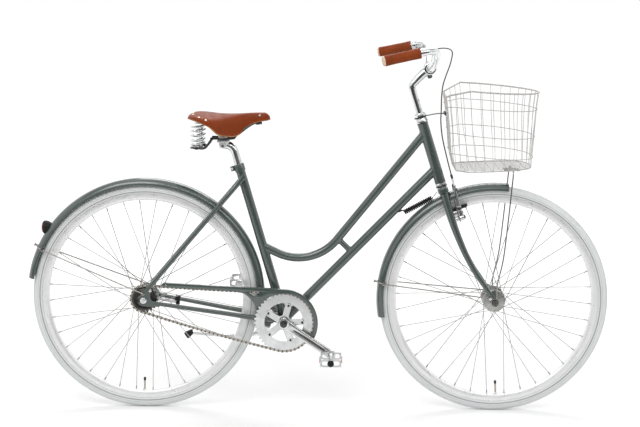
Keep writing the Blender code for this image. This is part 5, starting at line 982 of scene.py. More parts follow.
def build_frame():
    """Main tubes, mitred onto each other, with the headset and bottom bracket."""
    met = tube_ends()
    piece("head_tube_body", "frame", PAINT, on_steerer(mm(15, 390, 16.3, 390.2, 17.2, 391.2, 17.2, 394.5,
        16.5, 397.5, 16.5, 572, 17.2, 574.5, 17.2, 578, 16.3, 578.8, 15, 579), 64), stands_for="head_tube")
    lower = on_steerer(mm(15, 378.5, 15.8, 378.7, 17.6, 383, 18.6, 385, 18.7, 389, 15, 389.9), 64)
    upper = on_steerer(mm(15, 579.1, 18.7, 580, 18.8, 584.5, 17.5, 588, 16, 593.3, 15, 593.5), 64)
    piece("headset_cups", "frame", CHROME, lower, upper)
    # painted shade: a black ring fills the gap between the lower cup and the crown race, standing for its
    # shadow
    piece("lower_headset_gap_shade", "frame", RUBBER, on_steerer(mm(14.8, 377.8, 17, 377.9, 17.3, 378.6, 15,
        378.7), 48))

    down_head = steer(0.4335)
    down_way = unit(down_head - BB)
    piece("top_tube_body", "frame", PAINT, mitred(top_tube_line(), 0.013, 36, met["seat"], met["head"], LEFT),
        stands_for="top_tube")
    piece("down_tube_body", "frame", PAINT, mitred(straight(BB, down_head, 16), 0.014, 36, met["shell"],
        met["head"], LEFT), stands_for="down_tube")
    foot = BB + down_way * 0.292
    square = np.array((-down_way[2], 0.0, down_way[0]))
    line = top_tube_line()
    rise = unit(line[-1] - line[-3])
    piece("cross_brace_body", "frame", PAINT, mitred(straight(foot, foot + square * 0.06, 8), 0.009, 28,
        (BB, down_way, 0.014), (line[-1], rise, 0.013), LEFT), stands_for="cross_brace")

    tube_wall = mm(13.4, 10, 14.3, 14.5, 14.3, 474, 16.6, 475.2, 16.6, 495.5, 16, 496.8, 13.4, 497)
    ears = [block(seat(0.4885, -0.0205, y * 0.0048), (0.012, 0.0075, 0.015), (SEAT_FWD, LEFT, SEAT_UP),
        0.0012) for y in (1, -1)]
    piece("seat_tube_body", "frame", PAINT, revolve(tube_wall, BB, SEAT_UP, 64, closed=True), *ears,
        stands_for="seat_tube")
    pin = seat(0.4885, -0.0223)
    piece("seat_binder_bolt", "frame", CHROME, revolve(mm(2.8, -13, 2.8, 13), pin, LEFT, 16),
        dome(pin - LEFT * 0.009, -LEFT, 0.0052, 0.0045), bolt(pin + LEFT * 0.0092, LEFT, 0.0048, 0.0042))
    piece("seat_tube_band", "frame", ALLOY, revolve(mm(14, 86.5, 15, 86.8, 15.2, 88, 15.2, 91, 15, 92.2, 14,
        92.5), BB, SEAT_UP, 48))

    shell = mm(16.5, 34, 19.6, 33.8, 20.5, 32.5, 20.5, 29, 20, 28.2, 20, -28.2, 20.5, -29, 20.5, -32.5, 19.6,
        -33.8, 16.5, -34)
    piece("bottom_bracket_body", "frame", PAINT, revolve(shell, BB, LEFT, 64),
        stands_for="bottom_bracket_shell")
    piece("bottom_bracket_cups", "frame", DARK_STEEL,
        *[revolve(mm(9.5, 33.8, 19, 34.2, 19, 35.2, 17.2, 35.6, 17, 36.6, 9.5, 36.8), BB, LEFT * y, 32)
        for y in (1, -1)])


STAY_END = REAR_HUB + (0.044, 0, -0.0125)


def stay_line(points, radius_start, radius_end, count=48):
    """Even path through the points, and a radius that tapers along it."""
    path = even(spline(points, count * 2), count)
    return path, np.linspace(radius_start, radius_end, count)


def arc2(centre, radius, start, end, count):
    """Flat arc: centre + radius (cos, sin)."""
    turn = np.radians(np.linspace(start, end, count))
    return flat_polar(radius, turn) + centre


def dropout_shape():
    """Rear dropout about the axle: a rounded lug with its slot open to the rear."""
    slot = AXLE_SLOT_R
    return np.vstack([[(-0.0172, slot), (-0.009, slot), (0.0, slot)], arc2((0, 0), slot, 60, -60, 9),
        [(0.0, -slot), (-0.009, -slot), (-0.0172, -slot)], arc2((0, 0), 0.018, 200, 268, 9),
        spline(mm(6, -19, 30, -20.2, 48, -19.6, 56, -12), 9),
        spline(mm(56, -6.8, 38, -5, 25, -0.5, 20.5, 11, 22.5, 29, 23, 42), 13), mm(13, 40),
        arc2((0, 0), 0.018, 116, 160, 7)])


def build_stays():
    """Chainstays and seatstays, with the dropouts and the bridges."""
    lug = dropout_shape()
    for side, y in SIDES:
        low = [BB + (-0.006, 0.029 * y, 0.002), BB + (-0.092, 0.0305 * y, 0.0105),
            BB + (-0.17, 0.035 * y, 0.023), BB + (-0.27, 0.045 * y, 0.039), STAY_END + (0.0, 0.0545 * y, 0.0),
            STAY_END + (-0.012, 0.0578 * y, 0.002)]
        path, radii = stay_line(low, 0.0082, 0.0062)
        plane = plate(lug, 0.005, REAR_HUB + LEFT * y * 0.06, ACROSS, UP, 0.0008)
        parts = [mitred(path, radii, 28, (BB, LEFT, 0.02), None, UP), plane]
        bridge_r = REAR_FENDER_R + 0.0003 + 0.005 + 0.0006
        if side == "left":
            bridge = polar(REAR_HUB, bridge_r, -8.4)
            parts.append(revolve(mm(5, -23.5, 5, 29), bridge, LEFT, 24))
        piece("chainstay_%s_body" % side, "frame", PAINT, *parts, stands_for="chainstay_" + side)

        top = seat(0.453)
        foot = REAR_HUB + (0.0195, 0.0, 0.0405)
        way = unit(foot - top)
        high = [top - way * 0.01 + LEFT * y * 0.0205, top + way * 0.03 + LEFT * y * 0.0245,
            top + way * 0.085 + LEFT * y * 0.0345, top + way * 0.2 + LEFT * y * 0.043,
            top + way * 0.33 + LEFT * y * 0.053, foot + LEFT * y * 0.0572,
            foot + way * 0.01 + LEFT * y * 0.059]
        path, radii = stay_line(high, 0.008, 0.0062)
        flat = np.linspace(0.2, 1.0, 6)
        squash = np.ones(len(path))
        squash[:6], squash[-6:] = flat, np.linspace(1.0, 0.75, 6)
        loops = circle(28)[None] * radii[:, None, None] * np.stack([squash, np.ones(len(path))], -1)[:, None]
        parts = [sweep(path, loops, UP)]
        if side == "left":
            towards = float(np.dot(REAR_HUB - top, way))
            aside = float(np.sum((REAR_HUB - top) ** 2)) - towards ** 2
            bridge = top + way * (towards - math.sqrt(bridge_r ** 2 - aside))
            parts.append(revolve(mm(5, -26.2, 5, 32), bridge, LEFT, 24))
        piece("seatstay_%s_body" % side, "frame", PAINT, *parts, stands_for="seatstay_" + side)
    bosses = [revolve(mm(4, 0, 4, 6, 3, 6.6), REAR_HUB + (0.0215, y * 0.062, 0.03), LEFT * y, 18)
        for y in (1, -1)]
    heads = [bolt(REAR_HUB + (-0.001, y * 0.0628, 0.015) + np.array((0.0, 0.0, 0.005)), LEFT * y, 0.0032,
        0.003, 0.0014) for y in (1, -1)]
    piece("dropout_screws", "frame", CHROME, *bosses, *heads)


def build_coaster():
    """Reaction arm of the foot brake with its black clip round the left chainstay."""
    y = 0.0478
    outline = np.vstack([arc2((0, 0), 0.016, 20, 290, 25),
        spline(mm(12, -18.5, 36, -26.2, 82, -34.5, 94, -33.8), 12), arc2((0.0935, -0.0295), 0.004, -70, 80,
        7), spline(mm(90, -26, 60, -22.5, 36, -18, 18, -8), 10)])
    cone = revolve(mm(8, 0, 15, 0.4, 15, 1.8, 10, 3, 8, 3.2), REAR_HUB + LEFT * (y + 0.0012), LEFT, 32)
    piece("coaster_arm_plate", "frame", ALLOY, plate(outline, 0.003, REAR_HUB + LEFT * y, ACROSS, UP, 0.0006),
        cone, stands_for="coaster_brake_arm")
    low = [BB + (-0.17, 0.035, 0.023), BB + (-0.27, 0.045, 0.039), STAY_END + (0.0, 0.0545, 0.0)]
    path = even(spline(low, 60), 60)
    near = int(np.argmin(np.abs(path[:, 0] - (REAR_HUB[0] + 0.09))))
    strap = sweep(path[near - 2:near + 3], circle(24) * 0.0088, UP)
    tail = block(path[near] + (0.0, -0.002, -0.0135), (0.012, 0.01, 0.012), bevel=0.002)
    piece("coaster_arm_clip", "frame", PLASTIC, strap, tail, bolt(path[near] + (0.0, -0.007, -0.015), -LEFT,
        0.0034, 0.003))


# Fenders

def fender_grid(hub, radius, arc, steps):
    """Thin arched wall swept round the wheel: outer arch, then the inner one back again."""
    t = np.linspace(math.pi / 2, -math.pi / 2, 27)
    outer = np.column_stack([radius - FENDER_DEPTH * (1 - np.cos(t)), FENDER_HALF_W * np.sin(t)])
    inner = np.column_stack([radius - FENDER_THICK - 0.0196 * (1 - np.cos(t[::-1])),
        0.0229 * np.sin(t[::-1])])
    return revolve(np.vstack([outer, inner]), hub, -LEFT, steps, arc=arc, towards=ACROSS)


def fender(name, body, hub, radius, arc, node):
    """Fender: the arched wall with a rolled edge on both sides and at both ends."""
    rolls = []
    for y in (1, -1):
        turn = np.linspace(arc[0], arc[1], 121)
        rolls.append(tube(polar(hub, radius - FENDER_DEPTH, turn, y * 0.0237), 0.0014, 8, towards=LEFT))
    ends = []
    t = np.linspace(math.pi / 2, -math.pi / 2, 25)
    for degrees in arc:
        ends.append(tube(polar(hub, radius - FENDER_THICK - FENDER_DEPTH * (1 - np.cos(t)), degrees,
            0.0237 * np.sin(t)), 0.0011, 8, towards=ray(degrees + 90)))
    piece(name, body, PAINT, fender_grid(hub, radius, arc, 121), *rolls, *ends, stands_for=node, smooth=50)


def stay_wires(name, body, hub, radius, degrees, eyelet, eyelet_y, node):
    """Stay: up from the dropouts on both sides and over the fender, with its bolt, eyes and clamp."""
    clear = 0.0026
    t = np.linspace(-math.pi / 2, math.pi / 2, 13)
    over = polar(hub, radius + clear - (FENDER_DEPTH + clear) * (1 - np.cos(t)), degrees,
        (FENDER_HALF_W + clear) * np.sin(t))
    foot = polar(hub, radius - 0.034, degrees, 0.0285)
    right = hub + (eyelet[0], -eyelet_y, eyelet[1])
    left = hub + (eyelet[0], eyelet_y, eyelet[1])
    points = np.vstack([right, straight(right, foot * MIRROR, 9)[1:-1], foot * MIRROR, over, foot,
        straight(foot, left, 9)[1:]])
    parts = [tube(even(points, 150), 0.002, 12, towards=ray(degrees + 90))]
    for y, end in ((-1, right), (1, left)):
        parts.append(revolve(mm(3, -0.9, 5.6, -1, 5.6, 1, 3, 1.1), end, LEFT * y, 24))
        parts.append(bolt(end + LEFT * y * 0.001, LEFT * y, 0.0034, 0.003))
    crown = polar(hub, radius + 0.0004, degrees)
    out = ray(degrees)
    parts.append(revolve(mm(3.4, 0, 3.4, 7.2, 5, 7.4, 5, 10.4, 4, 11.2), crown, out, 18))
    for y in (1, -1):
        parts.append(block(polar(hub, radius - 0.0195, degrees, y * 0.0262), (0.01, 0.0055, 0.012),
            (ray(degrees + 90), LEFT, out), 0.001))
    piece(name, body, STAY_WIRE, *parts, stands_for=node)


def build_fenders():
    """Both fenders with their wire stays, and the tail light."""
    fender("rear_fender_arch", "frame", REAR_HUB, REAR_FENDER_R, (-5.5, 171.0), "rear_fender")
    fender("front_fender_arch", "steering", FRONT_HUB, FRONT_FENDER_R, (83.5, 189.4), "front_fender")
    stay_wires("rear_fender_wires", "frame", REAR_HUB, REAR_FENDER_R, 155.2, (-0.001, 0.02), 0.065,
        "rear_fender_stay")
    stay_wires("front_fender_wires", "steering", FRONT_HUB, FRONT_FENDER_R, 171.9, (-0.015, 0.013), 0.0578,
        "front_fender_stay")
    middle = at(-0.733, 0.556)
    away = np.array((-1.0, 0.0, 0.0))
    piece("taillight_body", "frame", PLASTIC, revolve(mm(18.2, 1.2, 19.4, 1, 20, -1, 20, -7, 19, -11.5, 16,
        -17.5, 13, -23), middle, away, 48), stands_for="taillight_housing", slot="black_steel")
    t = np.linspace(0.05, math.pi / 2, 10)
    lens = np.column_stack([0.0178 * np.sin(t[::-1]), 0.0016 + 0.0064 * np.cos(t[::-1])])
    piece("taillight_glass", "frame", LENS, revolve(np.vstack([mm(17.8, 0.6), lens]), middle, away, 48),
        stands_for="taillight_lens")


# Drive

def pitch_radius(teeth):
    """Radius of the chain's pins round a wheel of the drive."""
    return PITCH / 2 / math.sin(math.pi / teeth)


def sprocket_outline(teeth, first_gap, tip=0.0024, root=0.0045, per_tooth=10):
    """Radius against angle: smooth teeth, root at each pin and a rounded tip between two pins."""
    pitch_r = pitch_radius(teeth)
    count = teeth * per_tooth
    phase = np.linspace(0, FULL_TURN * teeth, count, endpoint=False)
    rise = (0.5 - 0.5 * np.cos(phase)) ** 0.8
    radius = pitch_r - root + (root + tip) * rise
    turn = first_gap + phase / teeth
    return flat_polar(radius, turn), turn


def chain_path():
    """Pins of the closed chain: round the ring, below, round the sprocket, above; the runs sag a little."""
    ring_r = pitch_radius(RING_TEETH)
    cog_r = pitch_radius(COG_TEETH)
    line = REAR_HUB - BB
    reach = np.linalg.norm(line)
    base = math.atan2(line[2], line[0])
    lean = math.acos((ring_r - cog_r) / reach)
    run = math.sqrt(reach ** 2 - (ring_r - cog_r) ** 2)
    slack = LINKS * PITCH - ((FULL_TURN - 2 * lean) * ring_r + 2 * lean * cog_r + 2 * run)
    low_sag = math.sqrt(max(slack, 0.0001) * 0.92 * 3 * run / 8)
    high_sag = math.sqrt(max(slack, 0.0001) * 0.08 * 3 * run / 8)
    lower, upper = base + lean, base - lean
    t = np.linspace(0, 1, 400, endpoint=False)

    def on(centre, radius, turn):
        turn = np.asarray(turn)
        return np.stack([centre[0] + radius * np.cos(turn), centre[2] + radius * np.sin(turn)], -1)

    def run_of(a, b, sag):
        return a + (b - a) * t[:, None] - np.stack([t * 0, 4 * sag * t * (1 - t)], -1)

    route = np.vstack([on(BB, ring_r, upper - t * (FULL_TURN - 2 * lean)), run_of(on(BB, ring_r, lower),
        on(REAR_HUB, cog_r, lower), low_sag), on(REAR_HUB, cog_r, lower - t * 2 * lean),
        run_of(on(REAR_HUB, cog_r, upper), on(BB, ring_r, upper), high_sag)])
    return even(route, LINKS, closed=True)


def pin_angle(pins, centre, side):
    """Angle of the chain's outermost pin about a wheel of the drive."""
    nearest = pins[np.argmax((pins[:, 0] - centre[0]) * side)]
    return math.atan2(nearest[1] - centre[2], nearest[0] - centre[0])


def link_plate(length, waist, end, thick):
    """Side plate of a link: two round ends of one pitch apart with a narrow waist between them."""
    turn = evenly(20)
    x = np.cos(turn) * (length / 2 + end)
    half = end - (end - waist) * np.exp(-(x / (length * 0.3)) ** 2)
    edge = np.sqrt(np.clip(1 - np.clip((np.abs(x) - length / 2) / end, 0, 1) ** 2, 0.0, 1))
    z = np.sign(np.sin(turn)) * half * edge
    return plate(np.column_stack([x, z]), thick, np.zeros(3), ACROSS, UP, 0.00015)


def build_chain():
    """Chain: outer and inner plates in turn, with a roller and a rivet at each pin."""
    pins = chain_path()
    nxt = np.roll(pins, -1, axis=0)
    middle = (pins + nxt) / 2
    way = unit(nxt - pins)
    turns = np.zeros((LINKS, 3, 3))
    turns[:, 0, 0], turns[:, 2, 0] = way[:, 0], way[:, 1]
    turns[:, 0, 2], turns[:, 2, 2] = -way[:, 1], way[:, 0]
    turns[:, 1, 1] = 1.0
    spots = np.stack([middle[:, 0], np.full(LINKS, CHAINLINE), middle[:, 1]], -1)
    side_plate = link_plate(PITCH, 0.0022, 0.0043, 0.0009)
    shapes = []
    for first, y in ((0, 0.0032), (1, 0.0022)):
        for side in (1, -1):
            shapes.append(repeat(side_plate, turns[first::2], spots[first::2] + LEFT * y * side))
    pin_spots = np.stack([pins[:, 0], np.full(LINKS, CHAINLINE), pins[:, 1]], -1)
    rivet = revolve(mm(2, -4.3, 2.7, -3.9, 2.7, 3.9, 2, 4.3), np.zeros(3), LEFT, 10)
    roller = revolve(mm(3.7, -1.6, 3.9, -1.3, 3.9, 1.3, 3.7, 1.6), np.zeros(3), LEFT, 12)
    piece("chain_links", "frame", CHAIN_METAL, *shapes, stands_for="chain", smooth=30)
    piece("chain_rollers", "frame", DARK_STEEL, repeat(roller, UNTURNED, pin_spots), slot="chain_steel")
    piece("chain_rivets", "frame", DARK_STEEL, repeat(rivet, UNTURNED, pin_spots), slot="chain_steel")


def chainring_hole(turn):
    """Inside edge of the chainring: a wide circle with a finger towards each of the five arms."""
    off = np.min(np.abs((turn[:, None] - SPIDER_ARMS[None] + math.pi) % FULL_TURN - math.pi), axis=1)
    rise = 1 / (1 + np.exp((off - 0.165) * 60))
    return 0.059 - (0.059 - 0.048) * rise


def build_crankset():
    """Chainring, five-arm spider with its bolts, cranks and spindle."""
    pins = chain_path()
    outer, turn = sprocket_outline(RING_TEETH, pin_angle(pins, BB, 1))
    hole = flat_polar(chainring_hole(turn), turn)
    middle = BB + LEFT * CHAINLINE
    ring = plate(outer, 0.0026, middle, ACROSS, UP, 0.0005, inner=hole)
    lip_at = 0.0805
    lip = revolve([(lip_at, 0.0013), (lip_at, 0.0019), (0.064, 0.0019), (0.064, 0.0013)], middle, -LEFT, 120,
        closed=True)
    piece("chainring_plate", "crankset", ALLOY, ring, lip, stands_for="chainring", smooth=30)

    outline = []
    for arm in SPIDER_ARMS:
        half = np.array((0.5, 0.4, 0.3, 0.24, 0.2, 0.15, 0.085, 0.0))
        reach = np.array((0.0225, 0.0255, 0.033, 0.042, 0.05, 0.0565, 0.06, 0.061))
        angle = np.concatenate([-half, half[::-1][1:]]) + arm
        radius = np.concatenate([reach, reach[::-1][1:]])
        outline.append(flat_polar(radius, angle))
    spider = plate(even(spline(np.vstack(outline), 600, closed=True), 400, closed=True), 0.005,
        BB + LEFT * -0.0471, ACROSS, UP, 0.0012)
    piece("crank_spider", "crankset", ALLOY, spider, smooth=30)
    heads = [dome(polar(BB, BOLT_CIRCLE_R, math.degrees(a), -0.0496), -LEFT, 0.003, 0.0012)
        for a in SPIDER_ARMS]
    nuts = [dome(polar(BB, BOLT_CIRCLE_R, math.degrees(a), -0.0416), LEFT, 0.0048, 0.0014)
        for a in SPIDER_ARMS]
    piece("chainring_bolts", "crankset", BLACK, *heads, *nuts)
    rings = [revolve(mm(3, 0, 5.4, 0, 5.6, 0.8, 5, 1.6, 3.4, 1.4), polar(BB, BOLT_CIRCLE_R, math.degrees(a),
        -0.0496), -LEFT, 24, closed=True) for a in SPIDER_ARMS]
    piece("chainring_bolt_rings", "crankset", CHROME, *rings)

    for side, y, angle in CRANKS:
        out = np.array((math.cos(angle), 0.0, math.sin(angle)))
        square = np.array((-math.sin(angle), 0.0, math.cos(angle)))
        run = np.linspace(-0.004, 0.17, 40)
        wide = np.interp(run, (-0.004, 0.014, 0.04, 0.1, 0.15, 0.17), (0.0166, 0.0162, 0.0142, 0.0128, 0.013,
            0.0132))
        thick = np.interp(run, (-0.004, 0.03, 0.1, 0.17), (0.0072, 0.0067, 0.0061, 0.006))
        middle = np.interp(run, (0.0, 0.17), (0.0565, 0.0685))
        path = BB + run[:, None] * out + (y * middle)[:, None] * LEFT
        loop = rounded(1.0, 1.0, 32, 4.0)
        across = scaled(loop, wide, thick)
        grid = path[:, None] + across[..., :1] * square + across[..., 1:] * LEFT
        groove = np.exp(-((run - 0.085) / 0.06) ** 8)[:, None] * 0.0012
        cut = groove * np.exp(-(loop[:, 0] / 0.42) ** 4)[None] * (loop[:, 1] * y > 0)
        grid = grid - cut[..., None] * LEFT * y
        boss = revolve(mm(10, 44.8, 16, 45, 16.6, 47, 16.8, 63, 15, 65.2, 11.2, 65.6, 10.5, 64), BB, LEFT * y,
            48)
        eye = revolve(mm(8.5, 61.8, 12.8, 62, 13.6, 63.4, 13.6, 73.8, 12.6, 75, 6, 75.2), BB + out * CRANK_L,
            LEFT * y, 40)
        pin = revolve(mm(7.4, 75.2, 7.4, 76.4, 4.2, 76.6, 4.2, 160), BB + out * CRANK_L, LEFT * y, 24)
        piece("crank_arm_" + side, "crankset", ALLOY, skin(grid), boss, eye, pin, stands_for="crank_" + side,
            smooth=40)
        along = unit(out * 0.17 + LEFT * y * 0.012)
        flute = plate(rounded(0.06, 0.004, 64, 5.0), 0.001, BB + out * 0.088 + square * 0.0012
            + LEFT * y * 0.068, along * y, square, 0.0003)
        piece("crank_flute_" + side, "crankset", DARK_STEEL, flute, slot="alloy")
        cap = revolve(mm(10.8, 60, 10.8, 65.4, 8.8, 66.4), BB, LEFT * y, 40)
        head = bolt(BB + LEFT * y * 0.0658, LEFT * y, 0.0074, 0.003)
        piece("crank_bolt_" + side, "crankset", BLACK, cap, head)
        piece("crank_bolt_ring_" + side, "crankset", CHROME,
            revolve(mm(11, 64, 12.8, 65, 12.8, 66, 11.2, 66.4, 10.8, 65.2), BB, LEFT * y, 36, closed=True))
    piece("spindle_bar", "crankset", DARK_STEEL, revolve(mm(8.4, -59, 8.4, 59), BB, LEFT, 24),
        stands_for="crank_spindle")
    build_pedals()


def build_pedals():
    """Cage pedals: barrel, two toothed plates, end webs, and reflectors in the cage."""
    for side, y, angle in CRANKS:
        eye = BB + np.array((math.cos(angle), 0.0, math.sin(angle))) * CRANK_L
        start, end = 0.0775, 0.168
        barrel = revolve([(0.006, start), (0.0098, start + 0.001), (0.01, start + 0.012),
            (0.0072, start + 0.02), (0.0068, end - 0.02), (0.009, end - 0.012), (0.0092, end - 0.001),
            (0.006, end)], eye, LEFT * y, 36)
        mid = (start + end) / 2
        parts = [barrel]
        for x in (0.03, -0.03):
            along = np.linspace(-0.043, 0.043, 87)
            height = 0.0108 + 0.0011 * np.sign(np.sin(along * 900))
            outline = np.vstack([np.column_stack([along, height]),
                np.column_stack([along[::-1], -height[::-1]])])
            origin = eye + ACROSS * x + LEFT * y * mid
            parts.append(plate(outline, 0.0018, origin, LEFT, UP, 0.0003))
        web, opening = rounded(0.016, 0.0112, 48, 3.6), rounded(0.0112, 0.0062, 48, 3.2)
        for off in (-0.04, 0.04):
            for x in (0.0152, -0.0152):
                parts.append(plate(web, 0.003, eye + ACROSS * x + LEFT * y * (mid + off), ACROSS, UP, 0.0006,
                    inner=opening))
        for x in (0.03, -0.03):
            for off in (-0.03, 0.03):
                parts.append(dome(eye + ACROSS * (x + math.copysign(0.0008, x)) + LEFT * y * (mid + off),
                    ACROSS * math.copysign(1, x), 0.0028, 0.0014, 14))
        piece("pedal_cage_" + side, "pedal_" + side, PEDAL_METAL, *parts, stands_for="pedal_" + side,
            smooth=30)
        cap = revolve([(0.0094, end - 0.004), (0.0098, end + 0.0004), (0.0086, end + 0.0018),
            (0.004, end + 0.0024)], eye, LEFT * y, 36)
        piece("pedal_cap_" + side, "pedal_" + side, PLASTIC, cap)
        lights = [block(eye + ACROSS * x + LEFT * y * mid, (0.0034, 0.042, 0.01), WORLD, 0.0008)
            for x in (0.0322, -0.0322)]
        piece("pedal_reflectors_" + side, "pedal_" + side, AMBER, *lights)


def build_sprocket():
    """Rear sprocket with its turned dish, driver and dust disc."""
    pins = chain_path()
    outer, turn = sprocket_outline(COG_TEETH, pin_angle(pins, REAR_HUB, -1))
    hole = flat_polar(0.0125, turn)
    middle = REAR_HUB + LEFT * CHAINLINE
    wheel_plate = plate(outer, 0.0026, middle, ACROSS, UP, 0.0005, inner=hole)
    t = np.linspace(0.033, 0.017, 33)
    grooves = 0.00035 * np.sin(t * 3200)
    profile = np.vstack([mm(12, 44.5, 33.5, 48, 33.8, 48.8),
        np.column_stack([t, 0.0492 + (0.033 - t) * 0.06 + grooves]), mm(16.8, 51.2, 16, 52.6, 12, 53, 9,
        53.2)])
    disc = revolve(profile, REAR_HUB, -LEFT, 96)
    driver = revolve(mm(15, 38.5, 15, 45), REAR_HUB, -LEFT, 40)
    piece("sprocket_dish", "rear_sprocket", DARK_STEEL, wheel_plate, disc, driver, stands_for="rear_sprocket",
        smooth=25)


def guard_outline():
    """Outline of the chain guard about the bottom bracket, its upper edge and its arc round the ring."""
    rear = REAR_HUB - BB
    rear = np.array((rear[0], rear[2]))
    tail_top, tail_low = rear + (0.06, 0.051), rear + (0.064, 0.0395)
    crest = arc2((0, 0), 0.102, 92, -33, 40)
    under = arc2((0, 0), 0.091, -33, 146, 50)
    shoulder, heel = np.array((-0.2, 0.1112)), np.array((-0.19, 0.0998))
    upper = np.vstack([straight(tail_top, shoulder, 14)[:-1], straight(shoulder, (-0.1, 0.108), 8)[:-1],
        spline([(-0.1, 0.108), (-0.06, 0.1068), (-0.03, 0.1044), crest[0]], 12)])
    curl = spline(np.vstack([under[-1:], mm(-83, 50, -96, 70, -116, 88, -142, 95.5), heel]), 40)
    lower = np.vstack([curl, straight(heel, tail_low, 14)[1:]])
    outline = np.vstack([upper, crest[1:], under, lower[1:], tail_low + (-0.012, 0.004)])
    outline = even(outline, 420, closed=True)
    return outline, upper, crest


def flat_fill(name, outline, window, thick, origin):
    """Sheet with a hole: its outline and window as a filled flat curve, made a mesh before use."""
    curve = bpy.data.curves.new(name + "_curve", "CURVE")
    curve.dimensions = "2D"
    curve.fill_mode = "BOTH"
    curve.extrude = thick / 2
    curve.bevel_depth = 0.0002
    curve.bevel_resolution = 1
    for loop in (outline, window):
        run = curve.splines.new("POLY")
        run.points.add(len(loop) - 1)
        flat = np.column_stack([loop, np.zeros(len(loop)), np.ones(len(loop))]).astype(np.float32)
        run.points.foreach_set("co", flat.ravel())
        run.use_cyclic_u = True
    holder = bpy.data.objects.new(name + "_holder", curve)
    bpy.context.scene.collection.objects.link(holder)
    mesh = bpy.data.meshes.new_from_object(holder.evaluated_get(bpy.context.evaluated_depsgraph_get()))
    bpy.data.objects.remove(holder)
    bpy.data.curves.remove(curve)
    count = len(mesh.vertices)
    points = np.empty(count * 3, np.float32)
    mesh.vertices.foreach_get("co", points)
    points = points.reshape(-1, 3)
    turned = np.stack([points[:, 0], points[:, 2], points[:, 1]], -1) + origin
    faces = [tuple(reversed(tuple(face.vertices))) for face in mesh.polygons]
    triangles = [np.array([(f[0], f[k], f[k + 1]) for k in range(1, len(f) - 1)]) for f in faces]
    bpy.data.meshes.remove(mesh)
    return weld(turned, np.vstack(triangles))


def weld(verts, triangles):
    """Joins the points that lie on one spot, and drops the triangles that this leaves without width."""
    keys = np.round(verts / 0.00001).astype(np.int64)
    _, first, back = np.unique(keys, axis=0, return_index=True, return_inverse=True)
    triangles = back.ravel()[triangles]
    fine = ((triangles[:, 0] != triangles[:, 1]) & (triangles[:, 1] != triangles[:, 2])
        & (triangles[:, 2] != triangles[:, 0]))
    return outward(verts[first], [triangles[fine]])


def build_guard():
    """Chain guard: a sheet with an open window, a turned-in upper lip and a bead round its edge."""
    outline, upper, crest = guard_outline()
    window = even(spline(mm(-108, 95.8, -96, 96.8, -80, 97.2, -69, 95.8, -74, 89.5, -81, 83.5, -88, 82, -97,
        86.2), 90, closed=True), 60, closed=True)
    sheet = flat_fill("guard", outline, window, 0.0013, BB + LEFT * GUARD_Y)
    edge = np.vstack([upper, crest[1:]])
    path = BB + np.column_stack([edge[:, 0], np.full(len(edge), GUARD_Y), edge[:, 1]])
    wall = rounded(0.0006, 0.0068, 16, 6.0) + (-0.0006, 0.006)
    lip = sweep(even(path, 140), wall, LEFT)
    bead = tube(BB + np.column_stack([outline[:, 0], np.full(len(outline), GUARD_Y), outline[:, 1]]), 0.0011,
        8, LEFT, closed=True)
    piece("chain_guard_plate", "frame", PAINT, sheet, lip, bead, stands_for="chain_guard", smooth=40)
    piece("guard_screw", "frame", STAY_WIRE, dome(BB + (-0.356, -0.0538, 0.1135), -LEFT, 0.0036, 0.0024))


# Steering

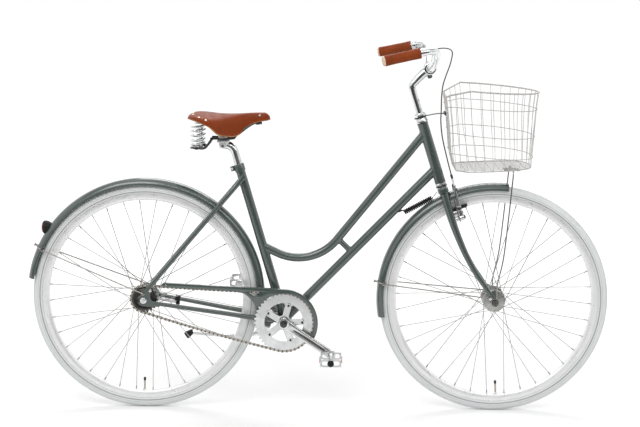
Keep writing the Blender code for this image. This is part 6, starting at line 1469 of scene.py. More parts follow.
def build_fork():
    """Fork crown, steerer, raked blades with their tips, and the headset's nut."""
    crown = block(steer(0.36875), (0.034, 0.1, 0.0175), RAKED, 0.0035, 6.0, 64)
    race = on_steerer(mm(13, 377.2, 18, 377.2, 18, 377.8, 13, 377.8), 48)
    column = on_steerer(mm(12.6, 370, 12.6, 604), 40)
    piece("fork_crown_block", "steering", PAINT, crown, race, stands_for="fork_crown")
    piece("fork_column", "steering", DARK_STEEL, column, slot="chrome")
    line = mm(359, 0, 38, 335, 0, 38.6, 300, 0, 40, 254, 0.8, 42, 206.5, 4.3, 44, 157.6, 10.5, 46.2, 104.5,
        21.5, 48.6, 62.1, 34.5, 50.7, 26, 45.5, 52.4, 15, 48.7, 53, columns=3)
    for side, y in SIDES:
        flat = even(spline(line, 160), 70)
        path = steer(flat[:, 0], flat[:, 1], flat[:, 2] * y)
        radii = 0.012 - 0.005 * np.clip((0.3 - flat[:, 0]) / 0.274, 0, 1)
        press = np.clip((0.04 - flat[:, 0]) / 0.03, 0, 1)
        loop = circle(32)[None] * np.stack([radii, radii * (1 - 0.55 * press)], -1)[:, None]
        slot = AXLE_SLOT_R
        tip = np.vstack([[(-slot, -0.012), (-slot, -0.004)], arc2((0, 0), slot, 160, 20, 9),
            [(slot, -0.004), (slot, -0.012)], arc2((0, 0), 0.013, -62, 50, 9), spline(mm(7, 15, 4, 24, 1, 34),
            7), mm(-6, 36, -12.5, 34), arc2((0, 0), 0.013, 150, 242, 9)])
        lug = plate(tip, 0.005, FRONT_HUB + LEFT * y * 0.0528, -np.cross(STEER_UP, LEFT), STEER_UP, 0.0008)
        boss = revolve(mm(8.2, 0, 7.4, 13, 7, 23.4, 5, 23.6), steer(BRAKE_BOSS_UP, 0, y * BRAKE_BOSS_Y),
            STEER_FWD, 28)
        piece("fork_blade_%s_tube" % side, "steering", PAINT, sweep(path, loop, LEFT), lug,
            stands_for="fork_blade_" + side)
        piece("brake_boss_" + side, "steering", ALLOY, boss, revolve(mm(3.8, 23, 3.8, 38),
            steer(BRAKE_BOSS_UP, 0, y * BRAKE_BOSS_Y), STEER_FWD, 16))
        piece("brake_boss_bolt_" + side, "steering", DARK_STEEL,
            bolt(steer(BRAKE_BOSS_UP, 0.0376, y * BRAKE_BOSS_Y), STEER_FWD, 0.0058, 0.004, 0.0014))
        eyes = [bolt(FRONT_HUB + (-0.015, y * 0.0601, 0.013), LEFT * y, 0.0034, 0.0028, 0.0012)]
        piece("fork_tip_screw_" + side, "steering", CHROME, *eyes)
    nut = mm(13.2, 597.5, 17.6, 597.6, 18.2, 598.2, 18.2, 605, 17.2, 606.6, 15, 607.5, 13, 607.6)
    piece("headset_top_nut", "steering", CHROME, on_steerer(nut, 6),
        on_steerer(mm(13, 607, 15, 607.6, 14, 609, 11.8, 609.2), 48), stands_for="headset_locknut", smooth=30)
    piece("headset_washer", "steering", PLASTIC, on_steerer(mm(13, 596.9, 18.6, 596.9, 18.8, 597.2, 18.6,
        597.6, 13, 597.6), 48), slot="chrome")


STEM_CLAMP = steer(0.728, 0.068)


def bar_half():
    """Left half of the bar's centre line, from the clamp to the end of the grip."""
    offsets = mm(0, 0, 0, 0, 25, 0, 3, 80, 10, 7, 135, 30, 8, 185, 50, 1, 221, 60, -16, 238, 62, -40, 248.5,
        58.5, -143, 267, 36.2, columns=3)
    return STEM_CLAMP + offsets


def lever_pivot():
    """Pivot of the brake lever, below the bar just ahead of the left grip."""
    return bar_half()[7] + (0.018, -0.006, -0.021)


def build_cockpit():
    """Quill stem and swept bar, which is thicker in the clamp."""
    corner, clamp = steer(0.7), STEM_CLAMP
    bend = spline(np.vstack([steer([0.6, 0.64, 0.672]), steer(0.6935, 0.003), steer(0.7035, 0.017),
        clamp - unit(clamp - corner) * 0.03, clamp - unit(clamp - corner) * 0.012]), 60)
    bend = even(bend, 60)
    radii = np.interp(np.linspace(0, 1, 60), (0, 0.55, 0.7, 1), (0.0111, 0.0113, 0.0122, 0.0146))
    quill = on_steerer(mm(11.1, 530, 11.1, 606), 40)
    collar = revolve(mm(15, -20, 17.2, -19.8, 18.6, -18.4, 18.9, -10, 18.9, 10, 18.6, 18.4, 17.2, 19.8, 15,
        20), clamp, LEFT, 56)
    ear = clamp - STEER_UP * 0.0205 - STEER_FWD * 0.007
    ears = [block(ear + LEFT * y * 0.0055, (0.015, 0.008, 0.014), RAKED, 0.0018) for y in (1, -1)]
    piece("stem_body", "steering", CHROME, quill, tube(bend, radii, 44, LEFT), collar, *ears,
        stands_for="stem", smooth=40)
    pin = ear - STEER_UP * 0.002
    piece("stem_clamp_bolt", "steering", ALLOY, revolve(mm(4, -13, 5.8, -12.8, 5.8, -9.8, 3.4, -9.6, 3.4, 9.6,
        5.8, 9.8, 5.8, 12.8, 4, 13), pin, LEFT, 24), slot="chrome")

    half = bar_half()
    line = np.vstack([half[:0:-1] * MIRROR, half])
    path = even(spline(line, 500), 260)
    swell = np.clip((0.04 - np.abs(path[:, 1])) / 0.012, 0, 1)
    radii = 0.0111 + 0.0016 * swell * swell * (3 - 2 * swell)
    piece("handlebar_tube", "steering", CHROME, tube(path, radii, 32, UP), stands_for="handlebar", smooth=40)
    build_grips()
    build_lever()


def build_grips():
    """Leather grips: wrapped sleeve with a laced seam, a dark front ring and a cream end plug with painted
    shade for its holes.
    """
    half = bar_half()
    for side, y in (("left", 1), ("right", -1)):
        front, rear = half[7] * (1, y, 1), half[8] * (1, y, 1)
        way = unit(rear - front)
        start = rear - way * 0.104
        run = np.linspace(0.0025, 0.1035, 61)
        body = 0.01505 + 0.00025 * np.cos(run * 118) - 0.0006 * np.exp(-((run - 0.055) / 0.022) ** 2)
        profile = np.vstack([mm(11.8, 2.2, 14, 2), np.column_stack([body, run]), mm(14, 104.5, 11.8, 104.6)])
        sleeve = revolve(profile, start, way, 56)
        collars = [revolve([(0.012, a), (0.0151, a), (0.0154, a + 0.001), (0.0154, a + 0.0036),
            (0.0151, a + 0.0046), (0.012, a + 0.0046)], start, way, 56) for a in (0.0006, 0.1)]
        piece("grip_%s_sleeve" % side, "steering", GRIP_LEATHER, sleeve, stands_for="grip_" + side, smooth=50)
        piece("grip_%s_bands" % side, "steering", LEATHER, *collars, smooth=40)
        first, second, _ = basis(way, -LEFT * y)
        facing = first * 0.25 - UP * 0.95
        facing = unit(facing - way * np.dot(facing, way))
        beside = np.cross(way, facing)
        spots = np.linspace(0.008, 0.0975, 25)
        reach = np.interp(spots, run, body) + 0.0001
        base = start + spots[:, None] * way + reach[:, None] * facing
        stitch_line = np.linspace(-1, 1, 7)
        small = np.stack([stitch_line * 0.0026, 0.0012 * stitch_line, -0.00045 * stitch_line ** 2 + 0.00025],
            -1)
        path = small[:, :1] * beside + small[:, 1:2] * way + small[:, 2:] * facing
        stitches = repeat(tube(path, 0.00042, 6, facing), UNTURNED, base)
        seam_run = np.linspace(0.006, 0.0995, 90)
        seam_reach = np.interp(seam_run, run, body) + 0.00005
        seam = tube(start + seam_run[:, None] * way + seam_reach[:, None] * facing, 0.00038, 6, facing)
        piece("grip_%s_stitches" % side, "steering", THREAD, stitches)
        piece("grip_%s_seam" % side, "steering", DARK_LEATHER_AND_HOLE_SHADE, seam)
        plug = revolve(mm(11, 103, 14.6, 104.6, 14.8, 106.2, 14.2, 108.8, 12, 109.9, 4.5, 110, 3.6, 109.4),
            start, way, 48)
        piece("grip_%s_plug" % side, "steering", CREAM, plug, smooth=30)
        # painted shade: dark discs on the plug's end stand for the shaded insides of its holes
        turn = evenly(10)
        holes = start + way * 0.1098 + 0.0098 * (np.cos(turn)[:, None] * first
            + np.sin(turn)[:, None] * second)
        hole_shade_discs = repeat(revolve(mm(0.9, -0.4, 0.9, 0.3), np.zeros(3), way, 10), UNTURNED, holes)
        piece("grip_%s_plug_hole_shade" % side, "steering", DARK_LEATHER_AND_HOLE_SHADE, hole_shade_discs)


def build_lever():
    """Brake lever with its clamp and pivot."""
    half = bar_half()
    path = spline(half[:8], 200)
    near = path[np.argmin(np.linalg.norm(path - (half[7] + (half[6] - half[7]) * 0.3), axis=1))]
    way = unit(half[7] - half[6])
    pivot = lever_pivot()
    ring = revolve(mm(11.2, -6.2, 14.6, -6.2, 15.2, -5.4, 15.2, 5.4, 14.6, 6.2, 11.2, 6.2), near, way, 48)
    line = spline([near - UP * 0.008, near + (0.001, 0.0, -0.0135), pivot + (0.004, 0.0, 0.0072),
        pivot + (0.0105, 0.0, 0.001)], 24)
    size = np.linspace(0.0068, 0.006, 24)
    loops = np.stack([rounded(s, s * 0.72, 24, 3.2) for s in size])
    barrel = pivot + (0.0098, 0.0, 0.002)
    nose = unit(np.array((0.0148, -0.002, 0.0018)))
    piece("lever_bracket_body", "steering", ALLOY, ring, sweep(line, loops, LEFT),
        revolve(mm(5.2, -3, 5.6, -2, 5.6, 3, 4.6, 3.8), barrel, nose, 24), stands_for="brake_lever_bracket",
        smooth=40)
    piece("lever_clamp_bolt", "steering", DARK_STEEL, bolt(near + (0.015, 0, 0.0), ACROSS, 0.0034, 0.003),
        bolt(pivot - LEFT * 0.0062, -LEFT, 0.0042, 0.0024), bolt(pivot + LEFT * 0.0062, LEFT, 0.0042, 0.0024))
    points = pivot + mm(0, 0, 0, -10, 1.8, -11, -20, 4, -18.5, -55, 12, -31, -85, 18.5, -36.8, -100, 21.5,
        -39, columns=3)
    path = even(spline(points, 120), 64)
    u = np.linspace(0, 1, 64)
    wide = np.interp(u, (0, 0.15, 0.5, 0.92, 0.96, 1.0), (0.005, 0.0052, 0.0064, 0.0068, 0.0066, 0.0048))
    deep = np.interp(u, (0, 0.15, 0.5, 0.9, 0.96, 1.0), (0.005, 0.0042, 0.0032, 0.0034, 0.0046, 0.004))
    loop = rounded(1.0, 1.0, 28, 2.6)
    section = scaled(loop, wide, deep)
    eye = revolve(mm(4.8, -5.6, 5.6, -5, 5.6, 5, 4.8, 5.6), pivot, LEFT, 32)
    piece("lever_blade", "brake_lever", ALLOY, sweep(path, section, UP), eye, stands_for="brake_lever",
        smooth=40)


def build_front_brake():
    """Two arms with their pads; the cable's bent pipe ends at the right arm's top."""
    for side, y in SIDES:
        body = "brake_arm_" + side
        pivot = steer(BRAKE_BOSS_UP, 0, y * BRAKE_BOSS_Y)
        barrel = revolve(mm(5, 23.8, 8.2, 24, 8.6, 25, 8.6, 36.6, 8.2, 37.6, 5, 37.8), pivot, STEER_FWD, 36)
        line = mm(279.6, 30.8, 40, 303, 31, 38.8, 335, 33, 35.2, 358, 34.5, 33.4, 367.2, 35, 32.9, columns=3)
        flat = even(spline(line, 80), 40)
        u = np.linspace(0, 1, 40)
        wide = np.interp(u, (0, 0.3, 0.7, 0.95, 1.0), (0.0062, 0.0056, 0.0046, 0.0042, 0.0034))
        deep = np.interp(u, (0, 0.3, 0.7, 0.95, 1.0), (0.005, 0.0042, 0.0036, 0.0032, 0.0024))
        loop = rounded(1.0, 1.0, 28, 3.4)
        section = scaled(loop, wide, deep)
        path = steer(flat[:, 0], flat[:, 1], flat[:, 2] * y)
        arm = sweep(path, section, LEFT)
        piece("brake_%s_arm" % side, body, ALLOY, barrel, arm, stands_for=body, smooth=40)
        post = steer(0.3035, 0.03, 0.0)
        stud = revolve(mm(4, 21.5, 4, 44), post, LEFT * y, 20)
        cups = revolve(mm(6, 29, 8.2, 30, 8.2, 33, 6, 34.5), post, LEFT * y, 28)
        outer = revolve(mm(7.8, 42.5, 7.8, 44, 6, 45.2), post, LEFT * y, 28)
        nut = bolt(post + LEFT * y * 0.0448, LEFT * y, 0.005, 0.004)
        piece("brake_%s_pad_post" % side, body, STAY_WIRE, stud, cups, outer, nut, slot="alloy")
        spring = spline(np.vstack([steer(0.264, 0.0225, y * 0.047), steer(0.29, 0.0215, y * 0.05),
            steer(0.323, 0.0225, y * 0.0465), steer(0.342, 0.0255, y * 0.0405)]), 40)
        piece("brake_%s_return_wire" % side, body, BLACK, tube(spring, 0.0012, 8, STEER_FWD), slot="alloy")
        centre = steer(0.3035, 0.029) - FRONT_HUB
        lean = math.degrees(math.atan2(centre[2], centre[0]))
        pad_r = 0.3035
        angles = np.linspace(lean - 5.6, lean + 5.6, 40)
        along = np.linspace(-1, 1, 40)
        pinch = (1 - np.abs(along) ** 9)[:, None, None] ** 0.5 * 0.999 + 0.001
        loop = rounded(0.005, 0.0056, 24, 4.0)
        where = polar(FRONT_HUB, pad_r, angles, y * 0.02)
        pad = sweep(where, loop[None] * pinch, LEFT)
        bracket = polar(FRONT_HUB, pad_r, angles[3:-3], y * 0.0262)
        holder = sweep(bracket, rounded(0.0056, 0.0014, 20, 4.0), LEFT)
        piece("brake_%s_pad" % side, body, RUBBER, pad)
        piece("brake_%s_pad_holder" % side, body, BLACK, holder)
        piece("brake_%s_clamp_bolt" % side, body, DARK_STEEL, bolt(steer(0.36, 0.0385, y * 0.0334), STEER_FWD,
            0.0042, 0.0034, 0.0014))
    wire = even(np.vstack([steer(0.3705, 0.0352, -0.026), steer(0.3685, 0.0352, 0.0),
        steer(0.3655, 0.0352, 0.033), steer(0.356, 0.04, 0.0345), steer(0.34, 0.041, 0.035)]), 24)
    inner = piece("brake_inner_wire", None, WIRE, tube(wire, 0.0008, 8, STEER_UP))
    tuple(steer(0.3695, 0.0352, -0.012))
    tuple(steer(0.3675, 0.0352, 0.029))
    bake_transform(inner)
    boot = [(0.003, 0.0), (0.0042, 0.001)] + [(0.0036 + 0.0008 * (k % 2), 0.003 + 0.0024 * k)
        for k in range(8)]
    boot.append((0.0026, 0.0225))
    piece("brake_wire_boot", "steering", RUBBER, revolve(boot, steer(0.37, 0.0352, -0.02), LEFT, 24))


def build_cable():
    """Cable housing from the lever to the bent pipe at the front brake, with its end caps."""
    pivot = lever_pivot()
    start = pivot + (0.0148, 0.0, 0.0018)
    route = np.vstack([start, start + (0.016, -0.006, 0.0035), start + (0.03, -0.022, 0.006),
        at((0.458, 0.48, 0.5, 0.5085, 0.508, 0.501, 0.487, 0.477, 0.4715, 0.469, 0.4675, 0.473, 0.489),
        (1.0925, 1.1, 1.099, 1.091, 1.078, 1.052, 1.018, 0.99, 0.957, 0.921, 0.886, 0.837, 0.769),
        (0.19, 0.148, 0.122, 0.108, 0.1, 0.088, 0.068, 0.048, 0.018, -0.009, -0.021, -0.028, -0.0345)),
        steer((0.402, 0.387), 0.0365, -0.0388)])
    piece("brake_cable_housing", "steering", CABLE, tube(even(spline(route, 600), 360), 0.002, 12, LEFT),
        stands_for="front_brake_cable", smooth=50)
    pipe = np.vstack([steer((0.395, 0.387, 0.379, 0.3735, 0.3712), 0.036, (-0.0388, -0.0389, -0.0375, -0.0325,
        -0.025))])
    piece("brake_cable_pipe", "steering", RIM_METAL, tube(even(spline(pipe, 80), 40), 0.0032, 16, STEER_FWD))
    ferrule = unit(np.array((0.016, -0.006, 0.0035)))
    piece("brake_cable_ends", "steering", BLACK, revolve(mm(3.6, -1, 4, 0, 4, 11, 3, 12.5), start, ferrule,
        20), revolve(mm(3, -6, 3.8, -4, 3.8, 5, 3, 6.5), steer(0.402, 0.0365, -0.0387), STEER_UP, 20))


def basket_ring(level, count):
    """Ring of the basket at a level from its floor, 0, to its rim, 4: back corner, shoulder, round front."""
    table = np.array([(0.749, 0.749, 0.757, 0.51, 0.086, 0.543, 0.116, 0.6, 0.119, 0.738, 3.0),
        (0.8, 0.8, 0.786, 0.497, 0.088, 0.543, 0.14, 0.61, 0.161, 0.741, 2.3), (0.862, 0.862, 0.847, 0.492,
        0.09, 0.542, 0.165, 0.6, 0.181, 0.746, 2.1), (0.938, 0.942, 0.927, 0.484, 0.093, 0.541, 0.172, 0.59,
        0.183, 0.753, 2.0), (0.968, 0.992, 0.978, 0.479, 0.095, 0.541, 0.185, 0.583, 0.195, 0.759, 2.0)])
    row = [np.interp(level, range(5), table[:, k]) for k in range(11)]
    back_z, shoulder_z, front_z, back_x, back_w, shoulder_x, shoulder_w, wide_x, wide_w, tip_x, square = row
    turn = np.radians(np.linspace(2, 90, 40))
    x = wide_x + (tip_x - wide_x) * np.sin(turn) ** (2 / square)
    y = wide_w * np.clip(np.cos(turn), 0, 1) ** (2 / square)
    z = shoulder_z + (front_z - shoulder_z) * (x - shoulder_x) / (tip_x - shoulder_x)
    corner = np.array([(back_x, back_w * 0.93, back_z), (back_x + 0.002, back_w * 0.985, back_z),
        (back_x + 0.009, back_w * 1.05, back_z + (shoulder_z - back_z) * 0.2)])
    shoulder = np.array([(shoulder_x, shoulder_w, shoulder_z)])
    half = np.vstack([(back_x, 0.0, back_z), corner, shoulder, np.column_stack([x, y, z])])
    loop = np.vstack([half, (half * MIRROR)[-2:0:-1]])
    return even(loop, count, closed=True) + (BB[0], 0.0, 0.0)


def build_basket():
    """Basket of welded wire, with its bracket and the stay that carries it."""
    wires = []
    count = BASKET_UPRIGHTS
    levels = np.array((4.0, 3.0, 2.0, 1.0, 0.0))
    loops = np.stack([basket_ring(level, count) for level in levels])
    uprights = []
    for k in range(count):
        uprights.append(tube(even(spline(loops[:, k], 40), 16), 0.00105, 6))
    for level in (1.0, 2.0, 3.0):
        ring = basket_ring(level, 240)
        middle = ring.mean(axis=0)
        out = unit((ring - middle) * (1, 1, 0))
        wires.append(tube(ring + out * 0.002, 0.0013, 8, UP, closed=True))
    floor = basket_ring(0.0, 240)
    wires.append(tube(floor, 0.0018, 12, UP, closed=True))
    rim = basket_ring(4.0, 240)
    wires.append(tube(rim, 0.0026, 14, UP, closed=True))

    def crossing(k, value, other):
        """Least and greatest x or y where the floor's ring crosses a line."""
        a, b = floor, np.roll(floor, -1, axis=0)
        hit = (a[:, k] - value) * (b[:, k] - value) <= 0
        t = (value - a[hit, k]) / np.where(np.abs(b[hit, k] - a[hit, k]) < 1e-9, 1.0, b[hit, k] - a[hit, k])
        spots = a[hit, other] + (b[hit, other] - a[hit, other]) * t
        return spots.min(), spots.max()

    z_back, z_front = floor[0, 2], floor[:, 2].max()
    x_back, x_front = floor[:, 0].min(), floor[:, 0].max()
    for y in np.linspace(-0.091, 0.091, 9):
        low, high = crossing(1, y, 0)
        x = np.linspace(low, high, 8)
        z = np.interp(x, (x_back, x_front), (z_back, z_front))
        wires.append(tube(np.column_stack([x, np.full(8, y), z]), 0.00105, 6, UP))
    for x in np.linspace(x_back + 0.026, x_front - 0.026, 8):
        low, high = crossing(0, x, 1)
        y = np.linspace(low, high, 6)
        z = np.interp(x, (x_back, x_front), (z_back, z_front))
        wires.append(tube(np.column_stack([np.full(6, x), y, np.full(6, z + 0.0021)]), 0.00105, 6, UP))
    piece("basket_uprights", "steering", PALE_WIRE, *uprights, smooth=60)
    piece("basket_rings", "steering", WIRE, *wires, stands_for="basket", smooth=60)

    low_spot, high_spot = basket_ring(2.0, 8)[0], basket_ring(3.0, 8)[0]
    slope = unit(high_spot - low_spot)
    away = np.array((slope[2], 0.0, -slope[0]))
    on_back = high_spot - slope * 0.026 - away * 0.003
    washer = on_steerer(mm(13.1, 594.5, 20, 594.5, 20.3, 595, 20.3, 596.2, 20, 596.7, 13.1, 596.7), 48)
    start = steer(0.5956, 0.0186)
    arm = spline(np.vstack([steer(0.5956, 0.01), start, (start + on_back) / 2 + UP * 0.002, on_back]), 30)
    strap = np.broadcast_to(rounded(0.0105, 0.0014, 24, 5.0), (30, 24, 2))
    back = block(on_back, (0.046, 0.02, 0.0022), (LEFT, slope, away), 0.0006, 7.0, 56)
    piece("basket_bracket_plate", "steering", BLACK, washer, sweep(arm, strap, UP),
        stands_for="basket_bracket", slot="chrome")
    piece("basket_back_plate", "steering", ALLOY, back, slot="chrome")
    heads = [bolt(on_back + LEFT * y * 0.015 - away * 0.0016, -away, 0.005, 0.0042, 0.0024) for y in (1, -1)]
    front = [block(on_back + LEFT * y * 0.015 + away * 0.0052, (0.012, 0.018, 0.0016), (LEFT, slope, away),
        0.0005) for y in (1, -1)]
    piece("basket_bracket_bolts", "steering", BLACK, *heads, *front)

    top_z = 0.7483
    right = np.vstack([FRONT_HUB + (0.004, -0.0596, 0.0105), at((0.64, 0.657, 0.67, 0.681, 0.683),
        (0.4, 0.48, 0.6, 0.718, top_z - 0.006), (-0.0593, -0.059, -0.0575, -0.056, -0.05)),
        at((0.6835, 0.6835), top_z, (-0.04, -0.01))])
    line = np.vstack([right, (right * MIRROR)[::-1]])
    eyes = [revolve(mm(5.5, -1, 12.8, -1.1, 13, -0.6, 13, 0.6, 12.8, 1.1, 5.5, 1),
        FRONT_HUB + LEFT * y * 0.0566, LEFT, 40) for y in (1, -1)]
    piece("basket_stay_wires", "steering", STAY_WIRE, tube(even(spline(line, 400), 220), 0.0021, 14, ACROSS),
        *eyes, stands_for="basket_stay")
    bar = at(0.6835, top_z - 0.0045)
    clips = [block(bar + LEFT * y * 0.03, (0.01, 0.011, 0.0056), WORLD, 0.0012) for y in (1, -1)]
    piece("basket_stay_clips", "steering", PLASTIC, *clips, block(bar - UP * 0.0014, (0.046, 0.006, 0.03),
        (ACROSS, UP, LEFT), 0.001))


def build_steering_spring():
    """Stabiliser: a coil with two hooks, from the underside of the down tube to the fork's crown."""
    down = unit(steer(0.4335) - BB)
    below = np.array((down[2], 0.0, -down[0]))
    foot = BB + down * 0.485 + below * 0.0145
    hook = steer(0.364, -0.0184)
    first, last = at(0.362, 0.6095), at(0.443, 0.653)
    way = unit(last - first)
    normal = np.cross(way, LEFT)
    turns = 16
    u = np.linspace(0, 1, turns * 20 + 1)
    turn = FULL_TURN * turns * u
    coil = (first + (last - first) * u[:, None] + LEFT * 0.0065 * np.sin(turn)[:, None]
        + normal * 0.0065 * np.cos(turn)[:, None])
    spring = piece("steering_spring_coil", None, RUBBER,
        tube(np.vstack([straight(foot, coil[0], 6)[:-1], coil]), 0.002, 8, LEFT), slot="black_steel",
        stands_for="steering_spring", smooth=60)
    end = piece("steering_spring_hook", None, CHROME,
        tube(spline(np.vstack([coil[-1], last + way * 0.004, hook]), 14), 0.0014, 10, LEFT),
        revolve(mm(3, 0, 6.6, 1.6, 6.8, 3.6, 3, 5.6), last, way, 28), slot="black_steel")
    for part in (spring, end):
        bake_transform(part)
    piece("steering_spring_anchor", "frame", BLACK, block(foot - below * 0.001, (0.012, 0.004, 0.014),
        (down, below, LEFT), 0.001, 5.0), dome(foot + below * 0.001, below, 0.0036, 0.0024))


# Seat

def saddle_half(t):
    """Half width from the back, 0, to the nose, 1: an ellipse, a cosine waist and a round nose."""
    tail = 0.102 * np.sqrt(np.clip(1 - ((0.2 - np.minimum(t, 0.2)) / 0.235) ** 2, 0, 1))
    nose = 0.0185 * np.sqrt(np.maximum(0.05, 1 - ((np.maximum(t, 0.9) - 0.9) / 0.105) ** 2))
    mix = 0.5 - 0.5 * np.cos(math.pi * np.clip((t - 0.2) / 0.56, 0, 1))
    return tail + (nose - tail) * mix


def saddle_top(t):
    """Height of the crown, with its hollow in the middle and its falling ends."""
    z = 0.9105 - 0.0042 * np.sin(math.pi * np.minimum(1.0, t / 0.9)) ** 2
    return z - 0.012 * np.maximum(0, (t - 0.93) / 0.07) ** 2 - 0.007 * np.maximum(0, (0.1 - t) / 0.1) ** 2


def saddle_low(t):
    """Height of the leather's lower edge, deepest where the flap hangs."""
    edge = spline([(0.0, 0.8965), (0.06, 0.895), (0.15, 0.8903), (0.22, 0.883), (0.28, 0.8752), (0.33, 0.863),
        (0.37, 0.8535), (0.42, 0.8472), (0.5, 0.8434), (0.57, 0.8424), (0.64, 0.8496), (0.7, 0.864),
        (0.765, 0.877), (0.86, 0.885), (0.96, 0.8885), (1.0, 0.8905)], 150)
    return np.interp(t, edge[:, 0], edge[:, 1])


def saddle_point(t, turn, inset_by=0.0):
    """Leather surface: across the saddle the turn goes from one lower edge, -90 degrees, to the other."""
    half = saddle_half(t) - inset_by
    top, low = saddle_top(t) - inset_by, saddle_low(t)
    y = half * np.sign(turn) * np.abs(np.sin(turn)) ** 0.8
    z = low + (top - low) * np.abs(np.cos(turn)) ** 0.55
    return at(-0.2865 + 0.2415 * t, z, y)


def build_saddle():
    """Leather shell with its cut edge and lining, rivets, rear plate and nose bracket."""
    t = 0.5 - 0.5 * np.cos(np.linspace(0, math.pi, 101))
    lean = np.linspace(-1, 1, 81)
    turn = math.pi / 2 * np.sign(lean) * np.abs(lean) ** 0.8
    tt, uu = np.meshgrid(t, turn, indexing="ij")
    outer = saddle_point(tt, uu)
    inner = saddle_point(tt, uu, 0.0042)
    inner[:, 0, 2] += 0.0005
    inner[:, -1, 2] += 0.0005
    grid = np.concatenate([outer, inner[:, ::-1]], axis=1)
    piece("saddle_leather", "saddle", LEATHER, skin(grid, ends="strip"), stands_for="saddle_top", smooth=55)
    edges = []
    for side in (0, -1):
        rim = (outer[:, side] + inner[:, side]) / 2
        edges.append(tube(even(rim, 160), 0.0021, 10, UP))
    piece("saddle_cut_edge", "saddle", RAW_EDGE, *edges, smooth=60)
    lining = saddle_point(tt[4:-4, 3:-3], uu[4:-4, 3:-3], 0.0046)
    under = saddle_point(tt[4:-4, 3:-3], uu[4:-4, 3:-3], 0.0056)
    piece("saddle_lining", "saddle", DARK_LEATHER_AND_HOLE_SHADE, skin(np.concatenate([lining, under[:, ::-1]], axis=1),
        ends="strip"), smooth=55)

    where = np.array((0.24, 0.152, 0.065, 0.04, 0.065, 0.152, 0.24, 0.877, 0.877))
    lean = np.radians(np.array((-70, -60, -34, 0, 34, 60, 70, -60, 60)))
    spots = saddle_point(where, lean)
    nearby = saddle_point(where + 0.02, lean)
    beside = saddle_point(where, lean + 0.05)
    out = unit(np.cross(beside - spots, nearby - spots))
    out = out * np.sign(np.sum(out * (spots - at(-0.2, 0.86)), axis=1))[:, None]
    piece("saddle_rivets", "saddle", BRASS, *[dome(spots[k], out[k], 0.0036, 0.0016, 28) for k in range(7)])
    piece("saddle_nose_rivets", "saddle", STAY_WIRE, *[dome(spots[k], out[k], 0.004, 0.0018, 28)
        for k in (7, 8)], slot="cognac_leather")

    plate_t = np.linspace(0.02, 0.17, 14)
    lean = np.linspace(-math.pi / 2 * 0.93, math.pi / 2 * 0.93, 41)
    pt, pu = np.meshgrid(plate_t, lean, indexing="ij")
    high, low = saddle_point(pt, pu, 0.006), saddle_point(pt, pu, 0.0078)
    piece("saddle_rear_plate", "saddle", BLACK, skin(np.concatenate([high, low[:, ::-1]], axis=1),
        ends="strip"), smooth=50)
    parts = [block(at(-0.074, 0.893), (0.034, 0.02, 0.014), WORLD, 0.003, 5.0),
        block(at(-0.082, 0.88), (0.017, 0.02, 0.012), WORLD, 0.003, 5.0),
        block(at(-0.056, 0.89), (0.008, 0.014, 0.009), WORLD, 0.002, 5.0)]
    tension = revolve(mm(3.2, -34, 3.2, 6), at(-0.084, 0.879), ACROSS, 16)
    piece("saddle_nose_bracket", "saddle", BLACK, *parts, tension, bolt(at(-0.074, 0.879), ACROSS, 0.005,
        0.0046))
    build_seat_frame()


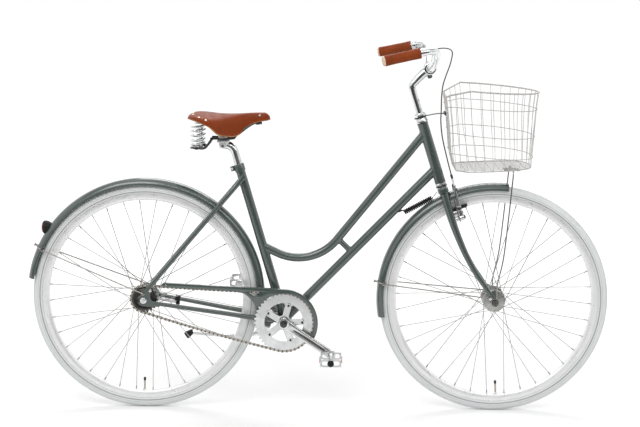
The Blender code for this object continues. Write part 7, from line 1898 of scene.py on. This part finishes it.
def build_seat_frame():
    """Bent seatpost, clamp, rail rods and the two coils."""
    bend_start = seat(0.5345)
    back = np.array((-SEAT_UP[2], 0.0, SEAT_UP[0]))
    centre = bend_start + back * 0.03
    first = math.degrees(math.atan2(-back[2], -back[0]))
    bend = polar(centre, 0.03, np.linspace(first, first + 66, 21))
    last = math.radians(first + 66 + 90)
    head = bend[-1] + np.array((math.cos(last), 0.0, math.sin(last))) * 0.02
    path = np.vstack([straight(seat(0.367), bend[0], 10)[:-1], bend, straight(bend[-1], head, 4)[1:]])
    radii = np.full(len(path), 0.013)
    radii[-1] = 0.0118
    piece("seatpost_tube", "seatpost", CHROME, tube(path, radii, 44, LEFT), stands_for="seatpost", smooth=45)
    clamp = np.array((head[0] + 0.01, 0.0, 0.831))
    cradle = block(clamp - UP * 0.007, (0.038, 0.056, 0.007), WORLD, 0.002, 5.0)
    cap = block(clamp + UP * 0.0055, (0.03, 0.052, 0.004), WORLD, 0.0014, 5.0)
    cheeks = [revolve(mm(8, -3.2, 11.2, -3, 11.6, -2, 11.6, 2, 11.2, 3, 8, 3.2), clamp + LEFT * y * 0.02
        - UP * 0.015, LEFT, 32) for y in (1, -1)]
    piece("seat_clamp", "seatpost", RIM_METAL, cradle, cap, *cheeks, smooth=40)
    pin = clamp - UP * 0.02
    piece("seat_clamp_bolt", "seatpost", ALLOY, revolve(mm(3.6, -25, 3.6, 25), pin, LEFT, 20),
        bolt(pin + LEFT * 0.0232, LEFT, 0.0052, 0.0046), bolt(pin - LEFT * 0.0232, -LEFT, 0.0052, 0.0046),
        slot="chrome")

    half = 0.022
    x = clamp[0] - BB[0]
    line = at((-0.078, -0.092, -0.11, -0.13, -0.148, x + 0.03, x - 0.03, -0.219, -0.238, -0.26, -0.276),
        (0.8812, 0.879, 0.869, 0.854, 0.843, 0.834, 0.833, 0.831, 0.8065, 0.8065, 0.8065),
        (0.004, 0.01, 0.017, half, half, half, half, 0.026, 0.034, 0.044, 0.03))
    loop = np.vstack([line, (line * MIRROR)[::-1]])
    rails = tube(even(spline(loop, 900, closed=True), 300, closed=True), 0.0037, 14, UP, closed=True)
    cups = [revolve(mm(11, 806.2, 19.2, 806.2, 19.4, 807, 19.4, 809.6, 18.4, 810.3, 6, 810.4),
        at(SADDLE_COIL_X, 0.0, y), UP, 40) for y in (SADDLE_COIL_Y, -SADDLE_COIL_Y)]
    bolts = [bolt(at(SADDLE_COIL_X, 0.8062, y), -UP, 0.006, 0.004) for y in (SADDLE_COIL_Y, -SADDLE_COIL_Y)]
    piece("saddle_rail_rods", "seatpost", BLACK, rails, *cups, *bolts, stands_for="saddle_rails", smooth=50)
    for side, y in (("left", SADDLE_COIL_Y), ("right", -SADDLE_COIL_Y)):
        turns = 5.0
        u = np.linspace(0, 1, 241)
        turn = FULL_TURN * turns * u - (1.55 if side == "left" else 0.0)
        ease = 0.5 - 0.5 * np.cos(math.pi * u)
        level = 0.8132 + (0.8744 - 0.8132) * (0.65 * u + 0.35 * ease)
        coil = at(SADDLE_COIL_X + 0.0165 * np.cos(turn), level, y + 0.0165 * np.sin(turn))
        wire = tube(coil, 0.0029, 12, UP)
        made = piece("saddle_coil_" + side, "seatpost", CHROME, wire, stands_for="saddle_spring_" + side,
            smooth=60)
        tuple(at(SADDLE_COIL_X, 0.8103, y))
        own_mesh(made)


def build_kickstand():
    """Kickstand's leg with its eye, rubber foot and bracket."""
    pivot = BB + (-0.058, 0.037, -0.037)
    pin = unit(np.array((-0.045, -0.919, -0.38)))
    points = np.vstack([pivot - pin * 0.0012, pivot + (-0.022, 0.008, -0.016),
        pivot + (-0.055, 0.009, -0.027), pivot + (-0.127, 0.009, -0.028), pivot + (-0.205, 0.0205, -0.0252),
        pivot + (-0.239, 0.024, -0.024)])
    path = even(spline(points, 160), 80)
    leg = tube(path, np.interp(np.linspace(0, 1, 80), (0, 0.2, 1), (0.008, 0.0066, 0.0062)), 28, UP)
    eye = revolve(mm(6, -6, 10.4, -5.6, 10.8, -4.8, 10.8, 4.8, 10.4, 5.6, 6, 6), pivot, pin, 36)
    piece("kickstand_leg", "kickstand", ALLOY, leg, eye, stands_for="kickstand", smooth=40)
    way = unit(np.array((-0.82, 0.04, -0.57)))
    side = unit(np.cross(way, UP))
    lift = np.cross(way, side)
    t = np.linspace(0, 1, 7)[:, None, None]
    centre = path[-1] + (0.001, 0.0, -0.001) + way * (t[..., 0] * 0.026 - 0.01)
    loop = rounded(1.0, 1.0, 32, 4.0)
    half = np.concatenate([0.0085 + 0.001 * t, 0.0068 + 0.0052 * t], axis=-1)
    half[0], half[-1] = half[0] * 0.8, half[-1] * 0.86
    foot = skin(centre[:, None] + loop[None, :, :1] * half[..., :1] * side
        + loop[None, :, 1:] * half[..., 1:] * lift)
    piece("kickstand_foot", "kickstand", RUBBER, foot)
    base = BB + (-0.05, 0.0, -0.005)
    upper = block(base, (0.036, 0.056, 0.008), WORLD, 0.002, 6.0)
    web = sweep(spline(np.vstack([base + (0, 0.012, -0.002), base + (-0.004, 0.02, -0.018),
        pivot - pin * 0.008]), 16), rounded(0.011, 0.006, 24, 4.0), LEFT)
    knuckle = revolve(mm(6, 6.4, 11, 6.6, 11.4, 7.6, 11.4, 13, 10, 14.2, 5, 14.4), pivot, -pin, 36)
    piece("kickstand_mount", "frame", BLACK, upper, web, knuckle, bolt(base - UP * 0.004, -UP, 0.0072, 0.005),
        stands_for="kickstand_bracket")


studio()
wheel("rear", REAR_HUB, REAR_TURN)
wheel("front", FRONT_HUB, FRONT_TURN)
build_axles()
build_frame()
build_stays()
build_coaster()
build_fenders()
build_chain()
build_crankset()
build_sprocket()
build_guard()
build_fork()
build_cockpit()
build_front_brake()
build_cable()
build_basket()
build_steering_spring()
build_saddle()
build_kickstand()
